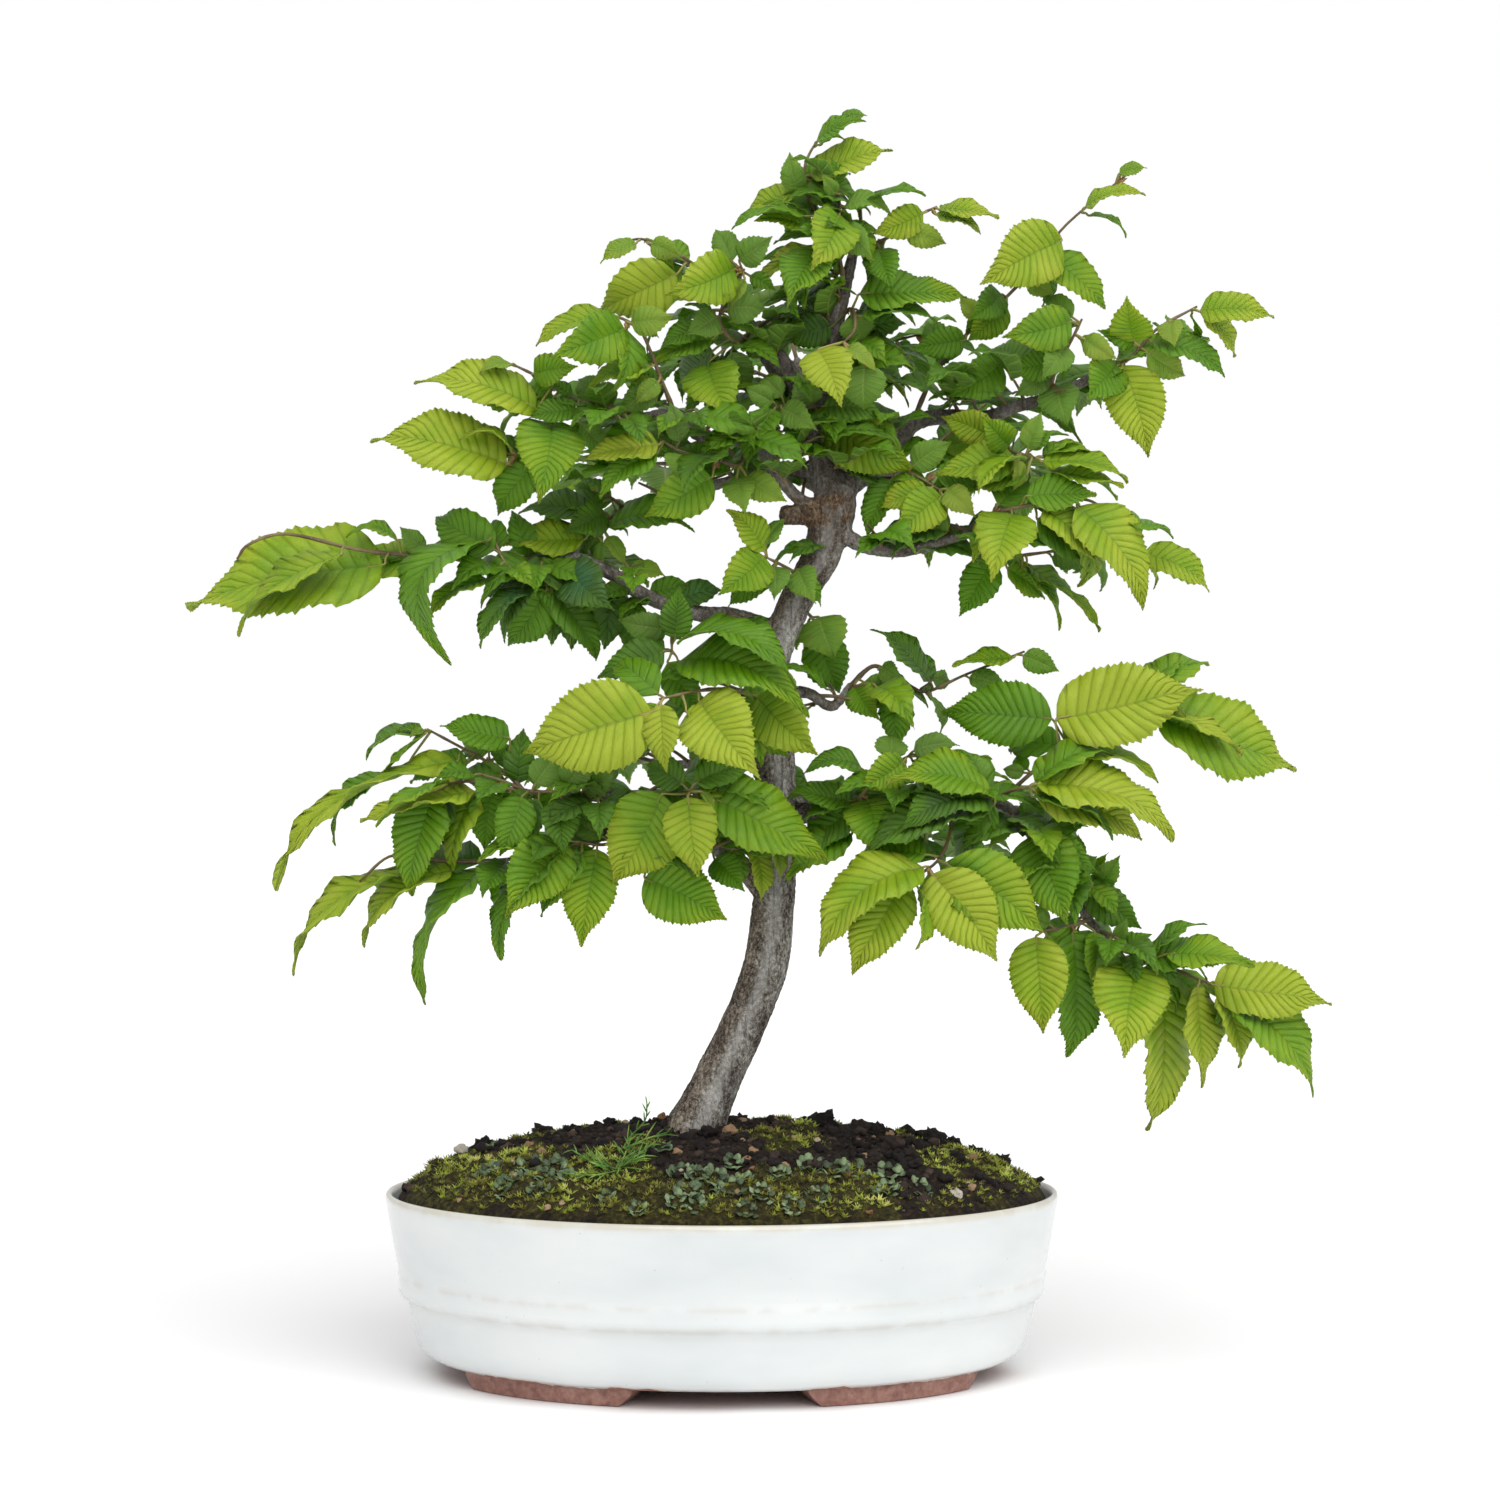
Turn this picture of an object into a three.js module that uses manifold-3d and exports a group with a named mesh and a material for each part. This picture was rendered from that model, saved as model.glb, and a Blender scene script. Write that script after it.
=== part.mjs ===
import * as THREE from "three";
import { mergeVertices } from "three/addons/utils/BufferGeometryUtils.js";
import Module from "manifold-3d";

// European hornbeam bonsai in its glazed oval pot, in millimetres, +Z up, seen from -Y.
// The origin is on the table, under the middle of the whole tree's box.
const wasm = await Module();
wasm.setup();

// Where the tree is looked at from. Every point of the tree is given as seen from there:
// [across, up, depth], where it would meet the trunk's plane, and how far it lies behind that.
const VIEW = { across: 11.2, up: 247.6, distance: 1294 };
const POT_PLACE = { x: -15, y: -20 };
const GAP = 0.3;
const BLADE_GAP = 0.5;

// Pot: half-widths and heights of its outline, from the underside up and down inside again
const POT_UNDERSIDE = 6;
const POT_FLOOR = 12;
const POT_OFFSET = 33;
const POT_SLIMMEST = 0.6;
const POT_OUTER = [
  [110, POT_UNDERSIDE], [117.5, 7.8], [121.5, 13], [125.4, 27.5], [129.3, 33.5], [129.3, 39.5],
  [134.8, 68], [134.6, 71], [132.5, 72],
];
const POT_INNER = [[131, 70.8], [130, 66], [120.5, 20], [110, POT_FLOOR]];
const POT_SIDES = 30;
const FOOT = { outside: 113, across: 15, from: 28, to: 73, steps: 4, top: 7.2 };
const DRAIN = { x: 52, radius: 8, sides: 12 };
const NET = { side: 26, thick: 0.9, hole: 8.5, pitch: 11, lift: 0.05 };

// Soil: a dome over the pot's rim, with lumps up to this high from a little inside its edge.
// It stands clear of the pot's wall, and more so near the top and the bottom.
const SOIL = { edge: 69.5, crown: 27, shoulder: 2.2, steepness: 0.65, lump: 1.6, sides: 26 };
const SOIL_RINGS = [0.2, 0.4, 0.6, 0.78, 0.91, 1];
const SOIL_CLEAR = { wall: 0.6, top: 1.6, bottom: 1 };
const LUMPS = { from: 3, over: 6, wide: [0.21, 0.13], long: [-0.05, 0.27], small: [0.47, -0.39], share: 0.5 };

// Leaves: width to length, blade thickness at the midrib, petiole, and how far the halves fold up
const LEAF = {
  ratio: 0.56, full: 0.62, thick: 1.3, rib: 0.45, petiole: 0.6, fold: 0.16, bow: 0.09, wave: 0.7, stalk: 2.2,
};
// How a leaf hangs before its stem: clear of it, forwards by a share of its length, and up outwards
const HANG = { clear: 2.4, clearByBend: 0.12, forward: 0.12, mostForward: 0.8, outward: 0.3 };
const BROADEST = { times: 2.2, plus: 6 };
const BIG_EDGE = [[0.12, 0.78], [0.36, 1], [0.52, 0.76], [0.62, 0.82]];
const MIDDLE_EDGE = [[0.15, 0.82], [0.42, 1], [0.66, 0.62]];
const SMALL_EDGE = [[0.2, 0.9], [0.55, 0.9]];
const BIG_LEAF = 38;
const MIDDLE_LEAF = 24;
// Stems of shoots: radius at both ends, and the share at each end that bears no leaf
const STEM = { root: 1.35, tip: 1, bareRoot: 0.45, bareTip: 0.12, sides: 3 };

// What a blade needs free around it, and how far its tip may be bent back or forward to get it
const ROOM = {
  edge: 0.8, face: 0.6, from: 0.05, stalk: 0.6, broad: 0.3, slim: 0.66, slimmer: 0.85, to: 1.02,
};
const BENDS = [0, 5, -5, 10, -10, 15, -15, 20, -20, 26, -26, 32, -32, 40];

// Wood: [across, up, depth, radius] along the trunk and each branch
const WOOD = {
  trunk: {
    sides: 12,
    path: [
      [-13, 52, 0, 9], [-12.5, 78, 0, 13.5], [-11, 94, 0, 12.6], [-6.5, 105, 0, 10.3], [2, 124, 0, 9.2],
      [10, 141, 0, 9], [17.2, 161, 0, 8.9], [20.4, 182, 0, 8.5], [21.8, 203, 0, 8.1], [22.6, 235, 0, 7.2],
      [21, 262, 0, 6.5], [20.5, 280, 0, 6.1], [24.5, 295, 0, 6.5], [31, 310, 0, 6.7], [40, 326, 0, 7.5],
      [45, 345, 0, 8.8], [47, 354, 0, 6],
    ],
  },
  leader: {
    sides: 8,
    path: [
      [45, 345, 0, 7.5], [41, 362, 3, 6], [38, 378, 5, 5], [39, 392, 4, 4.2], [44, 412, 2, 3.5],
      [48, 428, 0, 2.9], [51, 440, 0, 2.3], [54, 452, 0, 1.8], [56, 459, 0, 1.6],
    ],
  },
  leader_left: {
    sides: 7,
    path: [
      [39, 374, 5, 4.4], [31, 389, 6, 5], [21, 404, 4, 5.2], [14, 413, 2, 3.4], [8, 421, -2, 2.4],
      [0, 427, -6, 1.6],
    ],
  },
  stub_left: { sides: 6, path: [[45, 343, 0, 5], [34, 341.5, -3, 4.2], [24, 341.5, -5, 3.9]] },
  branch_left_top: {
    sides: 5,
    path: [
      [42, 347, -3, 3], [34, 346, -6, 2.8], [25, 354, -9, 2.5], [18, 365, -12, 2.3], [11, 371, -14, 2.1],
      [0, 371, -16, 2], [-10, 373, -17, 1.9], [-20, 382, -18, 1.7], [-36, 381, -19, 1.5], [-52, 382, -20, 1.3],
    ],
  },
  branch_left_inner: {
    sides: 5,
    path: [
      [43, 356, 3, 3.3], [25, 360, 8, 2.8], [10, 357, 11, 2.5], [-8, 352, 12, 2.2], [-26, 346, 10, 1.9],
      [-42, 343, 7, 1.6],
    ],
  },
  branch_right_top: {
    sides: 7,
    path: [
      [46, 350, 0, 5.5], [60, 361, 4, 4.4], [70, 371, 8, 3.9], [78, 379, 10, 3.4], [92, 381, 10, 3],
      [106, 381, 9, 2.8], [118, 385, 7, 2.5], [132, 389, 5, 2.3], [147, 396, 4, 2], [161, 402.5, 2, 1.6],
    ],
  },
  branch_right_low: {
    sides: 5,
    path: [
      [43, 338, 0, 4], [55, 330, -3, 3], [68, 327, -5, 2.6], [80, 328.5, -6, 2.2], [92, 332, -8, 1.9],
      [103, 335, -9, 1.6],
    ],
  },
  branch_left_mid: {
    sides: 7,
    path: [
      [24, 294, 0, 4.6], [5, 301, -3, 3.5], [-8, 302, -6, 3.3], [-20, 305, -9, 3.1], [-32, 310, -11, 3],
      [-46, 319, -13, 2.8], [-62, 325, -14, 2.5], [-76, 322, -15, 2.2], [-98, 322, -16, 1.6],
    ],
  },
  branch_left_low: {
    sides: 6,
    path: [
      [18, 190, 0, 5], [8, 201, -5, 4], [-2, 209, -10, 3.6], [-13, 219, -15, 3.2], [-28, 228, -18, 2.8],
      [-46, 229, -20, 2.4], [-64, 229, -22, 2.1], [-82, 231, -22, 1.6],
    ],
  },
  branch_left_low_outer: {
    sides: 5,
    path: [[-26, 227, -18, 2.4], [-42, 216, -20, 2.2], [-58, 210, -22, 2], [-72, 207, -22, 1.6]],
  },
  branch_right_main: {
    sides: 6,
    path: [
      [23, 222, 0, 5], [45, 223, -8, 3.7], [70, 226, -14, 3.2], [95, 228, -16, 2.8], [112, 226, -16, 2.4],
      [126, 212, -14, 2.1], [137, 195, -12, 2], [148, 178, -12, 1.8], [158, 168, -13, 1.6],
    ],
  },
  branch_right_thin: {
    sides: 5,
    path: [[21, 270, 0, 3.4], [34, 270.5, 2, 2.4], [44, 265, 5, 2], [52, 274, 8, 1.6]],
  },
  branch_front: {
    sides: 5,
    path: [[21, 262, 0, 3.2], [14, 268, -14, 2.4], [6, 271, -28, 1.9]],
  },
  branch_back_left: {
    sides: 5,
    path: [[22, 240, 2, 3.6], [8, 243, 28, 2.8], [-8, 242, 52, 2.3], [-26, 242, 76, 1.7]],
  },
  branch_back_right: {
    sides: 5,
    path: [[24, 226, 2, 3.6], [40, 228, 30, 2.8], [58, 230, 56, 2.3], [78, 230, 80, 1.7]],
  },
  branch_back_left_high: {
    sides: 5,
    path: [[44, 350, 3, 3.4], [26, 359, 30, 2.6], [6, 362, 54, 2.2], [-14, 362, 76, 1.7]],
  },
  branch_back_right_high: {
    sides: 5,
    path: [[47, 349, 3, 3.4], [60, 357, 30, 2.6], [77, 361, 56, 2.2], [95, 363, 80, 1.7]],
  },
  branch_back_top: {
    sides: 5,
    path: [[39, 374, 5, 3], [35, 386, 30, 2.4], [31, 397, 54, 2], [30, 404, 74, 1.6]],
  },
};

// Leafy shoots on the side that is seen. stem: [across, up, depth], rooted in the wood.
// Each leaf: blade's base, its tip, width as seen, tone from 0 dark to 1 pale, then bow
// and how far the tip lies behind the base where these differ from the rule.
const SHOOTS = {
  left_tip: {
    stem: [
      [-96, 322, -16], [-112, 325, -18], [-130, 326, -20], [-147, 328, -27], [-174, 334, -35], [-189, 330, -37],
      [-194, 324, -37],
    ],
    leaves: [
      [-134, 322, -215, 306, 36, 0.85, 0.03, 8], [-152, 326, -197, 298, 12, 0.75, 0.05, 24],
      [-128, 331, -150, 335, 4, 0.8, 0.15], [-120, 325, -150, 320, 15, 0.7, 0.03, 12],
      [-118, 326, -129, 337, 8, 0.3],
    ],
  },
  left_curl: {
    stem: [[-62, 325, -14], [-68, 318, -23], [-78, 316, -28], [-87, 323, -30], [-92, 334, -30]],
    leaves: [
      [-92, 335, -112, 283, 12, 0.6, 0.42], [-88, 326, -116, 342, 18, 0.4, 0.1, 14],
      [-94, 316, -119, 302, 6, 0.8], [-62, 320, -44, 304, 20, 0.05], [-75, 316, -88, 291, 11, 0.2, 0.2],
      [-70, 312, -86, 289, 18, 0.35, 0.09, 10], [-80, 312, -98, 290, 9, 0.15, 0.09, 6],
      [-68, 311, -48, 284, 15, 0.2, 0.09, 10],
    ],
  },
  left_upper: {
    stem: [[-50, 382, -20], [-66, 381, -24], [-76, 373, -28], [-84, 364, -30]],
    leaves: [
      [-82, 361, -140, 374.5, 25, 0.9, 0.05], [-68, 379, -73, 349, 27, 0.6],
      [-72, 364, -91, 341, 15, 0.6, 0.09, 10], [-84, 367, -104, 374, 4, 0.8, 0.25],
      [-58, 380, -46, 368, 10, 0.3, 0.09, 10],
    ],
  },
  left_inner: {
    stem: [[-38, 343.5, 7], [-46, 340, -2], [-52, 336, -8]],
    leaves: [
      [-55, 332, -88, 332, 14, 0.85, 0.02], [-46, 333, -39, 321, 7, 0.85], [-48, 331, -48, 319, 5, 0.6],
      [-46, 337, -11, 336, 12, 0.5, 0.2], [-46, 343, -63, 335, 14, 0.3],
      [-52, 342, -82, 344, 12, 0.3, 0.05, 12], [-44, 347, -60, 354, 12, 0.25, 0.09, 10],
      [-37, 320, -22, 317.5, 7, 0.75, 0.15],
    ],
  },
  left_inner_top: {
    stem: [[9, 371, -14], [7, 362, -22], [-4, 364, -28], [-16, 367, -33], [-25, 372, -35]],
    leaves: [
      [-24, 370, -56, 365, 12, 0.9, 0.02], [-26, 366, -50, 350, 12, 0.5], [-17, 371, -21, 387, 9, 0.25],
      [-4, 357, -31, 341, 19, 0.7], [7, 360, -16, 355, 7, 0.3, 0.15], [10, 357, 26, 347, 12, 0.75],
      [6, 356, 9, 343, 13, 0.75], [-10, 380, -18, 357, 15, 0.6], [0, 366, -16, 352, 8, 0.1, 0.12, 8],
    ],
  },
  trunk_left: {
    stem: [[33, 316, -4], [25, 321, -14], [17, 325, -18]],
    leaves: [
      [18, 326, -1, 310, 18, 0.8], [17, 327, 2, 344, 11, 0.8], [30, 321, 37, 307, 13, 0.5],
      [16, 328, 25, 340, 7, 0.5], [21, 321, 21, 308, 12, 0.35], [20, 318, 2, 305, 12, 0.5, 0.09, 8],
    ],
  },
  upper_left_outer: {
    stem: [[-34, 381, -19], [-50, 386, -24], [-60, 388, -26], [-72, 396, -27], [-84, 402, -26]],
    leaves: [
      [-74, 384, -123, 395.5, 19, 0.85, 0.14], [-70, 384, -100, 390, 10, 0.75, 0.03, 8],
      [-76, 398, -58, 401, 13, 0.7], [-84, 402, -97, 399, 4, 0.8],
      [-48, 386, -58, 396, 11, 0.5, 0.09, 10], [-42, 383, -50, 394, 10, 0.3, 0.09, 10],
      [-58, 384, -78, 381, 10, 0.4, 0.05, 10],
    ],
  },
  upper_left_mid: {
    stem: [[-18, 380, -18], [-24, 395, -26], [-29, 408, -30], [-34, 417, -32], [-47, 423, -32]],
    leaves: [
      [-44, 422, -75, 411, 9, 0.8], [-39, 416, -68, 405, 20, 0.75], [-39, 418, -19, 421, 12, 0.7],
      [-28, 401, -54, 394, 8, 0.8], [-22, 398, -35, 386, 8, 0.75], [-24, 394, -42, 383, 11, 0.2, 0.09, 8],
    ],
  },
  upper_left_top: {
    stem: [[2, 426, -5], [-6, 437, -17], [-16, 445, -24], [-24, 449, -25], [-34, 452, -24], [-46, 447, -24]],
    leaves: [
      [-33, 451, -49, 443, 7, 0.8], [-30, 451, -16, 445, 9, 0.85],
      [-18, 438, -50, 423, 23, 0.85, 0.09, 8], [-12, 441, -31, 452, 6, 0.5, 0.09, 10],
    ],
  },
  upper_left_core: {
    stem: [[12, 415, 2], [5, 411, -9], [-1, 420, -15], [4, 432, -21], [9, 440, -24]],
    leaves: [
      [5, 440, -22, 430, 21, 0.8], [9, 440, -9, 427, 8, 0.75], [11, 440, 4, 425, 6, 0.8],
      [6, 443, 20, 453, 12, 0.5], [4, 443, -3, 456, 11, 0.45, 0.09, 8], [-7, 417, -26, 408, 9, 0.4],
      [-4, 412, -28, 402, 10, 0.6], [-6, 402, 3, 381, 23, 0.6], [-3, 408, -17, 392, 14, 0.3, 0.09, 10],
      [3, 408, 10, 390, 13, 0.2, 0.09, 12], [-4, 424, 18, 424, 13, 0.4],
      [8, 413, 21, 407, 13, 0.05, 0.09, -4], [-2, 421, -14, 414, 12, 0.4, 0.09, 12],
    ],
  },
  apex_tip: {
    stem: [[50, 436, 0], [43, 450, -5], [37, 463, -7], [33, 477, -8], [36, 488, -8], [47, 501, -8]],
    leaves: [
      [45, 500, 58, 502, 5, 0.6], [36, 490, 57, 500, 7, 0.6], [34, 477, 68, 488.5, 11, 0.85, 0.05],
      [35, 475, 52, 479, 8, 0.7], [31, 468, 27, 487, 10, 0.75], [33, 472, 8, 463, 10, 0.8, 0.05],
      [35, 471, 46, 466, 8, 0.7], [37, 465, 25, 452, 11, 0.5, 0.09, 8],
    ],
  },
  apex_front: {
    stem: [[49, 432, 0], [47, 446, -12], [47, 458, -16], [47, 472, -15]],
    leaves: [
      [49, 465, 68, 463, 7, 0.7, 0.25], [47, 462, 36, 440, 20, 0.85], [33, 457, 13, 460, 8, 0.8],
      [33, 461, 4, 459, 4, 0.5], [42, 446, 12, 434, 9, 0.85], [41, 448, 26, 427, 17, 0.5],
      [48, 456, 60, 444, 12, 0.6], [46, 470, 40, 478, 6, 0.6],
    ],
  },
  apex_right: {
    stem: [[54, 450, 0], [60, 450, -5], [67, 453, -9], [78, 461, -12], [86, 465, -12]],
    leaves: [
      [82, 463, 60, 454, 13, 0.8, 0.05], [72, 455, 90, 450, 10, 0.8], [85, 464, 111, 461, 6, 0.8, 0.05],
      [85, 462, 104, 456, 6, 0.8, 0.05], [63, 448, 68, 432, 14, 0.5],
      [66, 451, 58, 438, 10, 0.5, 0.09, 10],
    ],
  },
  apex_low: {
    stem: [[46, 420, 2], [52, 424, -6], [53, 416, -17], [48, 410, -26]],
    leaves: [
      [55, 430, 98, 430, 16, 0.5, 0.05], [56, 421, 86, 422, 7, 0.4, 0.05], [51, 424, 56, 410, 14, 0.6],
      [44, 417, 24, 411, 14, 0.3, 0.09, 6], [38, 409, 47, 386, 20, 0.95],
      [49, 409, 62, 399, 7, 0.9, 0.15], [57, 402, 57, 383, 18, 0.4, 0.09, 6],
    ],
  },
  centre_dark: {
    stem: [[39, 376, 3], [38, 384, -10], [30, 386, -15], [21, 385, -16]],
    leaves: [
      [21, 384, 9, 361, 13, 0.65, 0.05], [40, 380, 78, 359, 24, 0.75, 0.06], [24, 384, 37, 376, 12, 0.6],
      [25, 388, 16, 397, 9, 0.5, 0.09, 6], [36, 386, 30, 399, 12, 0.3], [22, 386, 9, 393, 9, 0.4],
      [40, 385, 66, 381, 13, 0.4, 0.05, 6],
    ],
  },
  upper_right_long: {
    stem: [
      [75, 376, 9], [85, 398, 7], [98, 414, 4], [112, 427, 0], [126, 442, -4], [138, 458, -8], [166, 481, -10],
    ],
    leaves: [
      [137, 452, 104, 434, 26, 0.85, 0.02], [128, 447, 154, 425, 14, 0.65, 0.05],
      [120, 437, 133, 430, 9, 0.8], [155, 477, 170, 481, 5, 0.8], [143, 464, 169, 471, 6, 0.8, 0.12],
      [112, 430, 99, 420, 13, 0.4], [104, 420, 95, 429, 8, 0.85], [90, 405, 82, 420, 12, 0.45, 0.09, 8],
      [116, 427, 98, 411, 13, 0.6, 0.09, 10], [100, 412, 76, 408, 13, 0.5, 0.05, -8],
    ],
  },
  right_end: {
    stem: [[158, 401.5, 2], [165, 406, -4], [174, 416, -6], [190, 425, -6]],
    leaves: [
      [191, 423, 221, 421, 13, 0.9, 0.1], [191, 424, 206, 405, 8, 0.85], [179, 420, 181, 409, 10, 0.85],
      [171, 411, 202, 399, 9, 0.5, 0.12], [168, 408, 186, 397, 12, 0.8, 0.05],
      [165, 411, 162, 428, 17, 0.7], [160, 402, 170.5, 365, 24, 0.9, 0.05], [158, 401, 146, 388, 18, 0.6],
      [176, 416, 192, 413, 9, 0.5, 0.05, 8], [158, 400, 148, 411, 9, 0.6, 0.09, 8],
    ],
  },
  upper_right_mid: {
    stem: [[130, 388.5, 5], [134, 401, -1], [140, 412, -7], [144, 420, -9]],
    leaves: [
      [140, 419, 113, 413, 18, 0.75, 0.05], [145, 412, 158, 404, 10, 0.8], [131, 398, 117, 389, 10, 0.3],
      [136, 404, 114, 400, 13, 0.45, 0.03], [112, 402, 91, 389, 17, 0.55, 0.03],
      [134, 393, 138, 378, 17, 0.4, 0.09, -8], [142, 419, 130, 430, 10, 0.6, 0.09, 6],
      [126, 403, 104, 409, 12, 0.5, 0.05, 10], [138, 410, 128, 396, 12, 0.55, 0.09, -8],
    ],
  },
  centre_right: {
    stem: [[64, 365, 6], [72, 360, -4], [80, 356, -11], [88, 351, -14]],
    leaves: [
      [89, 350, 70, 333, 17, 0.85, 0.05], [84, 352, 62, 344, 10, 0.85, 0.05],
      [68, 356, 57, 333, 13, 0.45], [94, 347, 78, 335, 14, 0.5, 0.05, 6], [90, 352, 101, 341, 11, 0.85],
      [76, 361, 92, 371, 12, 0.6], [84, 358, 108, 354, 13, 0.55, 0.05, 10],
    ],
  },
  right_mid: {
    stem: [[105, 381, 8], [109, 374, -1], [114, 368, -11], [127, 364, -16]],
    leaves: [
      [118, 364, 86, 359, 15, 0.8, 0.03], [119, 364, 102, 352, 7, 0.75], [118, 364, 117, 351, 5, 0.9],
      [115, 369, 104, 381, 13, 0.7], [108, 373, 88, 381, 14, 0.85, 0.03],
      [104, 374, 86, 368, 12, 0.7, 0.03, 6], [122, 367, 128, 383, 9, 0.55],
      [128, 363, 163, 358, 9, 0.85, 0.06], [132, 359, 161, 354, 6, 0.85, 0.03],
      [122, 358, 98, 352, 10, 0.6, 0.03, 8],
    ],
  },
  right_arch: {
    stem: [
      [98, 333.5, -8], [105, 341, -15], [120, 345, -20], [136, 348, -21], [148, 347, -20], [156, 340, -20],
    ],
    leaves: [
      [116, 342, 108, 317, 24, 0.95], [142, 345, 171, 306, 22, 0.85],
      [128, 345, 152, 322, 14, 0.85, 0.05], [118, 349, 150, 350, 13, 0.6, 0.03, 10],
      [108, 344, 124, 357, 13, 0.6, 0.05, 10], [157, 340, 182, 335, 6, 0.7, 0.03],
      [126, 340, 148, 324, 15, 0.4, 0.05, 14], [108, 340, 100, 325, 10, 0.6, 0.09, 8],
    ],
  },
  right_low: {
    stem: [[88, 331, -7], [98, 326, 4], [114, 325, 8], [132, 327, 8], [150, 329, 8], [167, 328, 6]],
    leaves: [
      [168, 326, 196, 313, 13, 0.9], [130, 328, 151, 323, 12, 0.4], [148, 328, 153, 311, 5, 0.5],
      [122, 321, 153, 297.5, 6, 0.65, 0.03], [120, 321, 136.5, 296.5, 6, 0.55, 0.1],
      [108, 324, 95, 301, 16, 0.5], [112, 322, 130, 308, 11, 0.65, 0.05],
    ],
  },
  behind_trunk: {
    stem: [[27, 300, 2], [33, 303, 10], [39, 297, 14]],
    leaves: [[38, 303, 45, 284, 20, 0.65], [38, 295, 47, 270, 19, 0.45, 0.09, 10]],
  },
  right_thin: {
    stem: [
      [50, 272, 7], [60, 281, 7], [67, 278, 5], [74, 274, 4], [82, 271, 2], [98, 278, -3], [121, 287, -6],
    ],
    leaves: [
      [120, 285, 92, 282, 8, 0.7, 0.03], [119, 286, 135, 279, 10, 0.65, 0.05],
      [97, 277, 115, 272, 9, 0.3], [82, 272, 88, 253, 4, 0.3, 0.15], [83, 275, 62, 298, 8, 0.25, 0.05],
      [81, 276, 91, 275, 8, 0.25], [63, 281, 72, 275, 9, 0.45], [54, 276, 74, 267, 12, 0.5],
      [53, 273, 63, 260, 13, 0.55], [69, 272, 69, 246, 14, 0.5],
    ],
  },
  front_centre: {
    stem: [[9, 270, -23], [0, 272, -38], [-11, 271, -50], [-25, 268, -60]],
    leaves: [
      [-24.5, 266, -23, 238.5, 14, 0.95], [-28, 263, -80.5, 246, 35, 0.85, 0.04, 4],
      [-9, 267, 14, 237, 29, 0.9], [-15, 265, -9, 247, 5, 0.9, 0.2], [14, 269, 38, 246, 22, 0.85, 0.05],
      [9, 266, 27, 244, 16, 0.6, 0.09, 6],
    ],
  },
  front_upper: {
    stem: [[-18, 305, -9], [-20, 296, -22], [-20, 286, -30]],
    leaves: [
      [-17, 283, 35, 263, 25, 0.65, 0.2], [-16, 292, 30, 277, 15, 0.4, 0.18],
      [-19, 290, -17, 313, 13, 0.35], [-23, 287, -50, 277, 15, 0.3], [-22, 296, -42, 300, 12, 0.25],
      [-22, 283, -8, 262, 14, 0.5, 0.09, 6],
    ],
  },
  low_left_front: {
    stem: [[-12, 218, -15], [-13, 226, -34], [-13, 232, -48]],
    leaves: [
      [-14, 231, -9.5, 196.5, 21, 0.95], [-24, 230, -44, 194, 30, 0.65, 0.05, 6],
      [-5, 229, 43, 204, 26, 0.7, 0.05, 4], [-8, 231, -3, 223, 4, 0.9],
      [-12, 234, 12, 242, 12, 0.4, 0.05, 12], [-14, 233, -31, 242, 13, 0.3, 0.05, 12],
    ],
  },
  low_left_under: {
    stem: [[2, 205, -8], [5, 211, -18], [-7, 208, -24], [-19, 205, -30], [-31, 203, -31]],
    leaves: [
      [-36, 199, 2, 179.5, 25, 0.65, 0.04], [-3, 204, 9, 191, 13, 0.4], [13, 209, 16, 187, 9, 0.8],
      [21, 209, 23, 195, 6, 0.8],
    ],
  },
  low_left_mid: {
    stem: [[-40, 217, -20], [-46, 210, -28], [-58, 211, -32]],
    leaves: [
      [-50, 208, -57, 169, 21, 0.85, 0.03], [-64, 211, -86, 182, 25, 0.65, 0.05],
      [-56, 207, -73, 181, 14, 0.5, 0.09, 6], [-64, 207, -91, 165, 8, 0.3, 0.15],
      [-46, 212, -62, 222, 10, 0.4, 0.09, 8],
    ],
  },
  low_left_blue: {
    stem: [[-52, 229, -21], [-60, 231, -30], [-68, 231, -34], [-79, 231, -34]],
    leaves: [
      [-64, 228, -63, 206, 15, 0.3], [-80, 229, -89, 205, 16, 0.55],
      [-73, 229, -80, 206, 12, 0.25, 0.09, 6], [-56, 231, -42, 241, 12, 0.3],
      [-64, 233, -50, 243, 12, 0.25, 0.09, 6], [-76, 232, -66, 246, 12, 0.25, 0.09, 6],
    ],
  },
  low_left_upper: {
    stem: [[-78, 230, -22], [-86, 238, -18], [-94, 243, -16], [-105, 249, -14], [-118, 256, -14]],
    leaves: [
      [-76, 250, -112.5, 258.5, 14, 0.45, 0.04], [-118, 256, -125, 253, 2.5, 0.8],
      [-118, 255, -137, 237, 2, 0.6, 0.02], [-106, 243, -183.5, 199, 5, 0.8, 0.12],
      [-100, 243, -126, 236, 11, 0.6, 0.04], [-90, 246, -104, 251, 11, 0.4, 0.05, 10],
      [-84, 238, -104, 238, 11, 0.55, 0.04, 8], [-128, 238, -158.5, 213, 5, 0.6, 0.16, 8],
    ],
  },
  low_left_bright: {
    stem: [[-80, 231, -22], [-91, 233, -26], [-101, 235, -28], [-110, 234, -28]],
    leaves: [
      [-98, 231, -145, 220, 9, 0.95, 0.04], [-110, 235, -139, 218, 5, 0.7, 0.05],
      [-115, 230, -126.5, 190, 19, 0.5], [-107, 230, -118, 204, 13, 0.4, 0.05, 4],
      [-92, 231, -95, 207, 15, 0.6], [-104, 231, -106, 214, 11, 0.25, 0.05, 4],
      [-84, 230, -82, 210, 12, 0.25, 0.09, 6],
    ],
  },
  low_left_bottom: {
    stem: [
      [-68, 208, -22], [-84, 204, -22], [-103, 203, -22], [-120, 204, -22], [-133, 205, -22], [-145, 195, -22],
    ],
    leaves: [
      [-120, 200, -175.5, 162, 5.5, 0.85, 0.13, 6], [-107, 200, -145.5, 171, 7, 0.8, 0.14, 4],
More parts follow.
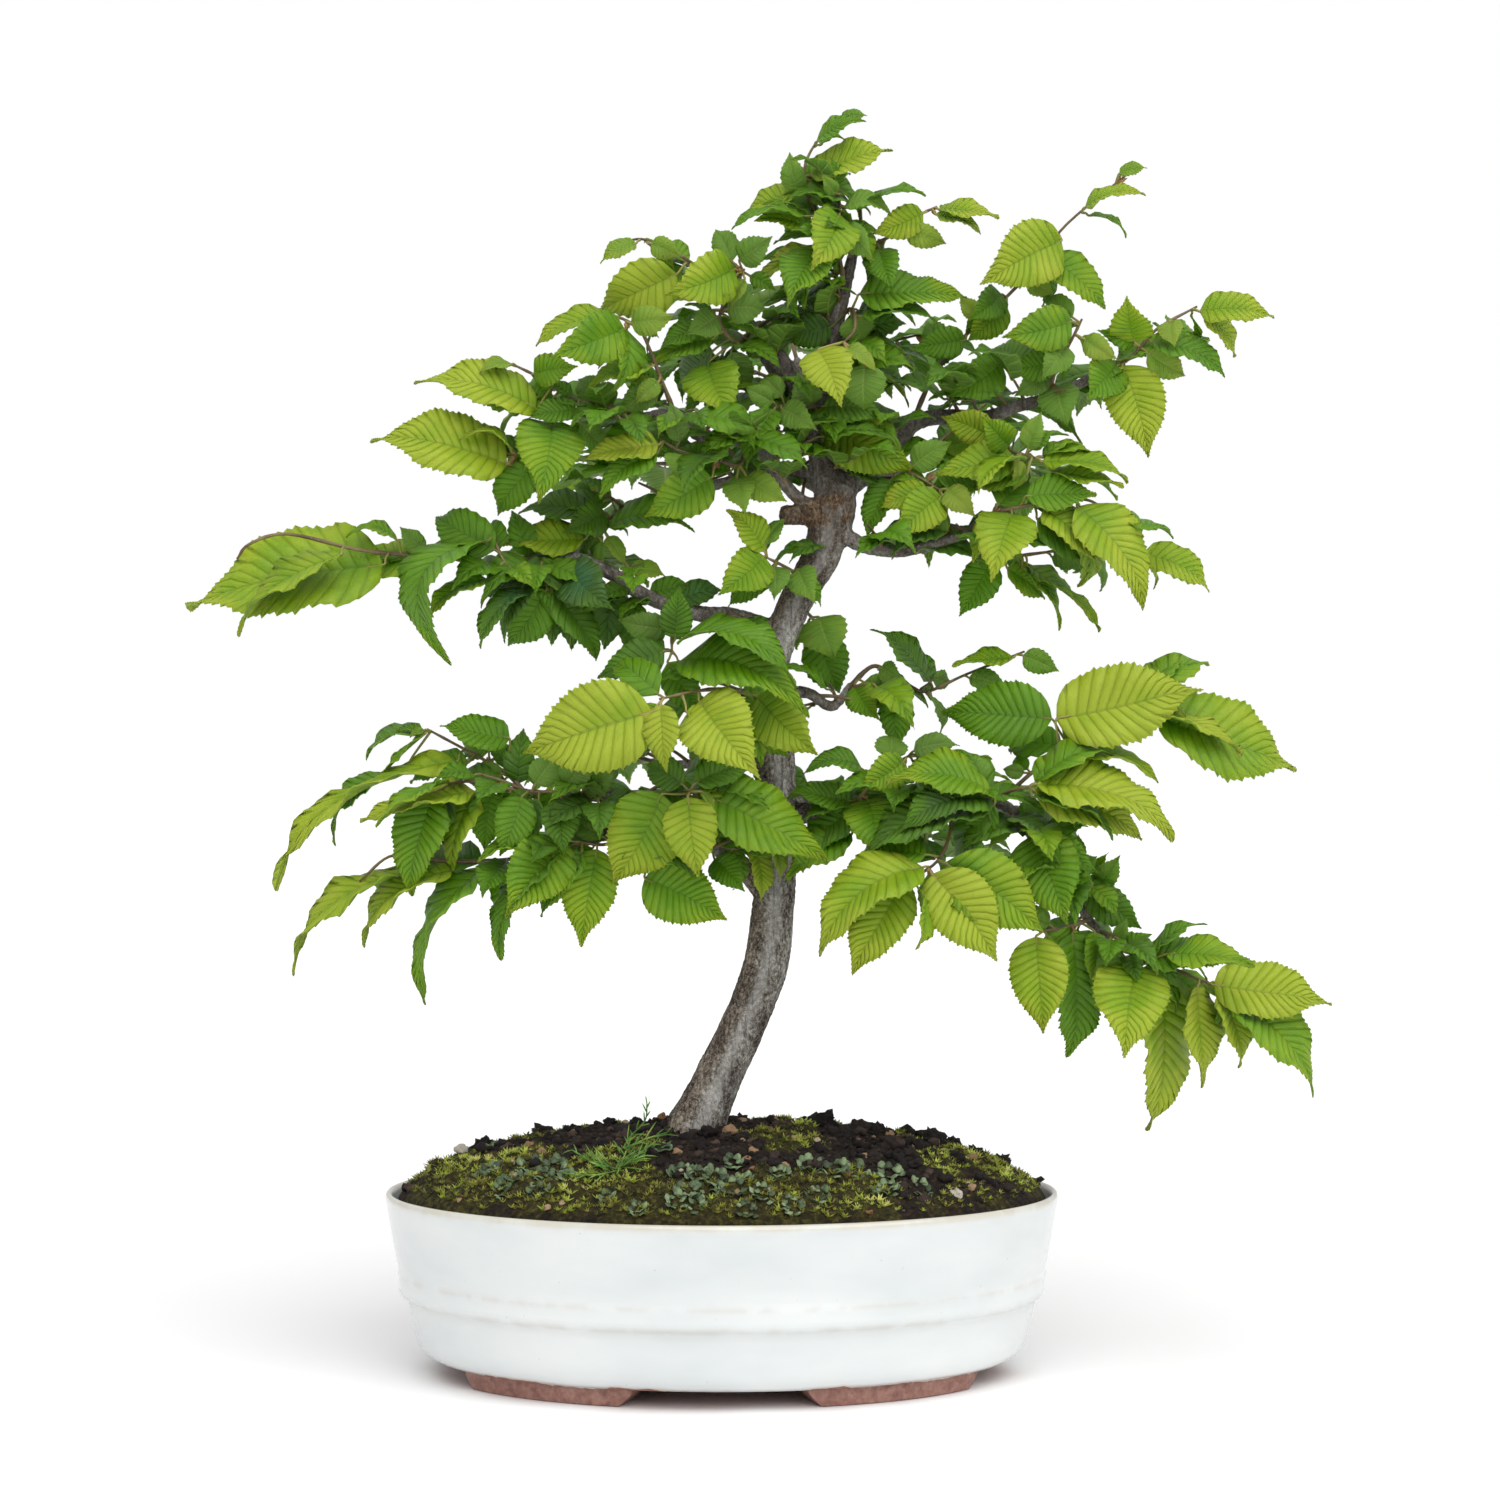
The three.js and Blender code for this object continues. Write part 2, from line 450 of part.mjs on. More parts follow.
      [-93, 202, -123, 148, 11, 0.5, 0.14], [-86, 203, -96, 189, 13, 0.4],
    ],
  },
  low_right_top: {
    stem: [[112, 227, -16], [121, 236, -20], [135, 247, -22], [148, 255, -22], [168, 270, -22]],
    leaves: [
      [140, 247, 175, 236, 9, 0.95, 0.1], [165, 264, 209, 248, 7, 0.95, 0.06],
      [168, 269, 186, 262, 6, 0.85], [126, 258, 192, 274, 31, 0.85, 0.04, 6],
      [174, 261, 231.5, 241, 28, 0.85, 0.02, 12], [132, 260, 87, 263, 25, 0.5, 0.02, 20],
      [124, 238, 112, 240, 6, 0.3, 0.09, 6], [128, 247, 148, 246, 12, 0.75, 0.02, 10],
    ],
  },
  low_right_mid: {
    stem: [[108, 227, -16], [115, 231, -30], [124, 233, -37]],
    leaves: [
      [125, 234, 182.5, 217, 16, 0.85, 0.05], [123, 232, 169.5, 213.5, 19, 0.8, 0.03, 8],
      [124, 229, 157.5, 214, 9, 0.3, 0.12, 10],
    ],
  },
  low_right_inner: {
    stem: [[95, 228, -16], [103, 231, -26], [110, 230, -34]],
    leaves: [
      [110, 231, 66, 236, 14, 0.6, 0.12], [107, 227, 53, 205, 20, 0.3],
      [108, 228, 70, 216, 15, 0.3, 0.15, -6], [104, 233, 98, 246, 12, 0.55],
      [109, 226, 96, 211, 12, 0.3, 0.09, 8],
    ],
  },
  low_right_near: {
    stem: [[52, 224, -10], [58, 232, -17], [66, 240, -20], [76, 246, -20]],
    leaves: [
      [58, 228, 62, 205, 22, 0.7], [52, 227, 28, 232, 12, 0.4, 0.05],
      [58, 228, 30, 200, 15, 0.4, 0.09, 8], [74, 244, 55, 232, 15, 0.65, 0.05],
      [76, 247, 95, 250, 9, 0.3], [56, 240, 32.5, 238.5, 9, 0.35, 0.25],
      [52, 214, 25, 197, 13, 0.55, 0.05, -6], [74, 247, 88, 240, 8, 0.5, 0.09, 6],
      [67, 240, 68, 254, 13, 0.5],
    ],
  },
  low_right_front: {
    stem: [[92, 228, -17], [91, 214, -32], [86, 203, -42], [74, 195, -48]],
    leaves: [
      [73, 195, 51, 158.5, 22, 0.9, 0.05], [82, 202, 38, 166.5, 20, 0.75, 0.22],
      [84, 198, 110, 163, 27, 0.95, 0.05], [90, 202, 129, 174.5, 28, 0.8, 0.05],
      [79, 191, 79, 168, 4, 0.85], [84, 206, 50, 203, 12, 0.6, 0.05, 6], [77, 194, 73, 188, 3, 0.8],
    ],
  },
  low_right_drop: {
    stem: [[114, 224, -16], [120, 217, -28], [132, 208, -25], [143, 198, -14], [150, 193, -5]],
    leaves: [
      [123, 214, 138, 178, 27, 0.5], [126, 214, 150, 199, 15, 0.5, 0.09, -10],
      [114, 222, 136, 203, 9, 0.45, 0.15], [120, 219, 145, 206, 8, 0.45, 0.15],
      [114, 219, 107, 209, 8, 0.8], [144, 193, 168, 176, 15, 0.2], [151, 194, 159, 205, 10, 0.6],
      [142, 199, 150, 205, 9, 0.5, 0.09, 6],
    ],
  },
  low_right_hanging: {
    stem: [[147, 180, -12], [139, 177, -22], [127, 175, -32]],
    leaves: [
      [125.5, 174, 128.5, 134, 23, 0.8, 0.03], [140, 176, 141.5, 124, 21, 0.5, 0.03, 4],
      [133, 177, 118, 184, 9, 0.5], [149, 175, 148, 152, 11, 0.5],
      [142, 178, 136, 166, 10, 0.5, 0.09, 10],
    ],
  },
  low_right_branch: {
    stem: [[155, 171, -13], [163, 163, -20], [170, 162, -22]],
    leaves: [
      [166, 161, 161, 126, 30, 0.8, 0.05], [167, 165, 206, 165, 13, 0.65, 0.02],
      [165, 167, 148, 157, 12, 0.55], [178, 166, 213, 162.5, 12, 0.7, 0.08, 10],
      [158, 172, 162, 180, 6, 0.4],
    ],
  },
  low_right_tip: {
    stem: [[156, 169, -13], [168, 165, -10], [181, 160, -12], [190, 156, -14], [202, 152, -14]],
    leaves: [
      [190, 153, 193.5, 112.5, 14, 0.95, 0.02], [177, 157, 173.5, 94.5, 25, 0.85, 0.02, 2],
      [194, 154, 244.5, 148, 23, 0.95, 0.02], [199, 151, 209, 121, 12, 0.9],
      [204, 149, 239.5, 111, 21, 0.75, 0.12], [201, 151, 203, 137, 4, 0.8],
    ],
  },
};

// Shoots behind, with their leaves set by a rule: side by side along the stem, in turn left and right
const BACK_SHOOTS = {
  back_left_end: { tone: 0.6, stem: [[-24, 242, 74], [-40, 246, 90], [-56, 246, 104]] },
  back_left_inner: { tone: 0.35, stem: [[-6, 242, 50], [-22, 230, 58], [-38, 222, 62], [-54, 218, 64]] },
  back_right_end: { tone: 0.6, stem: [[76, 230, 78], [92, 234, 92], [106, 234, 102]] },
  back_right_inner: { tone: 0.35, stem: [[56, 230, 54], [66, 220, 62], [82, 214, 68], [98, 210, 70]] },
  back_left_high_end: { tone: 0.6, stem: [[-12, 362, 74], [-30, 362, 88], [-46, 360, 98]] },
  back_left_high_inner: { tone: 0.35, stem: [[8, 362, 52], [-4, 374, 60], [-18, 384, 66], [-32, 390, 68]] },
  back_right_high_end: { tone: 0.6, stem: [[93, 363, 78], [108, 362, 92], [124, 360, 102]] },
  back_right_high_inner: { tone: 0.35, stem: [[75, 360.5, 54], [86, 370, 62], [98, 380, 68], [108, 388, 70]] },
  back_top_end: { tone: 0.6, stem: [[30, 403, 72], [28, 414, 86], [32, 424, 94]] },
  back_top_left: { tone: 0.4, stem: [[35, 387, 32], [20, 396, 42], [4, 402, 48], [-8, 406, 50]] },
  back_top_right: { tone: 0.4, stem: [[32, 396, 52], [48, 404, 58], [64, 410, 62], [80, 414, 64]] },
  back_left_mid: { tone: 0.35, stem: [[-44, 318, -12], [-52, 326, 10], [-60, 330, 26], [-70, 328, 38]] },
};
const BACK_RULE = {
  leaves: 5, from: 0.3, run: 0.65, stalk: 4, shortest: 30, longest: 42,
  splay: 58, sway: 14, lastSplay: 6, droop: 0.35, leastDroop: 0.6, moreDroop: 0.8, seed: 41,
};

// A fine weed beside the trunk: [across, up, depth] from its root to each tip
const WEED_ROOT = [[-43, 70, -42], [-42.5, 80, -43]];
const WEED_BLADES = [
  [[-42.5, 80, -43], [-38, 90, -44], [-31, 99, -44], [-30, 106, -44]],
  [[-42.5, 80, -43], [-47, 81, -46], [-51, 84, -47]],
  [[-42.5, 80, -43], [-36, 83, -48], [-26, 90, -50]],
  [[-39, 88, -44], [-31, 91, -47], [-22, 93, -47]],
  [[-42.5, 79, -43], [-50, 77, -52], [-59, 75, -55]],
  [[-42.5, 80, -43], [-37, 81, -40], [-31, 84, -38]],
];
const WEED = { radius: 0.7, bent: 0.8, tip: 0.45, sides: 3 };

// Colour and roughness of each surface
const GLAZE = [0xe8eeee, 0.2];
const EARTH = [0x3a3226, 0.95];
const BARK = [0x6f655c, 0.85];
const MESH_PLASTIC = [0x2c2f2e, 0.6];
const WEED_GREEN = [0x4f8a2c, 0.6];
const DARK_LEAF = new THREE.Color(0x24551c);
const PALE_LEAF = new THREE.Color(0x9dbd35);
const LEAF_ROUGHNESS = 0.55;

// The trunk's foot spreads into roots, and its girth wanders a little all the way up
const ROOTS = { up: 0.16, spread: 0.09, count: 5 };
const GIRTH = { wander: 0.025, sides: 3, twist: 9 };

const seen = (across, up, depth) => {
  const spread = (VIEW.distance + depth) / VIEW.distance;
  return new THREE.Vector3(
    VIEW.across + (across - VIEW.across) * spread,
    depth,
    VIEW.up + (up - VIEW.up) * spread,
  );
};

const seededDraws = seed => () => {
  seed = (seed + 0x6d2b79f5) >>> 0;
  let mixed = seed;
  mixed = Math.imul(mixed ^ (mixed >>> 15), mixed | 1);
  mixed ^= mixed + Math.imul(mixed ^ (mixed >>> 7), mixed | 61);
  return ((mixed ^ (mixed >>> 14)) >>> 0) / 4294967296;
};

// A closed geometry with shared corners becomes a solid that can be joined and cut
const toSolid = geometry => {
  const bare = geometry.clone();
  bare.deleteAttribute("normal");
  bare.deleteAttribute("uv");
  const merged = mergeVertices(bare, 1e-4);
  const mesh = new wasm.Mesh({
    numProp: 3,
    vertProperties: new Float32Array(merged.attributes.position.array),
    triVerts: new Uint32Array(merged.index.array),
  });
  return new wasm.Manifold(mesh);
};

const join = solids => solids.slice(1).reduce((whole, next) => whole.add(next), solids[0]);

// What a cut leaves in one piece with the most of a core
const pieceHolding = (solid, core) => {
  const held = piece => piece.intersect(core).volume();
  return solid.decompose().reduce((best, piece) => (held(piece) > held(best) ? piece : best));
};

const toMesh = (name, solid, colour, roughness) => {
  const { vertProperties, triVerts } = solid.getMesh();
  const geometry = new THREE.BufferGeometry();
  geometry.setAttribute("position", new THREE.BufferAttribute(new Float32Array(vertProperties), 3));
  geometry.setIndex(new THREE.BufferAttribute(new Uint32Array(triVerts), 1));
  geometry.computeVertexNormals();
  const material = new THREE.MeshStandardMaterial({ color: colour, roughness, metalness: 0 });
  const mesh = new THREE.Mesh(geometry, material);
  mesh.name = name;
  return mesh;
};

// A cylinder bent along a curve, with a ring and a radius at each of its points
const bentRod = (points, radii, sides, relief = () => 1) => {
  const curve = new THREE.CatmullRomCurve3(points, false, "centripetal");
  const rings = points.length - 1;
  const normal = new THREE.Vector3(0, 1, 0.01);
  const frames = points.map((_, i) => {
    const ahead = curve.getTangent(i / rings);
    normal.addScaledVector(ahead, -normal.dot(ahead)).normalize();
    return [normal.clone(), ahead.clone().cross(normal)];
  });
  const geometry = new THREE.CylinderGeometry(1, 1, 1, sides, rings);
  const place = geometry.attributes.position;
  for (let i = 0; i < place.count; i += 1) {
    const ring = Math.round((0.5 - place.getY(i)) * rings);
    const reach = radii[ring] * relief(ring / rings, Math.atan2(place.getZ(i), place.getX(i)));
    const point = points[ring].clone()
      .addScaledVector(frames[ring][0], place.getX(i) * reach)
      .addScaledVector(frames[ring][1], place.getZ(i) * reach);
    place.setXYZ(i, point.x, point.y, point.z);
  }
  return toSolid(geometry);
};

const trunkRelief = (along, turn) => {
  const flare = Math.max(0, 1 - along / ROOTS.up);
  return 1 + ROOTS.spread * flare * Math.cos(turn * ROOTS.count)
    + GIRTH.wander * Math.cos(turn * GIRTH.sides + along * GIRTH.twist);
};

const makeWood = grow => join(Object.entries(WOOD).map(([name, { sides, path }]) => bentRod(
  path.map(([across, up, depth]) => seen(across, up, depth)),
  path.map(([, , , radius]) => radius + grow),
  sides, name === "trunk" ? trunkRelief : undefined,
)));

// A leaf blade: a folded, toothed outline whose midrib is thick and whose edges are thin
const makeBlade = ({ root, base, tip, width, up, bow }, grow) => {
  const reach = tip.clone().sub(base);
  const length = reach.length();
  const ahead = reach.clone().normalize();
  const aside = ahead.clone().cross(up);
  const edge = length > BIG_LEAF ? BIG_EDGE : length > MIDDLE_LEAF ? MIDDLE_EDGE : SMALL_EDGE;
  const points = [];
  const add = (centre, across, above) => points.push(
    centre.clone().addScaledVector(aside, across).addScaledVector(up, above)) - 1;
  const along = t => base.clone().addScaledVector(ahead, length * t)
    .addScaledVector(up, bow * length * 4 * t * (1 - t));
  const petiole = LEAF.petiole + grow;
  const half = LEAF.thick / 2 + grow;
  const start = add(root, 0, 0);
  const upper = [add(along(0), 0, petiole), add(along(LEAF.rib), 0, half)];
  const lower = [add(along(0), 0, -petiole), add(along(LEAF.rib), 0, -half)];
  const side = sign => [
    add(along(0), sign * petiole, 0),
    ...edge.map(([t, wide], i) => {
      const out = wide * width / 2 + grow;
      return add(along(t), sign * out, LEAF.fold * out + (i % 2 ? 1 : -1) * LEAF.wave * wide / 2);
    }),
  ];
  const right = side(1);
  const left = side(-1);
  const end = add(along(1).addScaledVector(ahead, grow), 0, 0);
  const triangles = [];
  const skin = (ribs, rim, turned) => {
    const face = (a, b, c) => triangles.push(...(turned ? [a, c, b] : [a, b, c]));
    face(start, rim[0], ribs[0]);
    face(ribs[0], rim[0], rim[1]);
    face(ribs[0], rim[1], ribs[1]);
    for (let i = 1; i < rim.length - 1; i += 1) face(ribs[1], rim[i], rim[i + 1]);
    face(ribs[1], rim.at(-1), end);
  };
  skin(upper, right, false);
  skin(upper, left, true);
  skin(lower, right, true);
  skin(lower, left, false);
  const geometry = new THREE.BufferGeometry().setFromPoints(points);
  geometry.setIndex(triangles);
  return toSolid(geometry);
};

const nearestOn = (stem, across, up) => {
  let best = null;
  for (let i = 0; i + 1 < stem.length; i += 1) {
    const [a, b] = [stem[i], stem[i + 1]];
    const run = [b[0] - a[0], b[1] - a[1]];
    const share = ((across - a[0]) * run[0] + (up - a[1]) * run[1]) / (run[0] ** 2 + run[1] ** 2);
    const t = THREE.MathUtils.clamp(
      share, i === 0 ? STEM.bareRoot : 0, i + 2 === stem.length ? 1 - STEM.bareTip : 1);
    const spot = a.map((value, k) => value + (b[k] - value) * t);
    const gap = Math.hypot(across - spot[0], up - spot[1]);
    if (!best || gap < best.gap) best = { gap, spot };
  }
  return best.spot;
};

// A leaf as it is seen becomes a leaf in space: a wide short one points at the viewer,
// and a narrow long one is turned with its upper side to the sky
const placeLeaf = (stem, [a0, u0, a1, u1, width, , bow = LEAF.bow, behind], bend) => {
  const spot = nearestOn(stem, a0, u0);
  const shown = Math.hypot(a1 - a0, u1 - u0);
  const full = width / LEAF.full;
  const forward = full > shown
    ? -Math.min(Math.sqrt(full ** 2 - shown ** 2), HANG.mostForward * shown) : -HANG.forward * shown;
  const root = seen(...spot);
  const start = spot[2] - HANG.clear - HANG.clearByBend * Math.abs(bend);
  const base = seen(a0, u0, start);
  const tip = seen(a1, u1, start + (behind ?? forward) + bend);
  const ahead = tip.clone().sub(base).normalize();
  base.addScaledVector(ahead, Math.max(0, LEAF.stalk - base.clone().sub(root).dot(ahead)));
  const middle = base.clone().lerp(tip, 0.5);
  const toViewer = new THREE.Vector3(VIEW.across, -VIEW.distance, VIEW.up).sub(middle);
  const facing = toViewer.addScaledVector(ahead, -toViewer.dot(ahead)).normalize();
  const sideways = ahead.clone().cross(facing);
  const outward = Math.sign(a0 - VIEW.across) * HANG.outward;
  if (sideways.x * outward + sideways.z < 0) sideways.negate();
  const length = base.distanceTo(tip);
  const broad = THREE.MathUtils.clamp(LEAF.ratio * length, width, BROADEST.times * width + BROADEST.plus);
  const roll = Math.acos(width / broad);
  const up = facing.multiplyScalar(Math.cos(roll)).addScaledVector(sideways, Math.sin(roll));
  return { root, base, tip, width: broad, up, bow };
};

// A leaf of a shoot behind: they leave the stem in turn to either side, and droop outwards
const placeBackLeaf = (stem, i, draws, bend) => {
  const station = (BACK_RULE.from + BACK_RULE.run * i / (BACK_RULE.leaves - 1)) * (stem.length - 1);
  const low = Math.floor(station);
  const [before, after] = [seen(...stem[low]), seen(...stem[low + 1])];
  const root = before.clone().lerp(after, station - low);
  const ahead = after.sub(before).normalize();
  const last = i === BACK_RULE.leaves - 1;
  const splay = THREE.MathUtils.degToRad(
    last ? BACK_RULE.lastSplay : BACK_RULE.splay + BACK_RULE.sway * (draws[0] - 0.5));
  const level = new THREE.Vector3(ahead.x, ahead.y, 0).normalize();
  const aside = new THREE.Vector3(-level.y, level.x, 0).multiplyScalar(i % 2 ? 1 : -1);
  const heading = level.multiplyScalar(Math.cos(splay)).addScaledVector(aside, Math.sin(splay));
  heading.z = -BACK_RULE.droop * (BACK_RULE.leastDroop + BACK_RULE.moreDroop * draws[1]);
  heading.normalize();
  const length = THREE.MathUtils.lerp(BACK_RULE.shortest, BACK_RULE.longest, draws[2]);
  const base = root.clone().addScaledVector(heading, BACK_RULE.stalk);
  const tip = base.clone().addScaledVector(heading, length);
  tip.z -= bend;
  heading.subVectors(tip, base).normalize();
  const up = new THREE.Vector3(0, 0, 1);
  up.addScaledVector(heading, -up.dot(heading)).normalize();
  return { root, base, tip, width: LEAF.ratio * length, up, bow: LEAF.bow };
};

const makeTwig = (stem, grow) => bentRod(
  stem.map(point => seen(...point)),
  stem.map((_, i) => THREE.MathUtils.lerp(STEM.root, STEM.tip, i / (stem.length - 1)) + grow),
  STEM.sides,
);

const overlaps = (a, b) => {
  const [p, q] = [a.boundingBox(), b.boundingBox()];
  return [0, 1, 2].every(k => p.min[k] < q.max[k] && q.min[k] < p.max[k])
    && !a.intersect(b).isEmpty();
};

// The plain lozenge that a blade keeps free of its neighbours
const makeRoom = ({ root, base, tip, width, up, bow }, stalked) => {
  const ahead = tip.clone().sub(base);
  const aside = ahead.clone().normalize().cross(up);
  const out = width / 2 + ROOM.edge;
  const spot = (t, across, above) => base.clone().addScaledVector(ahead, t).addScaledVector(aside, across)
    .addScaledVector(up, above + bow * ahead.length() * 4 * t * (1 - t));
  const high = LEAF.fold * out;
  const face = LEAF.thick / 2 + ROOM.face;
  const geometry = new THREE.BufferGeometry().setFromPoints([
    stalked ? root.clone().lerp(base, ROOM.stalk) : spot(ROOM.from, 0, 0),
    spot(ROOM.broad, out, high), spot(ROOM.slim, ROOM.slimmer * out, high), spot(ROOM.to, 0, 0),
    spot(ROOM.slim, -ROOM.slimmer * out, high), spot(ROOM.broad, -out, high),
    spot(LEAF.rib, 0, face), spot(LEAF.rib, 0, -face),
  ]);
  const triangles = [];
  for (let i = 0; i < 6; i += 1) {
    const next = (i + 1) % 6;
    triangles.push(6, i, next, 7, next, i);
  }
  geometry.setIndex(triangles);
  return toSolid(geometry);
};

// Sprays keep clear of the wood and of each other: a leaf in the way of what stands is bent clear
const makeSprays = thickWood => {
  const draw = seededDraws(BACK_RULE.seed);
  const growing = [
    ...Object.entries(SHOOTS).map(([name, { stem, leaves }]) => ({
      name, stem,
      leaves: leaves.map(leaf => bend => placeLeaf(stem, leaf, bend)),
      tone: leaves.reduce((sum, leaf) => sum + leaf[5], 0) / leaves.length,
    })),
    ...Object.entries(BACK_SHOOTS).map(([name, { stem, tone }]) => {
      const leaves = Array.from({ length: BACK_RULE.leaves }, (_, i) => {
        const draws = [draw(), draw(), draw()];
        return bend => placeBackLeaf(stem, i, draws, bend);
      });
      return { name, stem, leaves, tone };
    }),
  ];
  const standing = [
    { solid: thickWood },
    ...growing.map(({ name, stem }) => ({ name, twig: true, solid: makeTwig(stem, GAP) })),
  ];
  const settled = growing.map(({ name, leaves }) => leaves.map(place => {
    for (const bend of BENDS) {
      const leaf = place(bend);
      const room = makeRoom(leaf, true);
      const blocked = standing.some(other => (
        overlaps(other.twig && other.name === name ? makeRoom(leaf, false) : room, other.solid)));
      if (blocked) continue;
      standing.push({ name, solid: room });
      return leaf;
    }
    const leaf = place(0);
    standing.push({ name, solid: makeRoom(leaf, true) });
    return leaf;
  }));
  const made = [];
  return growing.map(({ name, stem, tone }, i) => {
    const parts = settled[i].map(leaf => makeBlade(leaf, 0));
    const spray = join([makeTwig(stem, 0), ...parts]);
    const before = made.filter(other => overlaps(other, spray));
    const cut = before.reduce((left, other) => left.subtract(other), spray.subtract(thickWood));
    made.push(join([makeTwig(stem, GAP), ...settled[i].map(leaf => makeBlade(leaf, BLADE_GAP))]));
    const colour = DARK_LEAF.clone().lerp(PALE_LEAF, tone);
    return toMesh(`spray_${name}`, pieceHolding(cut, makeTwig(stem, 0)), colour, LEAF_ROUGHNESS);
  });
};

// Half-depth of the pot's oval at a half-width
const ovalDepth = reach => Math.max(reach - POT_OFFSET, reach * POT_SLIMMEST);

// A turned form, widened to the pot's oval
const ovalForm = (profile, sides) => {
  const geometry = new THREE.LatheGeometry(profile.map(([reach, up]) => new THREE.Vector2(reach, up)), sides);
  const place = geometry.attributes.position;
  for (let i = 0; i < place.count; i += 1) {
    const reach = Math.hypot(place.getX(i), place.getZ(i));
    const turn = Math.atan2(place.getX(i), place.getZ(i));
    place.setXYZ(i, reach * Math.cos(turn), ovalDepth(reach) * Math.sin(turn), place.getY(i));
  }
  return geometry;
};

const disc = (x, y, z, radius, height, sides) => {
  const geometry = new THREE.CylinderGeometry(radius, radius, height, sides);
  geometry.rotateX(Math.PI / 2);
  geometry.translate(x, y, z + height / 2);
  return toSolid(geometry);
};

const makeFoot = (right, front) => {
  const from = THREE.MathUtils.degToRad(FOOT.from);
  const to = THREE.MathUtils.degToRad(FOOT.to);
  const arc = (reach, i) => {
    const turn = THREE.MathUtils.lerp(from, to, i / FOOT.steps);
    return new THREE.Vector2(right * reach * Math.cos(turn), front * ovalDepth(reach) * Math.sin(turn));
  };
  const outline = [];
  for (let i = 0; i <= FOOT.steps; i += 1) outline.push(arc(FOOT.outside, i));
  for (let i = FOOT.steps; i >= 0; i -= 1) outline.push(arc(FOOT.outside - FOOT.across, i));
  const shape = new THREE.Shape(outline);
  return toSolid(new THREE.ExtrudeGeometry(shape, { depth: FOOT.top, bevelEnabled: false }));
};

const makePot = () => {
  const profile = [[0, POT_UNDERSIDE], ...POT_OUTER, ...POT_INNER, [0, POT_FLOOR]];
  let pot = toSolid(ovalForm(profile, POT_SIDES));
  for (const right of [-1, 1]) {
    for (const front of [-1, 1]) pot = pot.add(makeFoot(right, front));
    pot = pot.subtract(disc(right * DRAIN.x, 0, POT_UNDERSIDE - 1, DRAIN.radius, POT_FLOOR, DRAIN.sides));
  }
  return pot;
};

const block = (x, y, z, wide, deep, high) => {
  const geometry = new THREE.BoxGeometry(wide, deep, high);
  geometry.translate(x, y, z + high / 2);
  return toSolid(geometry);
};

const makeNet = x => {
  const floor = POT_FLOOR + NET.lift;
  let net = block(x, 0, floor, NET.side, NET.side, NET.thick);
  for (const column of [-0.5, 0.5]) {
    for (const row of [-0.5, 0.5]) {
      const [left, near] = [x + column * NET.pitch, row * NET.pitch];
      net = net.subtract(block(left, near, floor - 1, NET.hole, NET.hole, NET.thick + 2));
    }
  }
  return net;
};

// Height of the soil at a share of the way from the middle to the pot's wall
const soilHeight = share => (
  SOIL.edge + SOIL.crown * Math.max(0, 1 - share ** SOIL.shoulder) ** SOIL.steepness);
const soilLump = (x, y) => {
  const [wide, long, small] = [LUMPS.wide, LUMPS.long, LUMPS.small].map(([a, b]) => a * x + b * y);
  return SOIL.lump * (Math.sin(wide) * Math.cos(long) + LUMPS.share * Math.sin(small));
};

const makeSoil = (thickWood, thickWeed) => {
  const [edge] = POT_INNER[0];
  const reach = edge - SOIL_CLEAR.top - GAP;
  const bed = POT_FLOOR + NET.lift + NET.thick + GAP;
  const wall = POT_INNER.slice(1).reverse()
    .map(([wide, up]) => [wide - GAP - SOIL_CLEAR.wall, Math.max(up, bed)]);
  wall[0] = [wall[0][0] - SOIL_CLEAR.bottom, bed];
  const top = [...SOIL_RINGS].reverse().map(share => [reach * share, soilHeight(share)]);
  const geometry = ovalForm([[0, bed], ...wall, ...top, [0, soilHeight(0)]], SOIL.sides);
  const place = geometry.attributes.position;
  for (let i = 0; i < place.count; i += 1) {
    const [x, y, z] = [place.getX(i), place.getY(i), place.getZ(i)];
    const inside = THREE.MathUtils.clamp((z - SOIL.edge - LUMPS.from) / LUMPS.over, 0, 1);
    place.setZ(i, z + inside * soilLump(x, y));
  }
  return toSolid(geometry).subtract(thickWood).subtract(thickWeed);
};

const makeWeed = grow => {
  const blade = (path, ...radii) => bentRod(
    path.map(point => seen(...point)),
    path.map((_, i) => radii[Math.min(i, radii.length - 1)] + grow),
    WEED.sides,
  );
  return join([
    blade(WEED_ROOT, WEED.radius),
    ...WEED_BLADES.map(path => blade(path, WEED.radius, WEED.radius * WEED.bent, WEED.radius * WEED.tip)),
  ]);
};

const wood = makeWood(0);
const thickWood = makeWood(GAP + 0.05);
const bonsai = new THREE.Group();
const tree = new THREE.Group();
bonsai.add(
  toMesh("pot", makePot(), ...GLAZE),
  toMesh("drain_net_left", makeNet(-DRAIN.x), ...MESH_PLASTIC),
  toMesh("drain_net_right", makeNet(DRAIN.x), ...MESH_PLASTIC),
);
tree.add(
  toMesh("soil", makeSoil(thickWood, makeWeed(GAP)), ...EARTH),
  toMesh("trunk_and_branches", wood, ...BARK),
  toMesh("weed_sprig", makeWeed(0), ...WEED_GREEN),
  ...makeSprays(thickWood),
);
bonsai.add(tree);
bonsai.position.set(POT_PLACE.x, POT_PLACE.y, 0);

export default bonsai;
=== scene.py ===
"""A European hornbeam bonsai in a glazed oval pot: leaves, wood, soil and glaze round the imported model."""

import math
from collections import namedtuple

import bpy
import numpy as np
from mathutils import Matrix, Vector, kdtree, noise


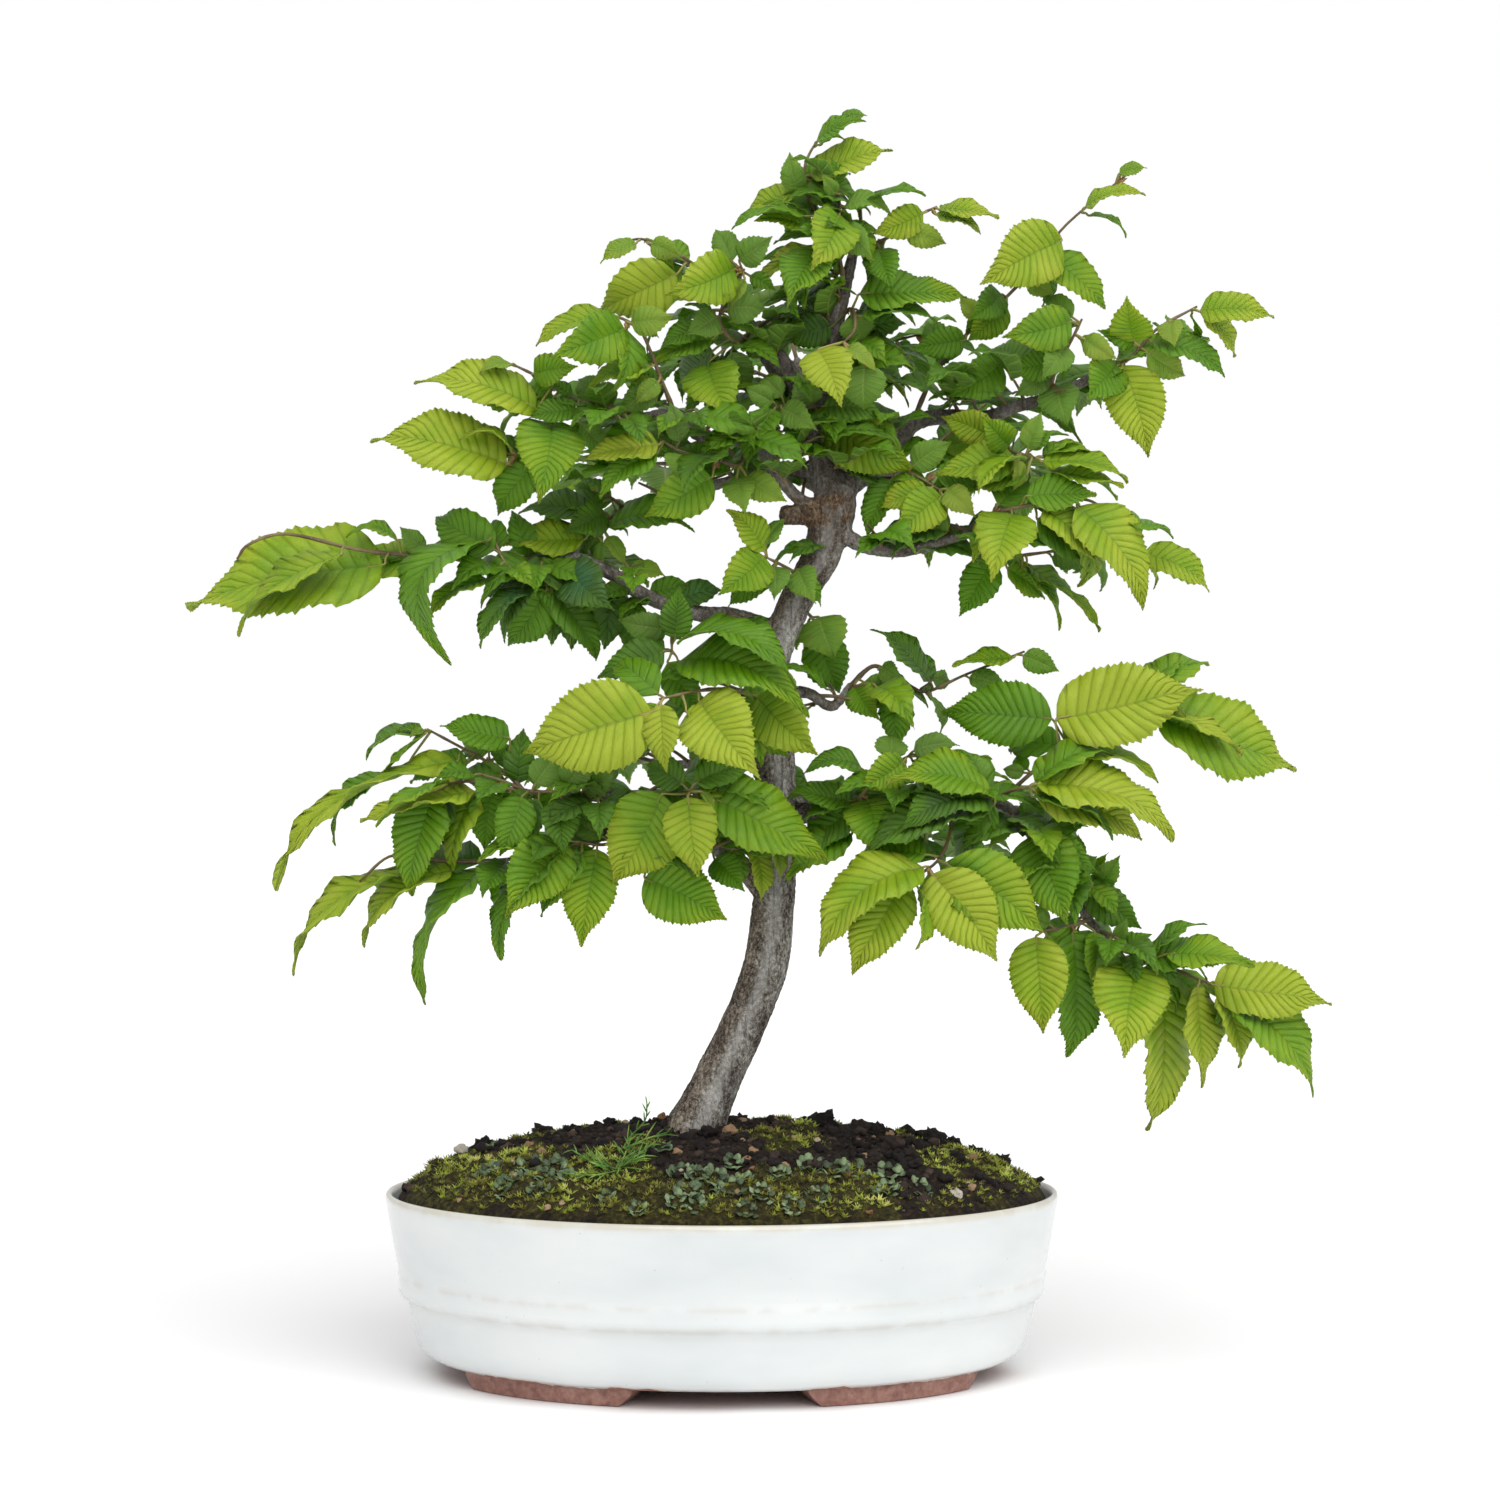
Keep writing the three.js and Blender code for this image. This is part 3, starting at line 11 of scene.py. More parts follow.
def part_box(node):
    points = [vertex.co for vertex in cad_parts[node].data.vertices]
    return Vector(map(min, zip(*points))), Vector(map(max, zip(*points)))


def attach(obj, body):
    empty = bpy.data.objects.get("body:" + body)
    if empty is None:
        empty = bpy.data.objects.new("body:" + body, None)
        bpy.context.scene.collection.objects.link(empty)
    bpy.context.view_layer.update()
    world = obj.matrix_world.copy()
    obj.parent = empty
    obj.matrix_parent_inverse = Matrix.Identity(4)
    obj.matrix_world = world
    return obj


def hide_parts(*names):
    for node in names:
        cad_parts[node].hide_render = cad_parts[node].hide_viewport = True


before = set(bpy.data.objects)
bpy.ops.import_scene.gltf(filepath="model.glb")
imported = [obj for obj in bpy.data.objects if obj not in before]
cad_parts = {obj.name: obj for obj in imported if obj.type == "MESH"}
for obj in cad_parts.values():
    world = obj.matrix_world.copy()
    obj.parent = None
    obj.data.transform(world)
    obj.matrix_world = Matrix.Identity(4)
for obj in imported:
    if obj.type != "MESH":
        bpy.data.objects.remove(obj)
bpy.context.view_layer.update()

# Sizes are in millimetres and become metres where a mesh is made. The tree was drawn as it is seen:
# [across, up, depth], where a point would meet the trunk's plane, and how far it lies behind that.
MM = 0.001
VIEW_ACROSS, VIEW_UP, VIEW_DISTANCE = 11.2, 247.6, 1294
VIEW_WIDTH = 600
POT_BOX = [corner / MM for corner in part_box("pot")]
SHIFT = Vector(((POT_BOX[0].x + POT_BOX[1].x) / 2, (POT_BOX[0].y + POT_BOX[1].y) / 2, 0))

# Pot: how much less its half-depths are than its half-widths, and the least share of them that they are;
# then half-widths and heights of its outline, from the middle of the underside up and down inside again
POT_OFFSET, POT_SLIMMEST = 33, 0.6
POT_PROFILE = [
    (40, 6), (108, 6), (111.5, 6.3), (115.5, 7.1), (118.6, 8.9), (120.6, 11.6), (122, 15), (123.6, 21),
    (125.0, 27), (125.6, 29.6), (127, 31), (128.4, 31.9), (129, 33.2), (129.1, 35), (129.2, 38),
    (129.6, 39.8), (129.3, 40.9), (129.5, 42.6), (130.6, 48), (132, 55), (133.3, 62), (134, 66.5),
    (134.5, 68.8), (134.7, 70.2), (134.3, 71.3), (133.5, 71.9), (132.6, 72), (131.7, 71.7), (131.1, 71),
    (130.8, 69.5), (130, 66), (126, 46), (120.5, 20), (118, 15), (110, 12), (40, 12),
]
# Heights where the glaze is thin: on the rim and on two edges of the wall; and the glaze's lower edge
POT_RIM, POT_RIDGE, POT_GROOVE, GLAZE_EDGE = 71, 39.8, 31.5, 7.4
# Feet: from and to these half-widths and degrees round the oval, mirrored to its four sides; how much
# shorter and slimmer they are at the ground, and their rounded edges
FOOT_IN, FOOT_OUT, FOOT_FROM, FOOT_TO, FOOT_TOP = 98, 113, 28, 73, 7
FOOT_SLANT, FOOT_PINCH, FOOT_BEVEL = 0.09, 0.7, 0.7
# Drain holes: how far from the middle, their radius, and the length and middle height of the tool
DRAIN_X, DRAIN_RADIUS, DRAIN_CUT, DRAIN_MIDDLE = 52, 8, 30, 9

# Soil: an oval dome over the pot's rim, and the half-widths and heights of its sides down in the pot
SOIL_EDGE, SOIL_CROWN, SOIL_LUMP = 69.5, 27, 1.6
SOIL_REACH, SOIL_DEEP = 129, 96
SOIL_SIDES = [(128.2, 60), (119.5, 20), (109.5, 12.6)]
SOIL_SIDE_OFFSET = 35
TRUNK_FOOT = (-10, 0)

# Leaves, as they stand in the model: shares of their length, how they hang by their width, their bends, and
# how those behind the trunk are set along their stems
LEAF_RATIO, LEAF_FULL, LEAF_FOLD, LEAF_BOW, LEAF_STALK = 0.56, 0.62, 0.16, 0.09, 2.2
STEM_BARE_ROOT, STEM_BARE_TIP = 0.45, 0.12
HANG_CLEAR, HANG_BY_BEND, HANG_FORWARD, HANG_MOST, HANG_OUTWARD = 2.4, 0.12, 0.12, 0.8, 0.3
BROADEST_TIMES, BROADEST_PLUS = 2.2, 6
BENDS = [0, 5, -5, 10, -10, 15, -15, 20, -20, 26, -26, 32, -32, 40]
BACK_SEED, BACK_LEAVES, BACK_FROM, BACK_RUN, BACK_STALK = 41, 5, 0.3, 0.65, 4
BACK_SHORTEST, BACK_LONGEST = 30, 42
BACK_SPLAY, BACK_SWAY, BACK_LAST_SPLAY = 58, 14, 6
BACK_DROOP, BACK_LEAST_DROOP, BACK_MORE_DROOP = 0.35, 0.6, 0.8

# Limbs: [across, up, depth, radius] along each of them
WOOD = {
    "trunk": [(-13, 52, 0, 9), (-12.5, 78, 0, 13.5), (-11, 94, 0, 12.6), (-6.5, 105, 0, 10.3),
        (2, 124, 0, 9.2), (10, 141, 0, 9), (17.2, 161, 0, 8.9), (20.4, 182, 0, 8.5), (21.8, 203, 0, 8.1),
        (22.6, 235, 0, 7.2), (21, 262, 0, 6.5), (20.5, 280, 0, 6.1), (24.5, 295, 0, 6.5), (31, 310, 0, 6.7),
        (40, 326, 0, 7.5), (45, 345, 0, 8.8), (47, 354, 0, 6)],
    "leader": [(45, 345, 0, 7.5), (41, 362, 3, 6), (38, 378, 5, 5), (39, 392, 4, 4.2), (44, 412, 2, 3.5),
        (48, 428, 0, 2.9), (51, 440, 0, 2.3), (54, 452, 0, 1.8), (56, 459, 0, 1.6)],
    "leader_left": [(39, 374, 5, 4.4), (31, 389, 6, 5), (21, 404, 4, 5.2), (14, 413, 2, 3.4),
        (8, 421, -2, 2.4), (0, 427, -6, 1.6)],
    "stub_left": [(45, 343, 0, 5), (34, 341.5, -3, 4.2), (24, 341.5, -5, 3.9)],
    "branch_left_top": [(42, 347, -3, 3), (34, 346, -6, 2.8), (25, 354, -9, 2.5), (18, 365, -12, 2.3),
        (11, 371, -14, 2.1), (0, 371, -16, 2), (-10, 373, -17, 1.9), (-20, 382, -18, 1.7),
        (-36, 381, -19, 1.5), (-52, 382, -20, 1.3)],
    "branch_left_inner": [(43, 356, 3, 3.3), (25, 360, 8, 2.8), (10, 357, 11, 2.5), (-8, 352, 12, 2.2),
        (-26, 346, 10, 1.9), (-42, 343, 7, 1.6)],
    "branch_right_top": [(46, 350, 0, 5.5), (60, 361, 4, 4.4), (70, 371, 8, 3.9), (78, 379, 10, 3.4),
        (92, 381, 10, 3), (106, 381, 9, 2.8), (118, 385, 7, 2.5), (132, 389, 5, 2.3), (147, 396, 4, 2),
        (161, 402.5, 2, 1.6)],
    "branch_right_low": [(43, 338, 0, 4), (55, 330, -3, 3), (68, 327, -5, 2.6), (80, 328.5, -6, 2.2),
        (92, 332, -8, 1.9), (103, 335, -9, 1.6)],
    "branch_left_mid": [(24, 294, 0, 4.6), (5, 301, -3, 3.5), (-8, 302, -6, 3.3), (-20, 305, -9, 3.1),
        (-32, 310, -11, 3), (-46, 319, -13, 2.8), (-62, 325, -14, 2.5), (-76, 322, -15, 2.2),
        (-98, 322, -16, 1.6)],
    "branch_left_low": [(18, 190, 0, 5), (8, 201, -5, 4), (-2, 209, -10, 3.6), (-13, 219, -15, 3.2),
        (-28, 228, -18, 2.8), (-46, 229, -20, 2.4), (-64, 229, -22, 2.1), (-82, 231, -22, 1.6)],
    "branch_left_low_outer": [(-26, 227, -18, 2.4), (-42, 216, -20, 2.2), (-58, 210, -22, 2),
        (-72, 207, -22, 1.6)],
    "branch_right_main": [(23, 222, 0, 5), (45, 223, -8, 3.7), (70, 226, -14, 3.2), (95, 228, -16, 2.8),
        (112, 226, -16, 2.4), (126, 212, -14, 2.1), (137, 195, -12, 2), (148, 178, -12, 1.8),
        (158, 168, -13, 1.6)],
    "branch_right_thin": [(21, 270, 0, 3.4), (34, 270.5, 2, 2.4), (44, 265, 5, 2), (52, 274, 8, 1.6)],
    "branch_front": [(21, 262, 0, 3.2), (14, 268, -14, 2.4), (6, 271, -28, 1.9)],
    "branch_back_left": [(22, 240, 2, 3.6), (8, 243, 28, 2.8), (-8, 242, 52, 2.3), (-26, 242, 76, 1.7)],
    "branch_back_right": [(24, 226, 2, 3.6), (40, 228, 30, 2.8), (58, 230, 56, 2.3), (78, 230, 80, 1.7)],
    "branch_back_left_high": [(44, 350, 3, 3.4), (26, 359, 30, 2.6), (6, 362, 54, 2.2),
        (-14, 362, 76, 1.7)],
    "branch_back_right_high": [(47, 349, 3, 3.4), (60, 357, 30, 2.6), (77, 361, 56, 2.2),
        (95, 363, 80, 1.7)],
    "branch_back_top": [(39, 374, 5, 3), (35, 386, 30, 2.4), (31, 397, 54, 2), (30, 404, 74, 1.6)],
}

# Shoots that the photo shows: [across, up, depth] along the stem, then the leaves, each with the seen place
# of its base and tip, its width and paleness and, where they aren't the usual ones, its bow and how far its
# tip lies behind its base
SHOOTS = {
    "left_tip": (
        [(-96, 322, -16), (-112, 325, -18), (-130, 326, -20), (-147, 328, -27), (-174, 334, -35),
         (-189, 330, -37), (-194, 324, -37)],
        [(-134, 322, -215, 306, 36, 0.85, 0.03, 8), (-152, 326, -197, 298, 12, 0.75, 0.05, 24),
         (-128, 331, -150, 335, 4, 0.8, 0.15), (-120, 325, -150, 320, 15, 0.7, 0.03, 12),
         (-118, 326, -129, 337, 8, 0.3)]),
    "left_curl": (
        [(-62, 325, -14), (-68, 318, -23), (-78, 316, -28), (-87, 323, -30), (-92, 334, -30)],
        [(-92, 335, -112, 283, 12, 0.6, 0.42), (-88, 326, -116, 342, 18, 0.4, 0.1, 14),
         (-94, 316, -119, 302, 6, 0.8), (-62, 320, -44, 304, 20, 0.05), (-75, 316, -88, 291, 11, 0.2, 0.2),
         (-70, 312, -86, 289, 18, 0.35, 0.09, 10), (-80, 312, -98, 290, 9, 0.15, 0.09, 6),
         (-68, 311, -48, 284, 15, 0.2, 0.09, 10)]),
    "left_upper": (
        [(-50, 382, -20), (-66, 381, -24), (-76, 373, -28), (-84, 364, -30)],
        [(-82, 361, -140, 374.5, 25, 0.9, 0.05), (-68, 379, -73, 349, 27, 0.6),
         (-72, 364, -91, 341, 15, 0.6, 0.09, 10), (-84, 367, -104, 374, 4, 0.8, 0.25),
         (-58, 380, -46, 368, 10, 0.3, 0.09, 10)]),
    "left_inner": (
        [(-38, 343.5, 7), (-46, 340, -2), (-52, 336, -8)],
        [(-55, 332, -88, 332, 14, 0.85, 0.02), (-46, 333, -39, 321, 7, 0.85), (-48, 331, -48, 319, 5, 0.6),
         (-46, 337, -11, 336, 12, 0.5, 0.2), (-46, 343, -63, 335, 14, 0.3),
         (-52, 342, -82, 344, 12, 0.3, 0.05, 12), (-44, 347, -60, 354, 12, 0.25, 0.09, 10),
         (-37, 320, -22, 317.5, 7, 0.75, 0.15)]),
    "left_inner_top": (
        [(9, 371, -14), (7, 362, -22), (-4, 364, -28), (-16, 367, -33), (-25, 372, -35)],
        [(-24, 370, -56, 365, 12, 0.9, 0.02), (-26, 366, -50, 350, 12, 0.5), (-17, 371, -21, 387, 9, 0.25),
         (-4, 357, -31, 341, 19, 0.7), (7, 360, -16, 355, 7, 0.3, 0.15), (10, 357, 26, 347, 12, 0.75),
         (6, 356, 9, 343, 13, 0.75), (-10, 380, -18, 357, 15, 0.6), (0, 366, -16, 352, 8, 0.1, 0.12, 8)]),
    "trunk_left": (
        [(33, 316, -4), (25, 321, -14), (17, 325, -18)],
        [(18, 326, -1, 310, 18, 0.8), (17, 327, 2, 344, 11, 0.8), (30, 321, 37, 307, 13, 0.5),
         (16, 328, 25, 340, 7, 0.5), (21, 321, 21, 308, 12, 0.35), (20, 318, 2, 305, 12, 0.5, 0.09, 8)]),
    "upper_left_outer": (
        [(-34, 381, -19), (-50, 386, -24), (-60, 388, -26), (-72, 396, -27), (-84, 402, -26)],
        [(-74, 384, -123, 395.5, 19, 0.85, 0.14), (-70, 384, -100, 390, 10, 0.75, 0.03, 8),
         (-76, 398, -58, 401, 13, 0.7), (-84, 402, -97, 399, 4, 0.8),
         (-48, 386, -58, 396, 11, 0.5, 0.09, 10), (-42, 383, -50, 394, 10, 0.3, 0.09, 10),
         (-58, 384, -78, 381, 10, 0.4, 0.05, 10)]),
    "upper_left_mid": (
        [(-18, 380, -18), (-24, 395, -26), (-29, 408, -30), (-34, 417, -32), (-47, 423, -32)],
        [(-44, 422, -75, 411, 9, 0.8), (-39, 416, -68, 405, 20, 0.75), (-39, 418, -19, 421, 12, 0.7),
         (-28, 401, -54, 394, 8, 0.8), (-22, 398, -35, 386, 8, 0.75),
         (-24, 394, -42, 383, 11, 0.2, 0.09, 8)]),
    "upper_left_top": (
        [(2, 426, -5), (-6, 437, -17), (-16, 445, -24), (-24, 449, -25), (-34, 452, -24), (-46, 447, -24)],
        [(-33, 451, -49, 443, 7, 0.8), (-30, 451, -16, 445, 9, 0.85),
         (-18, 438, -50, 423, 23, 0.85, 0.09, 8), (-12, 441, -31, 452, 6, 0.5, 0.09, 10)]),
    "upper_left_core": (
        [(12, 415, 2), (5, 411, -9), (-1, 420, -15), (4, 432, -21), (9, 440, -24)],
        [(5, 440, -22, 430, 21, 0.8), (9, 440, -9, 427, 8, 0.75), (11, 440, 4, 425, 6, 0.8),
         (6, 443, 20, 453, 12, 0.5), (4, 443, -3, 456, 11, 0.45, 0.09, 8), (-7, 417, -26, 408, 9, 0.4),
         (-4, 412, -28, 402, 10, 0.6), (-6, 402, 3, 381, 23, 0.6), (-3, 408, -17, 392, 14, 0.3, 0.09, 10),
         (3, 408, 10, 390, 13, 0.2, 0.09, 12), (-4, 424, 18, 424, 13, 0.4),
         (8, 413, 21, 407, 13, 0.05, 0.09, -4), (-2, 421, -14, 414, 12, 0.4, 0.09, 12)]),
    "apex_tip": (
        [(50, 436, 0), (43, 450, -5), (37, 463, -7), (33, 477, -8), (36, 488, -8), (47, 501, -8)],
        [(45, 500, 58, 502, 5, 0.6), (36, 490, 57, 500, 7, 0.6), (34, 477, 68, 488.5, 11, 0.85, 0.05),
         (35, 475, 52, 479, 8, 0.7), (31, 468, 27, 487, 10, 0.75), (33, 472, 8, 463, 10, 0.8, 0.05),
         (35, 471, 46, 466, 8, 0.7), (37, 465, 25, 452, 11, 0.5, 0.09, 8)]),
    "apex_front": (
        [(49, 432, 0), (47, 446, -12), (47, 458, -16), (47, 472, -15)],
        [(49, 465, 68, 463, 7, 0.7, 0.25), (47, 462, 36, 440, 20, 0.85), (33, 457, 13, 460, 8, 0.8),
         (33, 461, 4, 459, 4, 0.5), (42, 446, 12, 434, 9, 0.85), (41, 448, 26, 427, 17, 0.5),
         (48, 456, 60, 444, 12, 0.6), (46, 470, 40, 478, 6, 0.6)]),
    "apex_right": (
        [(54, 450, 0), (60, 450, -5), (67, 453, -9), (78, 461, -12), (86, 465, -12)],
        [(82, 463, 60, 454, 13, 0.8, 0.05), (72, 455, 90, 450, 10, 0.8), (85, 464, 111, 461, 6, 0.8, 0.05),
         (85, 462, 104, 456, 6, 0.8, 0.05), (63, 448, 68, 432, 14, 0.5),
         (66, 451, 58, 438, 10, 0.5, 0.09, 10)]),
    "apex_low": (
        [(46, 420, 2), (52, 424, -6), (53, 416, -17), (48, 410, -26)],
        [(55, 430, 98, 430, 16, 0.5, 0.05), (56, 421, 86, 422, 7, 0.4, 0.05), (51, 424, 56, 410, 14, 0.6),
         (44, 417, 24, 411, 14, 0.3, 0.09, 6), (38, 409, 47, 386, 20, 0.95),
         (49, 409, 62, 399, 7, 0.9, 0.15), (57, 402, 57, 383, 18, 0.4, 0.09, 6)]),
    "centre_dark": (
        [(39, 376, 3), (38, 384, -10), (30, 386, -15), (21, 385, -16)],
        [(21, 384, 9, 361, 13, 0.65, 0.05), (40, 380, 78, 359, 24, 0.75, 0.06), (24, 384, 37, 376, 12, 0.6),
         (25, 388, 16, 397, 9, 0.5, 0.09, 6), (36, 386, 30, 399, 12, 0.3), (22, 386, 9, 393, 9, 0.4),
         (40, 385, 66, 381, 13, 0.4, 0.05, 6)]),
    "upper_right_long": (
        [(75, 376, 9), (85, 398, 7), (98, 414, 4), (112, 427, 0), (126, 442, -4), (138, 458, -8),
         (166, 481, -10)],
        [(137, 452, 104, 434, 26, 0.85, 0.02), (128, 447, 154, 425, 14, 0.65, 0.05),
         (120, 437, 133, 430, 9, 0.8), (155, 477, 170, 481, 5, 0.8), (143, 464, 169, 471, 6, 0.8, 0.12),
         (112, 430, 99, 420, 13, 0.4), (104, 420, 95, 429, 8, 0.85), (90, 405, 82, 420, 12, 0.45, 0.09, 8),
         (116, 427, 98, 411, 13, 0.6, 0.09, 10), (100, 412, 76, 408, 13, 0.5, 0.05, -8)]),
    "right_end": (
        [(158, 401.5, 2), (165, 406, -4), (174, 416, -6), (190, 425, -6)],
        [(191, 423, 221, 421, 13, 0.9, 0.1), (191, 424, 206, 405, 8, 0.85), (179, 420, 181, 409, 10, 0.85),
         (171, 411, 202, 399, 9, 0.5, 0.12), (168, 408, 186, 397, 12, 0.8, 0.05),
         (165, 411, 162, 428, 17, 0.7), (160, 402, 170.5, 365, 24, 0.9, 0.05),
         (158, 401, 146, 388, 18, 0.6), (176, 416, 192, 413, 9, 0.5, 0.05, 8),
         (158, 400, 148, 411, 9, 0.6, 0.09, 8)]),
    "upper_right_mid": (
        [(130, 388.5, 5), (134, 401, -1), (140, 412, -7), (144, 420, -9)],
        [(140, 419, 113, 413, 18, 0.75, 0.05), (145, 412, 158, 404, 10, 0.8), (131, 398, 117, 389, 10, 0.3),
         (136, 404, 114, 400, 13, 0.45, 0.03), (112, 402, 91, 389, 17, 0.55, 0.03),
         (134, 393, 138, 378, 17, 0.4, 0.09, -8), (142, 419, 130, 430, 10, 0.6, 0.09, 6),
         (126, 403, 104, 409, 12, 0.5, 0.05, 10), (138, 410, 128, 396, 12, 0.55, 0.09, -8)]),
    "centre_right": (
        [(64, 365, 6), (72, 360, -4), (80, 356, -11), (88, 351, -14)],
        [(89, 350, 70, 333, 17, 0.85, 0.05), (84, 352, 62, 344, 10, 0.85, 0.05),
         (68, 356, 57, 333, 13, 0.45), (94, 347, 78, 335, 14, 0.5, 0.05, 6), (90, 352, 101, 341, 11, 0.85),
         (76, 361, 92, 371, 12, 0.6), (84, 358, 108, 354, 13, 0.55, 0.05, 10)]),
    "right_mid": (
        [(105, 381, 8), (109, 374, -1), (114, 368, -11), (127, 364, -16)],
        [(118, 364, 86, 359, 15, 0.8, 0.03), (119, 364, 102, 352, 7, 0.75), (118, 364, 117, 351, 5, 0.9),
         (115, 369, 104, 381, 13, 0.7), (108, 373, 88, 381, 14, 0.85, 0.03),
         (104, 374, 86, 368, 12, 0.7, 0.03, 6), (122, 367, 128, 383, 9, 0.55),
         (128, 363, 163, 358, 9, 0.85, 0.06), (132, 359, 161, 354, 6, 0.85, 0.03),
         (122, 358, 98, 352, 10, 0.6, 0.03, 8)]),
    "right_arch": (
        [(98, 333.5, -8), (105, 341, -15), (120, 345, -20), (136, 348, -21), (148, 347, -20),
         (156, 340, -20)],
        [(116, 342, 108, 317, 24, 0.95), (142, 345, 171, 306, 22, 0.85),
         (128, 345, 152, 322, 14, 0.85, 0.05), (118, 349, 150, 350, 13, 0.6, 0.03, 10),
         (108, 344, 124, 357, 13, 0.6, 0.05, 10), (157, 340, 182, 335, 6, 0.7, 0.03),
         (126, 340, 148, 324, 15, 0.4, 0.05, 14), (108, 340, 100, 325, 10, 0.6, 0.09, 8)]),
    "right_low": (
        [(88, 331, -7), (98, 326, 4), (114, 325, 8), (132, 327, 8), (150, 329, 8), (167, 328, 6)],
        [(168, 326, 196, 313, 13, 0.9), (130, 328, 151, 323, 12, 0.4), (148, 328, 153, 311, 5, 0.5),
         (122, 321, 153, 297.5, 6, 0.65, 0.03), (120, 321, 136.5, 296.5, 6, 0.55, 0.1),
         (108, 324, 95, 301, 16, 0.5), (112, 322, 130, 308, 11, 0.65, 0.05)]),
    "behind_trunk": (
        [(27, 300, 2), (33, 303, 10), (39, 297, 14)],
        [(38, 303, 45, 284, 20, 0.65), (38, 295, 47, 270, 19, 0.45, 0.09, 10)]),
    "right_thin": (
        [(50, 272, 7), (60, 281, 7), (67, 278, 5), (74, 274, 4), (82, 271, 2), (98, 278, -3),
         (121, 287, -6)],
        [(120, 285, 92, 282, 8, 0.7, 0.03), (119, 286, 135, 279, 10, 0.65, 0.05),
         (97, 277, 115, 272, 9, 0.3), (82, 272, 88, 253, 4, 0.3, 0.15), (83, 275, 62, 298, 8, 0.25, 0.05),
         (81, 276, 91, 275, 8, 0.25), (63, 281, 72, 275, 9, 0.45), (54, 276, 74, 267, 12, 0.5),
         (53, 273, 63, 260, 13, 0.55), (69, 272, 69, 246, 14, 0.5)]),
    "front_centre": (
        [(9, 270, -23), (0, 272, -38), (-11, 271, -50), (-25, 268, -60)],
        [(-24.5, 266, -23, 238.5, 14, 0.95), (-28, 263, -80.5, 246, 35, 0.85, 0.04, 4),
         (-9, 267, 14, 237, 29, 0.9), (-15, 265, -9, 247, 5, 0.9, 0.2), (14, 269, 38, 246, 22, 0.85, 0.05),
         (9, 266, 27, 244, 16, 0.6, 0.09, 6)]),
    "front_upper": (
        [(-18, 305, -9), (-20, 296, -22), (-20, 286, -30)],
        [(-17, 283, 35, 263, 25, 0.65, 0.2), (-16, 292, 30, 277, 15, 0.4, 0.18),
         (-19, 290, -17, 313, 13, 0.35), (-23, 287, -50, 277, 15, 0.3), (-22, 296, -42, 300, 12, 0.25),
         (-22, 283, -8, 262, 14, 0.5, 0.09, 6)]),
    "low_left_front": (
        [(-12, 218, -15), (-13, 226, -34), (-13, 232, -48)],
        [(-14, 231, -9.5, 196.5, 21, 0.95), (-24, 230, -44, 194, 30, 0.65, 0.05, 6),
         (-5, 229, 43, 204, 26, 0.7, 0.05, 4), (-8, 231, -3, 223, 4, 0.9),
         (-12, 234, 12, 242, 12, 0.4, 0.05, 12), (-14, 233, -31, 242, 13, 0.3, 0.05, 12)]),
    "low_left_under": (
        [(2, 205, -8), (5, 211, -18), (-7, 208, -24), (-19, 205, -30), (-31, 203, -31)],
        [(-36, 199, 2, 179.5, 25, 0.65, 0.04), (-3, 204, 9, 191, 13, 0.4), (13, 209, 16, 187, 9, 0.8),
         (21, 209, 23, 195, 6, 0.8)]),
    "low_left_mid": (
        [(-40, 217, -20), (-46, 210, -28), (-58, 211, -32)],
        [(-50, 208, -57, 169, 21, 0.85, 0.03), (-64, 211, -86, 182, 25, 0.65, 0.05),
         (-56, 207, -73, 181, 14, 0.5, 0.09, 6), (-64, 207, -91, 165, 8, 0.3, 0.15),
         (-46, 212, -62, 222, 10, 0.4, 0.09, 8)]),
    "low_left_blue": (
        [(-52, 229, -21), (-60, 231, -30), (-68, 231, -34), (-79, 231, -34)],
        [(-64, 228, -63, 206, 15, 0.3), (-80, 229, -89, 205, 16, 0.55),
         (-73, 229, -80, 206, 12, 0.25, 0.09, 6), (-56, 231, -42, 241, 12, 0.3),
         (-64, 233, -50, 243, 12, 0.25, 0.09, 6), (-76, 232, -66, 246, 12, 0.25, 0.09, 6)]),
    "low_left_upper": (
        [(-78, 230, -22), (-86, 238, -18), (-94, 243, -16), (-105, 249, -14), (-118, 256, -14)],
        [(-76, 250, -112.5, 258.5, 14, 0.45, 0.04), (-118, 256, -125, 253, 2.5, 0.8),
         (-118, 255, -137, 237, 2, 0.6, 0.02), (-106, 243, -183.5, 199, 5, 0.8, 0.12),
         (-100, 243, -126, 236, 11, 0.6, 0.04), (-90, 246, -104, 251, 11, 0.4, 0.05, 10),
         (-84, 238, -104, 238, 11, 0.55, 0.04, 8), (-128, 238, -158.5, 213, 5, 0.6, 0.16, 8)]),
    "low_left_bright": (
        [(-80, 231, -22), (-91, 233, -26), (-101, 235, -28), (-110, 234, -28)],
        [(-98, 231, -145, 220, 9, 0.95, 0.04), (-110, 235, -139, 218, 5, 0.7, 0.05),
         (-115, 230, -126.5, 190, 19, 0.5), (-107, 230, -118, 204, 13, 0.4, 0.05, 4),
         (-92, 231, -95, 207, 15, 0.6), (-104, 231, -106, 214, 11, 0.25, 0.05, 4),
         (-84, 230, -82, 210, 12, 0.25, 0.09, 6)]),
    "low_left_bottom": (
        [(-68, 208, -22), (-84, 204, -22), (-103, 203, -22), (-120, 204, -22), (-133, 205, -22),
         (-145, 195, -22)],
        [(-120, 200, -175.5, 162, 5.5, 0.85, 0.13, 6), (-107, 200, -145.5, 171, 7, 0.8, 0.14, 4),
         (-93, 202, -123, 148, 11, 0.5, 0.14), (-86, 203, -96, 189, 13, 0.4)]),
    "low_right_top": (
        [(112, 227, -16), (121, 236, -20), (135, 247, -22), (148, 255, -22), (168, 270, -22)],
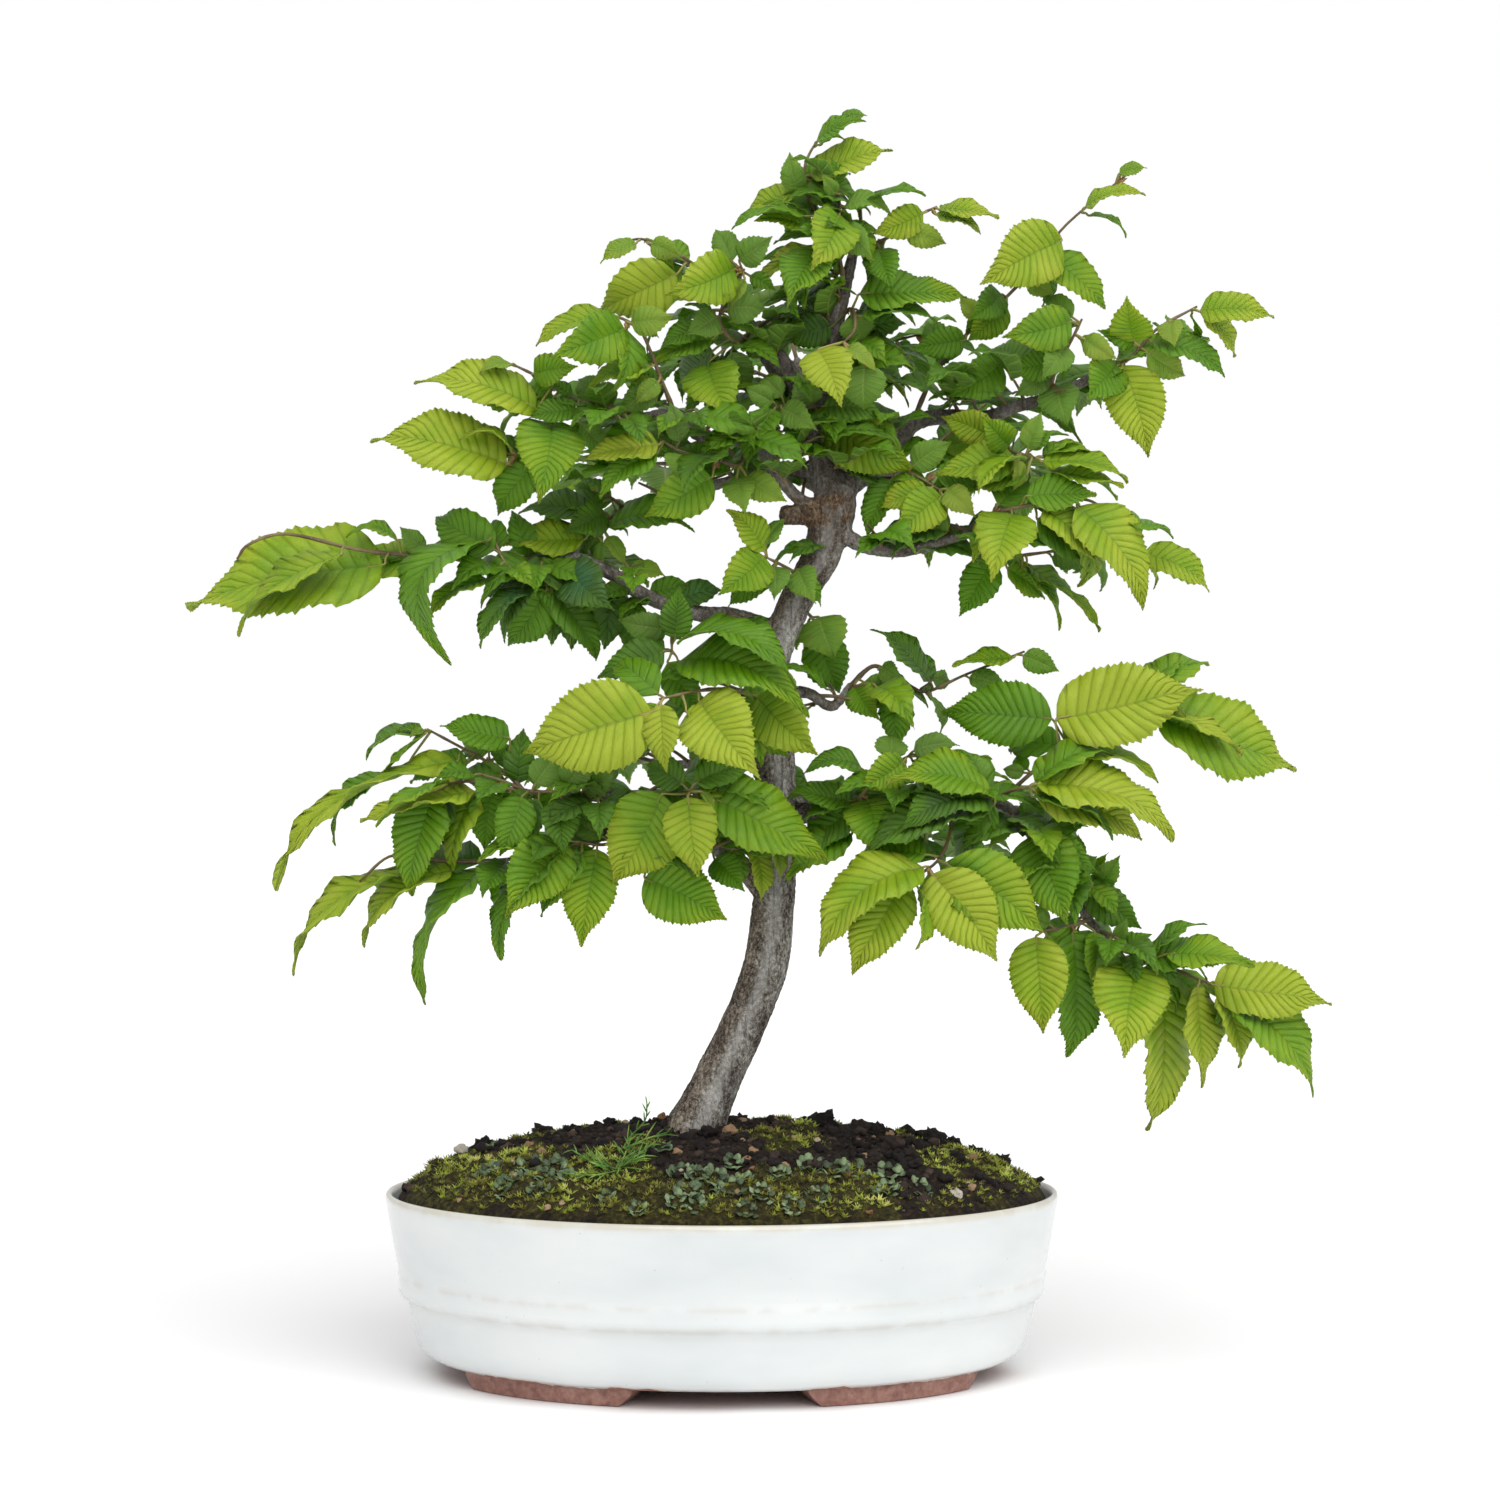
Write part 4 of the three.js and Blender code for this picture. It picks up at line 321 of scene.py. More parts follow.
        [(140, 247, 175, 236, 9, 0.95, 0.1), (165, 264, 209, 248, 7, 0.95, 0.06),
         (168, 269, 186, 262, 6, 0.85), (126, 258, 192, 274, 31, 0.85, 0.04, 6),
         (174, 261, 231.5, 241, 28, 0.85, 0.02, 12), (132, 260, 87, 263, 25, 0.5, 0.02, 20),
         (124, 238, 112, 240, 6, 0.3, 0.09, 6), (128, 247, 148, 246, 12, 0.75, 0.02, 10)]),
    "low_right_mid": (
        [(108, 227, -16), (115, 231, -30), (124, 233, -37)],
        [(125, 234, 182.5, 217, 16, 0.85, 0.05), (123, 232, 169.5, 213.5, 19, 0.8, 0.03, 8),
         (124, 229, 157.5, 214, 9, 0.3, 0.12, 10)]),
    "low_right_inner": (
        [(95, 228, -16), (103, 231, -26), (110, 230, -34)],
        [(110, 231, 66, 236, 14, 0.6, 0.12), (107, 227, 53, 205, 20, 0.3),
         (108, 228, 70, 216, 15, 0.3, 0.15, -6), (104, 233, 98, 246, 12, 0.55),
         (109, 226, 96, 211, 12, 0.3, 0.09, 8)]),
    "low_right_near": (
        [(52, 224, -10), (58, 232, -17), (66, 240, -20), (76, 246, -20)],
        [(58, 228, 62, 205, 22, 0.7), (52, 227, 28, 232, 12, 0.4, 0.05),
         (58, 228, 30, 200, 15, 0.4, 0.09, 8), (74, 244, 55, 232, 15, 0.65, 0.05),
         (76, 247, 95, 250, 9, 0.3), (56, 240, 32.5, 238.5, 9, 0.35, 0.25),
         (52, 214, 25, 197, 13, 0.55, 0.05, -6), (74, 247, 88, 240, 8, 0.5, 0.09, 6),
         (67, 240, 68, 254, 13, 0.5)]),
    "low_right_front": (
        [(92, 228, -17), (91, 214, -32), (86, 203, -42), (74, 195, -48)],
        [(73, 195, 51, 158.5, 22, 0.9, 0.05), (82, 202, 38, 166.5, 20, 0.75, 0.22),
         (84, 198, 110, 163, 27, 0.95, 0.05), (90, 202, 129, 174.5, 28, 0.8, 0.05),
         (79, 191, 79, 168, 4, 0.85), (84, 206, 50, 203, 12, 0.6, 0.05, 6), (77, 194, 73, 188, 3, 0.8)]),
    "low_right_drop": (
        [(114, 224, -16), (120, 217, -28), (132, 208, -25), (143, 198, -14), (150, 193, -5)],
        [(123, 214, 138, 178, 27, 0.5), (126, 214, 150, 199, 15, 0.5, 0.09, -10),
         (114, 222, 136, 203, 9, 0.45, 0.15), (120, 219, 145, 206, 8, 0.45, 0.15),
         (114, 219, 107, 209, 8, 0.8), (144, 193, 168, 176, 15, 0.2), (151, 194, 159, 205, 10, 0.6),
         (142, 199, 150, 205, 9, 0.5, 0.09, 6)]),
    "low_right_hanging": (
        [(147, 180, -12), (139, 177, -22), (127, 175, -32)],
        [(125.5, 174, 128.5, 134, 23, 0.8, 0.03), (140, 176, 141.5, 124, 21, 0.5, 0.03, 4),
         (133, 177, 118, 184, 9, 0.5), (149, 175, 148, 152, 11, 0.5),
         (142, 178, 136, 166, 10, 0.5, 0.09, 10)]),
    "low_right_branch": (
        [(155, 171, -13), (163, 163, -20), (170, 162, -22)],
        [(166, 161, 161, 126, 30, 0.8, 0.05), (167, 165, 206, 165, 13, 0.65, 0.02),
         (165, 167, 148, 157, 12, 0.55), (178, 166, 213, 162.5, 12, 0.7, 0.08, 10),
         (158, 172, 162, 180, 6, 0.4)]),
    "low_right_tip": (
        [(156, 169, -13), (168, 165, -10), (181, 160, -12), (190, 156, -14), (202, 152, -14)],
        [(190, 153, 193.5, 112.5, 14, 0.95, 0.02), (177, 157, 173.5, 94.5, 25, 0.85, 0.02, 2),
         (194, 154, 244.5, 148, 23, 0.95, 0.02), (199, 151, 209, 121, 12, 0.9),
         (204, 149, 239.5, 111, 21, 0.75, 0.12), (201, 151, 203, 137, 4, 0.8)]),
}

# Shoots behind the trunk: paleness and stem
BACK_SHOOTS = {
    "back_left_end": (0.6, [(-24, 242, 74), (-40, 246, 90), (-56, 246, 104)]),
    "back_left_inner": (0.35, [(-6, 242, 50), (-22, 230, 58), (-38, 222, 62), (-54, 218, 64)]),
    "back_right_end": (0.6, [(76, 230, 78), (92, 234, 92), (106, 234, 102)]),
    "back_right_inner": (0.35, [(56, 230, 54), (66, 220, 62), (82, 214, 68), (98, 210, 70)]),
    "back_left_high_end": (0.6, [(-12, 362, 74), (-30, 362, 88), (-46, 360, 98)]),
    "back_left_high_inner": (0.35, [(8, 362, 52), (-4, 374, 60), (-18, 384, 66), (-32, 390, 68)]),
    "back_right_high_end": (0.6, [(93, 363, 78), (108, 362, 92), (124, 360, 102)]),
    "back_right_high_inner": (0.35, [(75, 360.5, 54), (86, 370, 62), (98, 380, 68), (108, 388, 70)]),
    "back_top_end": (0.6, [(30, 403, 72), (28, 414, 86), (32, 424, 94)]),
    "back_top_left": (0.4, [(35, 387, 32), (20, 396, 42), (4, 402, 48), (-8, 406, 50)]),
    "back_top_right": (0.4, [(32, 396, 52), (48, 404, 58), (64, 410, 62), (80, 414, 64)]),
    "back_left_mid": (0.35, [(-44, 318, -12), (-52, 326, 10), (-60, 330, 26), (-70, 328, 38)]),
}

# Weed: the seen path of each blade, [across, up]
WEED_BLADES = [
    [(-42.5, 80), (-38, 90), (-31, 99), (-30, 106)], [(-42.5, 80), (-47, 81), (-51, 84)],
    [(-42.5, 80), (-36, 83), (-26, 90)], [(-39, 88), (-31, 91), (-22, 93)],
    [(-42.5, 79), (-50, 77), (-59, 75)], [(-42.5, 80), (-37, 81), (-31, 84)],
    [(-45, 79), (-52, 82), (-60, 86)], [(-42, 78), (-39, 84), (-36, 92)],
]

# Places and shapes


def seen(across, up, depth):
    """The point of the tree at a place of the picture and a depth behind the trunk's plane."""
    spread = (VIEW_DISTANCE + depth) / VIEW_DISTANCE
    return Vector((
        VIEW_ACROSS + (across - VIEW_ACROSS) * spread, depth, VIEW_UP + (up - VIEW_UP) * spread))


def in_frame(points):
    """Points of the drawn tree, in millimetres, as rows of metres in the shared frame."""
    return (np.asarray(points, float) + np.array(SHIFT)) * MM


def seeded_draws(seed):
    """Random draws from 0 to 1, the same ones that the model's source makes from a seed."""
    whole = 0xFFFFFFFF
    while True:
        seed = (seed + 0x6D2B79F5) & whole
        mixed = ((seed ^ (seed >> 15)) * (seed | 1)) & whole
        mixed ^= (mixed + (((mixed ^ (mixed >> 7)) * (mixed | 61)) & whole)) & whole
        yield ((mixed ^ (mixed >> 14)) & whole) / (whole + 1)


def deselect():
    if bpy.context.object is not None and bpy.context.object.mode != "OBJECT":
        bpy.ops.object.mode_set(mode="OBJECT")
    bpy.ops.object.select_all(action="DESELECT")


def make_active(piece):
    deselect()
    piece.select_set(True)
    bpy.context.view_layer.objects.active = piece


def apply_modifier(piece, kind, **settings):
    make_active(piece)
    modifier = piece.modifiers.new(kind.title(), kind)
    for key, value in settings.items():
        setattr(modifier, key, value)
    bpy.ops.object.modifier_apply(modifier=modifier.name)


def outwards_and_done():
    """In edit mode: turns all faces outwards and goes back to object mode."""
    bpy.ops.mesh.select_all(action="SELECT")
    bpy.ops.mesh.normals_make_consistent(inside=False)
    bpy.ops.object.mode_set(mode="OBJECT")


def mesh_piece(name, points, faces, smooth=True):
    """A piece from points in metres and faces as rows of corner numbers."""
    mesh = bpy.data.meshes.new(name)
    mesh.from_pydata([], [], [])
    points = np.asarray(points, np.float32)
    sizes = np.array([len(face) for face in faces], np.int32)
    corners = np.concatenate([np.asarray(face, np.int32) for face in faces])
    mesh.vertices.add(len(points))
    mesh.vertices.foreach_set("co", points.ravel())
    mesh.loops.add(len(corners))
    mesh.loops.foreach_set("vertex_index", corners)
    mesh.polygons.add(len(sizes))
    starts = np.concatenate([[0], np.cumsum(sizes)[:-1]])
    mesh.polygons.foreach_set("loop_start", starts.astype(np.int32))
    mesh.polygons.foreach_set("loop_total", sizes)
    mesh.polygons.foreach_set("use_smooth", np.full(len(sizes), smooth))
    mesh.update(calc_edges=True)
    mesh.validate()
    piece = bpy.data.objects.new(name, mesh)
    bpy.context.scene.collection.objects.link(piece)
    return piece


def vertex_rows(mesh, key):
    """The places ("co") or normals of a mesh's points, as rows."""
    rows = np.zeros(len(mesh.vertices) * 3)
    mesh.vertices.foreach_get(key, rows)
    return rows.reshape(-1, 3)


def point_values(piece, name, values):
    attribute = piece.data.attributes.new(name, "FLOAT", "POINT")
    attribute.data.foreach_set("value", np.asarray(values, np.float32))


def join_pieces(name, pieces):
    make_active(pieces[0])
    for piece in pieces:
        piece.select_set(True)
    bpy.ops.object.join()
    pieces[0].name = name
    return pieces[0]


def settle(piece, slot, *nodes):
    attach(piece, "root")
    if nodes:
        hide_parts(*nodes)
    return piece


def smooth_path(points, steps):
    """Points along a curve through the given rows, with what each row carries beside its place."""
    rows = np.asarray(points, float)
    ends = np.vstack([2 * rows[0] - rows[1], rows, 2 * rows[-1] - rows[-2]])
    path = []
    for i in range(len(rows) - 1):
        a, b, c, d = ends[i:i + 4]
        for t in np.arange(steps) / steps:
            path.append(0.5 * (2 * b + (c - a) * t + (2 * a - 5 * b + 4 * c - d) * t ** 2
                               + (3 * b - a - 3 * c + d) * t ** 3))
    path.append(rows[-1])
    return np.array(path)


# How far a tube's ends bulge out, in radii
TUBE_END = 0.4


def tube(path, sides):
    """Points and faces of a closed tube along rows of x, y, z, radius."""
    centres, radii = path[:, :3], path[:, 3]
    ahead = np.gradient(centres, axis=0)
    ahead /= np.linalg.norm(ahead, axis=1)[:, None]
    normal = np.cross(ahead[0], (0.3, 1, 0.1))
    turns = np.arange(sides) * 2 * math.pi / sides
    rings = []
    for centre, direction, radius in zip(centres, ahead, radii):
        normal = normal - direction * (normal @ direction)
        normal /= np.linalg.norm(normal)
        across = np.cross(direction, normal)
        rings.append(centre + radius * (np.cos(turns)[:, None] * normal + np.sin(turns)[:, None] * across))
    count = len(path)
    ends = centres[0] - ahead[0] * radii[0] * TUBE_END, centres[-1] + ahead[-1] * radii[-1] * TUBE_END
    here = np.arange(sides)
    after = (here + 1) % sides
    quads = [np.column_stack([k + here, k + after, k + sides + after, k + sides + here])
             for k in range(0, (count - 1) * sides, sides)]
    start, last = count * sides, (count - 1) * sides
    caps = [[start, b, a] for a, b in zip(here, after)]
    caps += [[start + 1, last + a, last + b] for a, b in zip(here, after)]
    return np.vstack([*rings, *ends]), np.vstack(quads).tolist() + caps


def gather(parts):
    """Several lots of points and faces as one."""
    points, faces, first = [], [], 0
    for some_points, some_faces in parts:
        points.append(some_points)
        faces += [[corner + first for corner in face] for face in some_faces]
        first += len(some_points)
    return np.vstack(points), faces


# Leaves: where each one stands, by the rule that the model follows


Blade = namedtuple("Blade", "root base tip width up bow tone far", defaults=[False])


def nearest_on(stem, across, up):
    """The point of a stem that is seen nearest to a place, away from its bare ends."""
    best = None
    for i, (a, b) in enumerate(zip(stem, stem[1:])):
        run = (b[0] - a[0], b[1] - a[1])
        share = ((across - a[0]) * run[0] + (up - a[1]) * run[1]) / (run[0] ** 2 + run[1] ** 2)
        least, most = STEM_BARE_ROOT if i == 0 else 0, 1 - STEM_BARE_TIP if i + 2 == len(stem) else 1
        t = min(max(share, least), most)
        spot = [a[k] + (b[k] - a[k]) * t for k in range(3)]
        gap = math.hypot(across - spot[0], up - spot[1])
        if best is None or gap < best[0]:
            best = (gap, spot)
    return best[1]


def place_leaf(bend, stem, a0, u0, a1, u1, width, tone, bow=LEAF_BOW, behind=None):
    """A drawn leaf: the shorter it looks for its width, the more it points forwards."""
    spot = nearest_on(stem, a0, u0)
    shown = math.hypot(a1 - a0, u1 - u0)
    full = width / LEAF_FULL
    forward = HANG_FORWARD * shown
    if full > shown:
        forward = min(math.sqrt(full ** 2 - shown ** 2), HANG_MOST * shown)
    root = seen(*spot)
    start = spot[2] - HANG_CLEAR - HANG_BY_BEND * abs(bend)
    base = seen(a0, u0, start)
    tip = seen(a1, u1, start + (-forward if behind is None else behind) + bend)
    ahead = (tip - base).normalized()
    base += ahead * max(0, LEAF_STALK - (base - root).dot(ahead))
    facing = Vector((VIEW_ACROSS, -VIEW_DISTANCE, VIEW_UP)) - base.lerp(tip, 0.5)
    facing = (facing - ahead * facing.dot(ahead)).normalized()
    sideways = ahead.cross(facing)
    outward = math.copysign(HANG_OUTWARD, a0 - VIEW_ACROSS)
    if sideways.x * outward + sideways.z < 0:
        sideways.negate()
    length = (tip - base).length
    broad = min(max(LEAF_RATIO * length, width), BROADEST_TIMES * width + BROADEST_PLUS)
    roll = math.acos(width / broad)
    up = facing * math.cos(roll) + sideways * math.sin(roll)
    return Blade(root, base, tip, broad, up, bow, tone)


def place_back_leaf(bend, stem, i, draws, tone):
    """A leaf behind the trunk: they alternate along the stem and droop."""
    station = (BACK_FROM + BACK_RUN * i / (BACK_LEAVES - 1)) * (len(stem) - 1)
    low = math.floor(station)
    before, after = seen(*stem[low]), seen(*stem[low + 1])
    root = before.lerp(after, station - low)
    ahead = (after - before).normalized()
    at_end = i == BACK_LEAVES - 1
    splay = math.radians(BACK_LAST_SPLAY if at_end else BACK_SPLAY + BACK_SWAY * (draws[0] - 0.5))
    level = Vector((ahead.x, ahead.y, 0)).normalized()
    aside = Vector((-level.y, level.x, 0)) * (1 if i % 2 else -1)
    heading = level * math.cos(splay) + aside * math.sin(splay)
    heading.z = -BACK_DROOP * (BACK_LEAST_DROOP + BACK_MORE_DROOP * draws[1])
    heading.normalize()
    length = BACK_SHORTEST + (BACK_LONGEST - BACK_SHORTEST) * draws[2]
    base = root + heading * BACK_STALK
    tip = base + heading * length
    tip.z -= bend
    heading = (tip - base).normalized()
    up = Vector((0, 0, 1))
    up = (up - heading * up.dot(heading)).normalized()
    return Blade(root, base, tip, LEAF_RATIO * length, up, LEAF_BOW, tone)


def as_bent(node, place, *how):
    """The leaf with the bend that its blade has in the model: a corner of the node is at its tip."""
    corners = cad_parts[node].data.vertices
    tree = kdtree.KDTree(len(corners))
    for i, corner in enumerate(corners):
        tree.insert(corner.co, i)
    tree.balance()
    bent = [place(bend, *how) for bend in BENDS]
    return min(bent, key=lambda blade: tree.find((blade.tip + SHIFT) * MM)[2])


# Leaves: one blade of each size is modelled flat, and every leaf is a copy laid in its place

# Outline of a blade: how far along, and half its width there as a share of the broadest
OUTLINE = [
    (0, 0), (0.02, 0.28), (0.06, 0.56), (0.12, 0.78), (0.2, 0.93), (0.32, 1), (0.45, 0.97), (0.56, 0.87),
    (0.66, 0.72), (0.75, 0.52), (0.82, 0.33), (0.88, 0.18), (0.94, 0.07), (1, 0),
]
SHEET_LENGTH, SHEET_HALF, SHEET_THICK = 50, 14, 0.42
MIDRIB, MIDRIB_DEEP, VEIN_LEAN = 0.09, 0.6, 0.2
TOOTH_OUT, TOOTH_ON = 0.06, 0.011
TEETH, FEW_TEETH = [1, -0.55, 0.35, -0.3], [1, -0.5]


def blade_sheet(name, veins, columns, pleat, teeth):
    """A flat pleated leaf: its rows follow the veins from the midrib to the teeth."""
    rows = veins * len(teeth)
    deselect()
    bpy.ops.mesh.primitive_grid_add(x_subdivisions=2 * columns, y_subdivisions=rows, size=2)
    sheet = bpy.context.object
    sheet.name = name
    mesh = sheet.data
    spread = [0, MIDRIB] + [MIDRIB + (1 - MIDRIB) * k / (columns - 1) for k in range(1, columns)]
    uv = np.zeros((len(mesh.vertices), 2))
    for vertex in mesh.vertices:
        row = round((vertex.co.y + 1) / 2 * rows)
        column = round(vertex.co.x * columns)
        side = math.copysign(1, column) if column else 0
        out = spread[abs(column)]
        start = row / rows
        along = start + VEIN_LEAN * math.sin(math.pi * start) * out ** 0.9
        tooth = teeth[row % len(teeth)] if 0 < row < rows and out > 0.999 else 0
        half = np.interp(along, *zip(*OUTLINE))
        small = math.sin(math.pi * min(along * 1.1, 1)) ** 0.5 if along < 0.9 else 0.35
        ridge = 2 * abs(math.sin(math.pi * row / len(teeth))) ** 0.8 - 1
        swell = ridge * (0.45 + 0.55 * math.sin(math.pi * min(out, 0.9))) * small
        vertex.co = (
            side * SHEET_HALF * (half * out + TOOTH_OUT * tooth * small),
            SHEET_LENGTH * (along + TOOTH_ON * max(tooth, 0)),
            pleat * swell if column else -MIDRIB_DEEP,
        )
        uv[vertex.index] = (row / len(teeth), side * out)
    for key, values in (("vein", uv[:, 0]), ("out", uv[:, 1])):
        point_values(sheet, key, values)
    apply_modifier(sheet, "WELD", merge_threshold=0.001)
    apply_modifier(sheet, "SOLIDIFY", thickness=SHEET_THICK, offset=0)
    make_active(sheet)
    bpy.ops.object.mode_set(mode="EDIT")
    outwards_and_done()
    return take_sheet(sheet)


def take_sheet(sheet):
    """The sheet's points, faces, vein counts and which points are on its underside; the sheet itself goes."""
    mesh = sheet.data
    points = vertex_rows(mesh, "co")
    under = (vertex_rows(mesh, "normal")[:, 2] < 0).astype(float)
    vein, out = np.zeros((2, len(points)), np.float32)
    mesh.attributes["vein"].data.foreach_get("value", vein)
    mesh.attributes["out"].data.foreach_get("value", out)
    faces = [list(polygon.vertices) for polygon in mesh.polygons]
    bpy.data.objects.remove(sheet)
    return points, faces, vein, out, under


# Sheets for drawn leaves from a length on, and the one for leaves of the second rank
SHEETS = [
    (36, blade_sheet("blade_large", 15, 3, 0.5, TEETH)),
    (20, blade_sheet("blade_middle", 12, 3, 0.48, FEW_TEETH)),
    (0, blade_sheet("blade_small", 11, 2, 0.44, FEW_TEETH)),
]
FAR_SHEET = blade_sheet("blade_far", 8, 2, 0.6, FEW_TEETH)

# How a leaf departs from flat, as shares of its length: each wave's height and how many there are
EDGE_WAVE, EDGE_WAVES = 0.034, 1.6
RIPPLE, RIPPLES = 0.014, 4.3
ARCH_SWAY, TWIST, SIDE_BEND = 0.05, 0.7, 0.09
TIP_CURL, MORE_CURL, CURL_FROM = 0.02, 0.11, 0.65

# Twigs: radii at both ends, and rings from bud to bud; and half-widths along a bud scale
TWIG_SIDES = 6
TWIG_ROOT, TWIG_TIP, BUD_STEP = 0.95, 0.45, 6
SCALE_HALVES = (0.25, 0.75, 0.85, 0.6, 0.08)


def lay_leaf(blade, draws):
    """A copy of the sheet, laid from its base to its tip, with its own waves, side bend and curl."""
    length = (blade.tip - blade.base).length
    near_sheet = next(sheet for least, sheet in SHEETS if length >= least)
    points, faces, vein, out, under = FAR_SHEET if blade.far else near_sheet
    ahead = (blade.tip - blade.base).normalized()
    aside = ahead.cross(blade.up)
    t = points[:, 1] / SHEET_LENGTH
    across = points[:, 0] / SHEET_HALF * blade.width / 2
    wave, curve, twist, curl = (next(draws) for _ in range(4))
    size = length / SHEET_LENGTH
    arch = blade.bow + ARCH_SWAY * (next(draws) - 0.5)
    above = arch * length * 4 * t * (1 - t) + LEAF_FOLD * np.abs(across)
    edge = out ** 2 * np.sign(out + 0.1)
    above += EDGE_WAVE * length * np.sin(2 * math.pi * (EDGE_WAVES * t + wave)) * edge
    ripple = np.sin(2 * math.pi * (RIPPLES * t + twist + 0.3 * out))
    above += RIPPLE * length * ripple * np.abs(out) ** 1.5
    above += (twist - 0.5) * TWIST * across * t
    bent = np.clip((t - CURL_FROM) / (1 - CURL_FROM), 0, 1) ** 2
    above -= (TIP_CURL + MORE_CURL * curl) * length * bent
    above += points[:, 2] * (0.45 + 0.55 * min(size, 1.2))
    across = across + (curve - 0.5) * SIDE_BEND * length * np.sin(math.pi * t)
    placed = np.array(blade.base) + np.outer(t * length, ahead)
    return placed + np.outer(across, aside) + np.outer(above, blade.up), faces, vein, out, under


def lay_stalk(blade):
    """The stalk of a leaf, from the twig to a little way along the midrib."""
    rise = blade.bow * (blade.tip - blade.base).length * 0.36 - 0.3
    inner = blade.base.lerp(blade.tip, 0.1) + blade.up * rise
    middle = blade.root.lerp(blade.base, 0.6) + blade.up * 0.4
    rows = [(*blade.root, 0.6), (*middle, 0.48), (*blade.base, 0.5), (*inner, 0.3)]
    return tube(smooth_path(rows, 3), TWIG_SIDES)


def make_leaves(name, blades, draws, look, slot, *nodes):
    """A piece of several leaves and their stalks, with the values that their material reads."""
    parts, values = [], []
    for blade in blades:
        points, faces, vein, out, under = lay_leaf(blade, draws)
        tone = min(max(blade.tone + 0.24 * (next(draws) - 0.5), 0), 1)
        if in_the_open(blade):
            continue
        stalk_points, stalk_faces = lay_stalk(blade)
        parts += [(points, faces), (stalk_points, stalk_faces)]
        leaf, stalk = np.ones(len(points)), np.ones(len(stalk_points))
        values.append([vein, out, under, tone * leaf, 0 * leaf])
        values.append([0 * stalk, 0 * stalk, 0 * stalk, tone * stalk, stalk])
    points, faces = gather(parts)
    piece = mesh_piece(name, in_frame(points), faces)
    for key, some in zip(("vein", "out", "under", "tone", "stalk"), zip(*values)):
        point_values(piece, key, np.concatenate(some))
    piece.data.materials.append(look)
    return settle(piece, slot, *nodes)


def twig_parts(stem):
    """A twig with a small swelling at each bud."""
    radii = np.linspace(TWIG_ROOT, TWIG_TIP, len(stem))
    path = smooth_path([(*seen(*point), radius) for point, radius in zip(stem, radii)], BUD_STEP)
    from_bud = np.arange(len(path)) % BUD_STEP - BUD_STEP / 2
    path[:, 3] *= 1 + 0.28 * np.exp(-(from_bud / 0.9) ** 2)
    return tube(path, TWIG_SIDES)


def scale_parts(blade, draws):
    """Two thin dry bud scales at a leaf's root."""
    ahead = (blade.base - blade.root).normalized()
    parts = []
    for side in (-1, 1):
        long = 3 + 3 * next(draws)
        turn = Vector((next(draws) - 0.5, next(draws) - 0.5, next(draws) - 0.7))
        heading = (ahead + turn * 1.1).normalized()
        aside = heading.cross(Vector((0, 1, 0.2))).normalized() * side
        face = aside.cross(heading)
        points = []
        for k, half in enumerate(SCALE_HALVES):
            point = blade.root + heading * long * k / 4 + face * 0.25 * long * (k / 4) ** 2
            wide, thick = aside * half, face * 0.16
            points += [point - wide, point + thick, point + wide, point - thick]
        faces = [[k + j, k + (j + 1) % 4, k + 4 + (j + 1) % 4, k + 4 + j]
                 for k in range(0, 16, 4) for j in range(4)]
        faces += [[3, 2, 1, 0], [16, 17, 18, 19]]
        parts.append((np.array(points), faces))
    return parts


# Leaves of the second rank: behind the drawn ones, and on short spurs along the branches

# Places of the picture where the sky shows through: [left, right, low, high] in millimetres
SKY = [
    [-4, 7, 266, 273], [-32, -18, 237, 250], [-46, -42, 229, 236], [-30, 8, 296, 338], [40, 60, 240, 262],
    [55, 95, 290, 322], [-90, -45, 262, 283], [-190, -100, 258, 282], [18, 30, 370, 379], [-20, 3, 342, 360],
    [38, 52, 206, 220], [36, 60, 262, 292], [-10, 12, 262, 300], [20, 50, 150, 202], [-60, -6, 120, 196],
    [96, 130, 270, 298], [-150, -120, 214, 240], [86, 106, 218, 226], [-150, -113, 257, 276],
    [-176, -128, 205, 222], [-150, -126, 172, 184], [-114, -95, 148, 172], [112, 125, 394, 404],
    [22, 58, 331, 352], [70, 103, 441, 453], [178, 210, 372, 396], [165, 190, 344, 356], [96, 104, 430, 446],
]


def as_seen(point):
    """The place of the picture where a point of the tree is seen."""
    spread = VIEW_DISTANCE / (VIEW_DISTANCE + point.y)
    return VIEW_ACROSS + (point.x - VIEW_ACROSS) * spread, VIEW_UP + (point.z - VIEW_UP) * spread


def inside(place, spot):
    left, right, low, high = place
    return left < spot[0] < right and low < spot[1] < high


# More places that leaves of the second rank leave open: the sky, and the upper right branch, which only
# leaves nearer than its depth would cover
OPEN_SKY = [
    [-51, -19, 343, 365], [47, 61, 469, 486], [74, 85, 360, 375], [-7, 8, 355, 366], [111, 122, 302, 313],
    [72, 81, 259, 270],
]
OPEN_WOOD, OPEN_WOOD_DEPTH = [104, 150, 378, 398], 12

# Small dark leaves that close gaps of the crown: [root across, up, depth, tip across, tip up, tone]
GAP_LEAVES = [
    [-44, 318, -11, -47, 287, 0.2], [-33, 310, -9, -39, 287, 0.15], [-61, 325, -12, -60, 287, 0.2],
    [-70, 323, -13, -68, 289, 0.25], [-52, 321, -11, -53, 295, 0.1], [-82, 231, -20, -79, 257, 0.3],
    [-22, 306, -7, 1, 312, 0.2], [-32, 310, -9, -12, 314, 0.15], [45, 412, 4, 74, 419, 0.3],
    [-76, 322, -13, -84, 344, 0.4],
]


def in_the_open(blade):
    """Whether a leaf of the second rank lies for half its length in a place that is to stay open."""
    spots = [as_seen(blade.base.lerp(blade.tip, share)) for share in (0.15, 0.35, 0.5, 0.7, 0.85, 1)]
    places = OPEN_SKY + [OPEN_WOOD] * (blade.base.y < OPEN_WOOD_DEPTH)
    return blade.far and any(sum(inside(place, spot) for spot in spots) >= 3 for place in places)


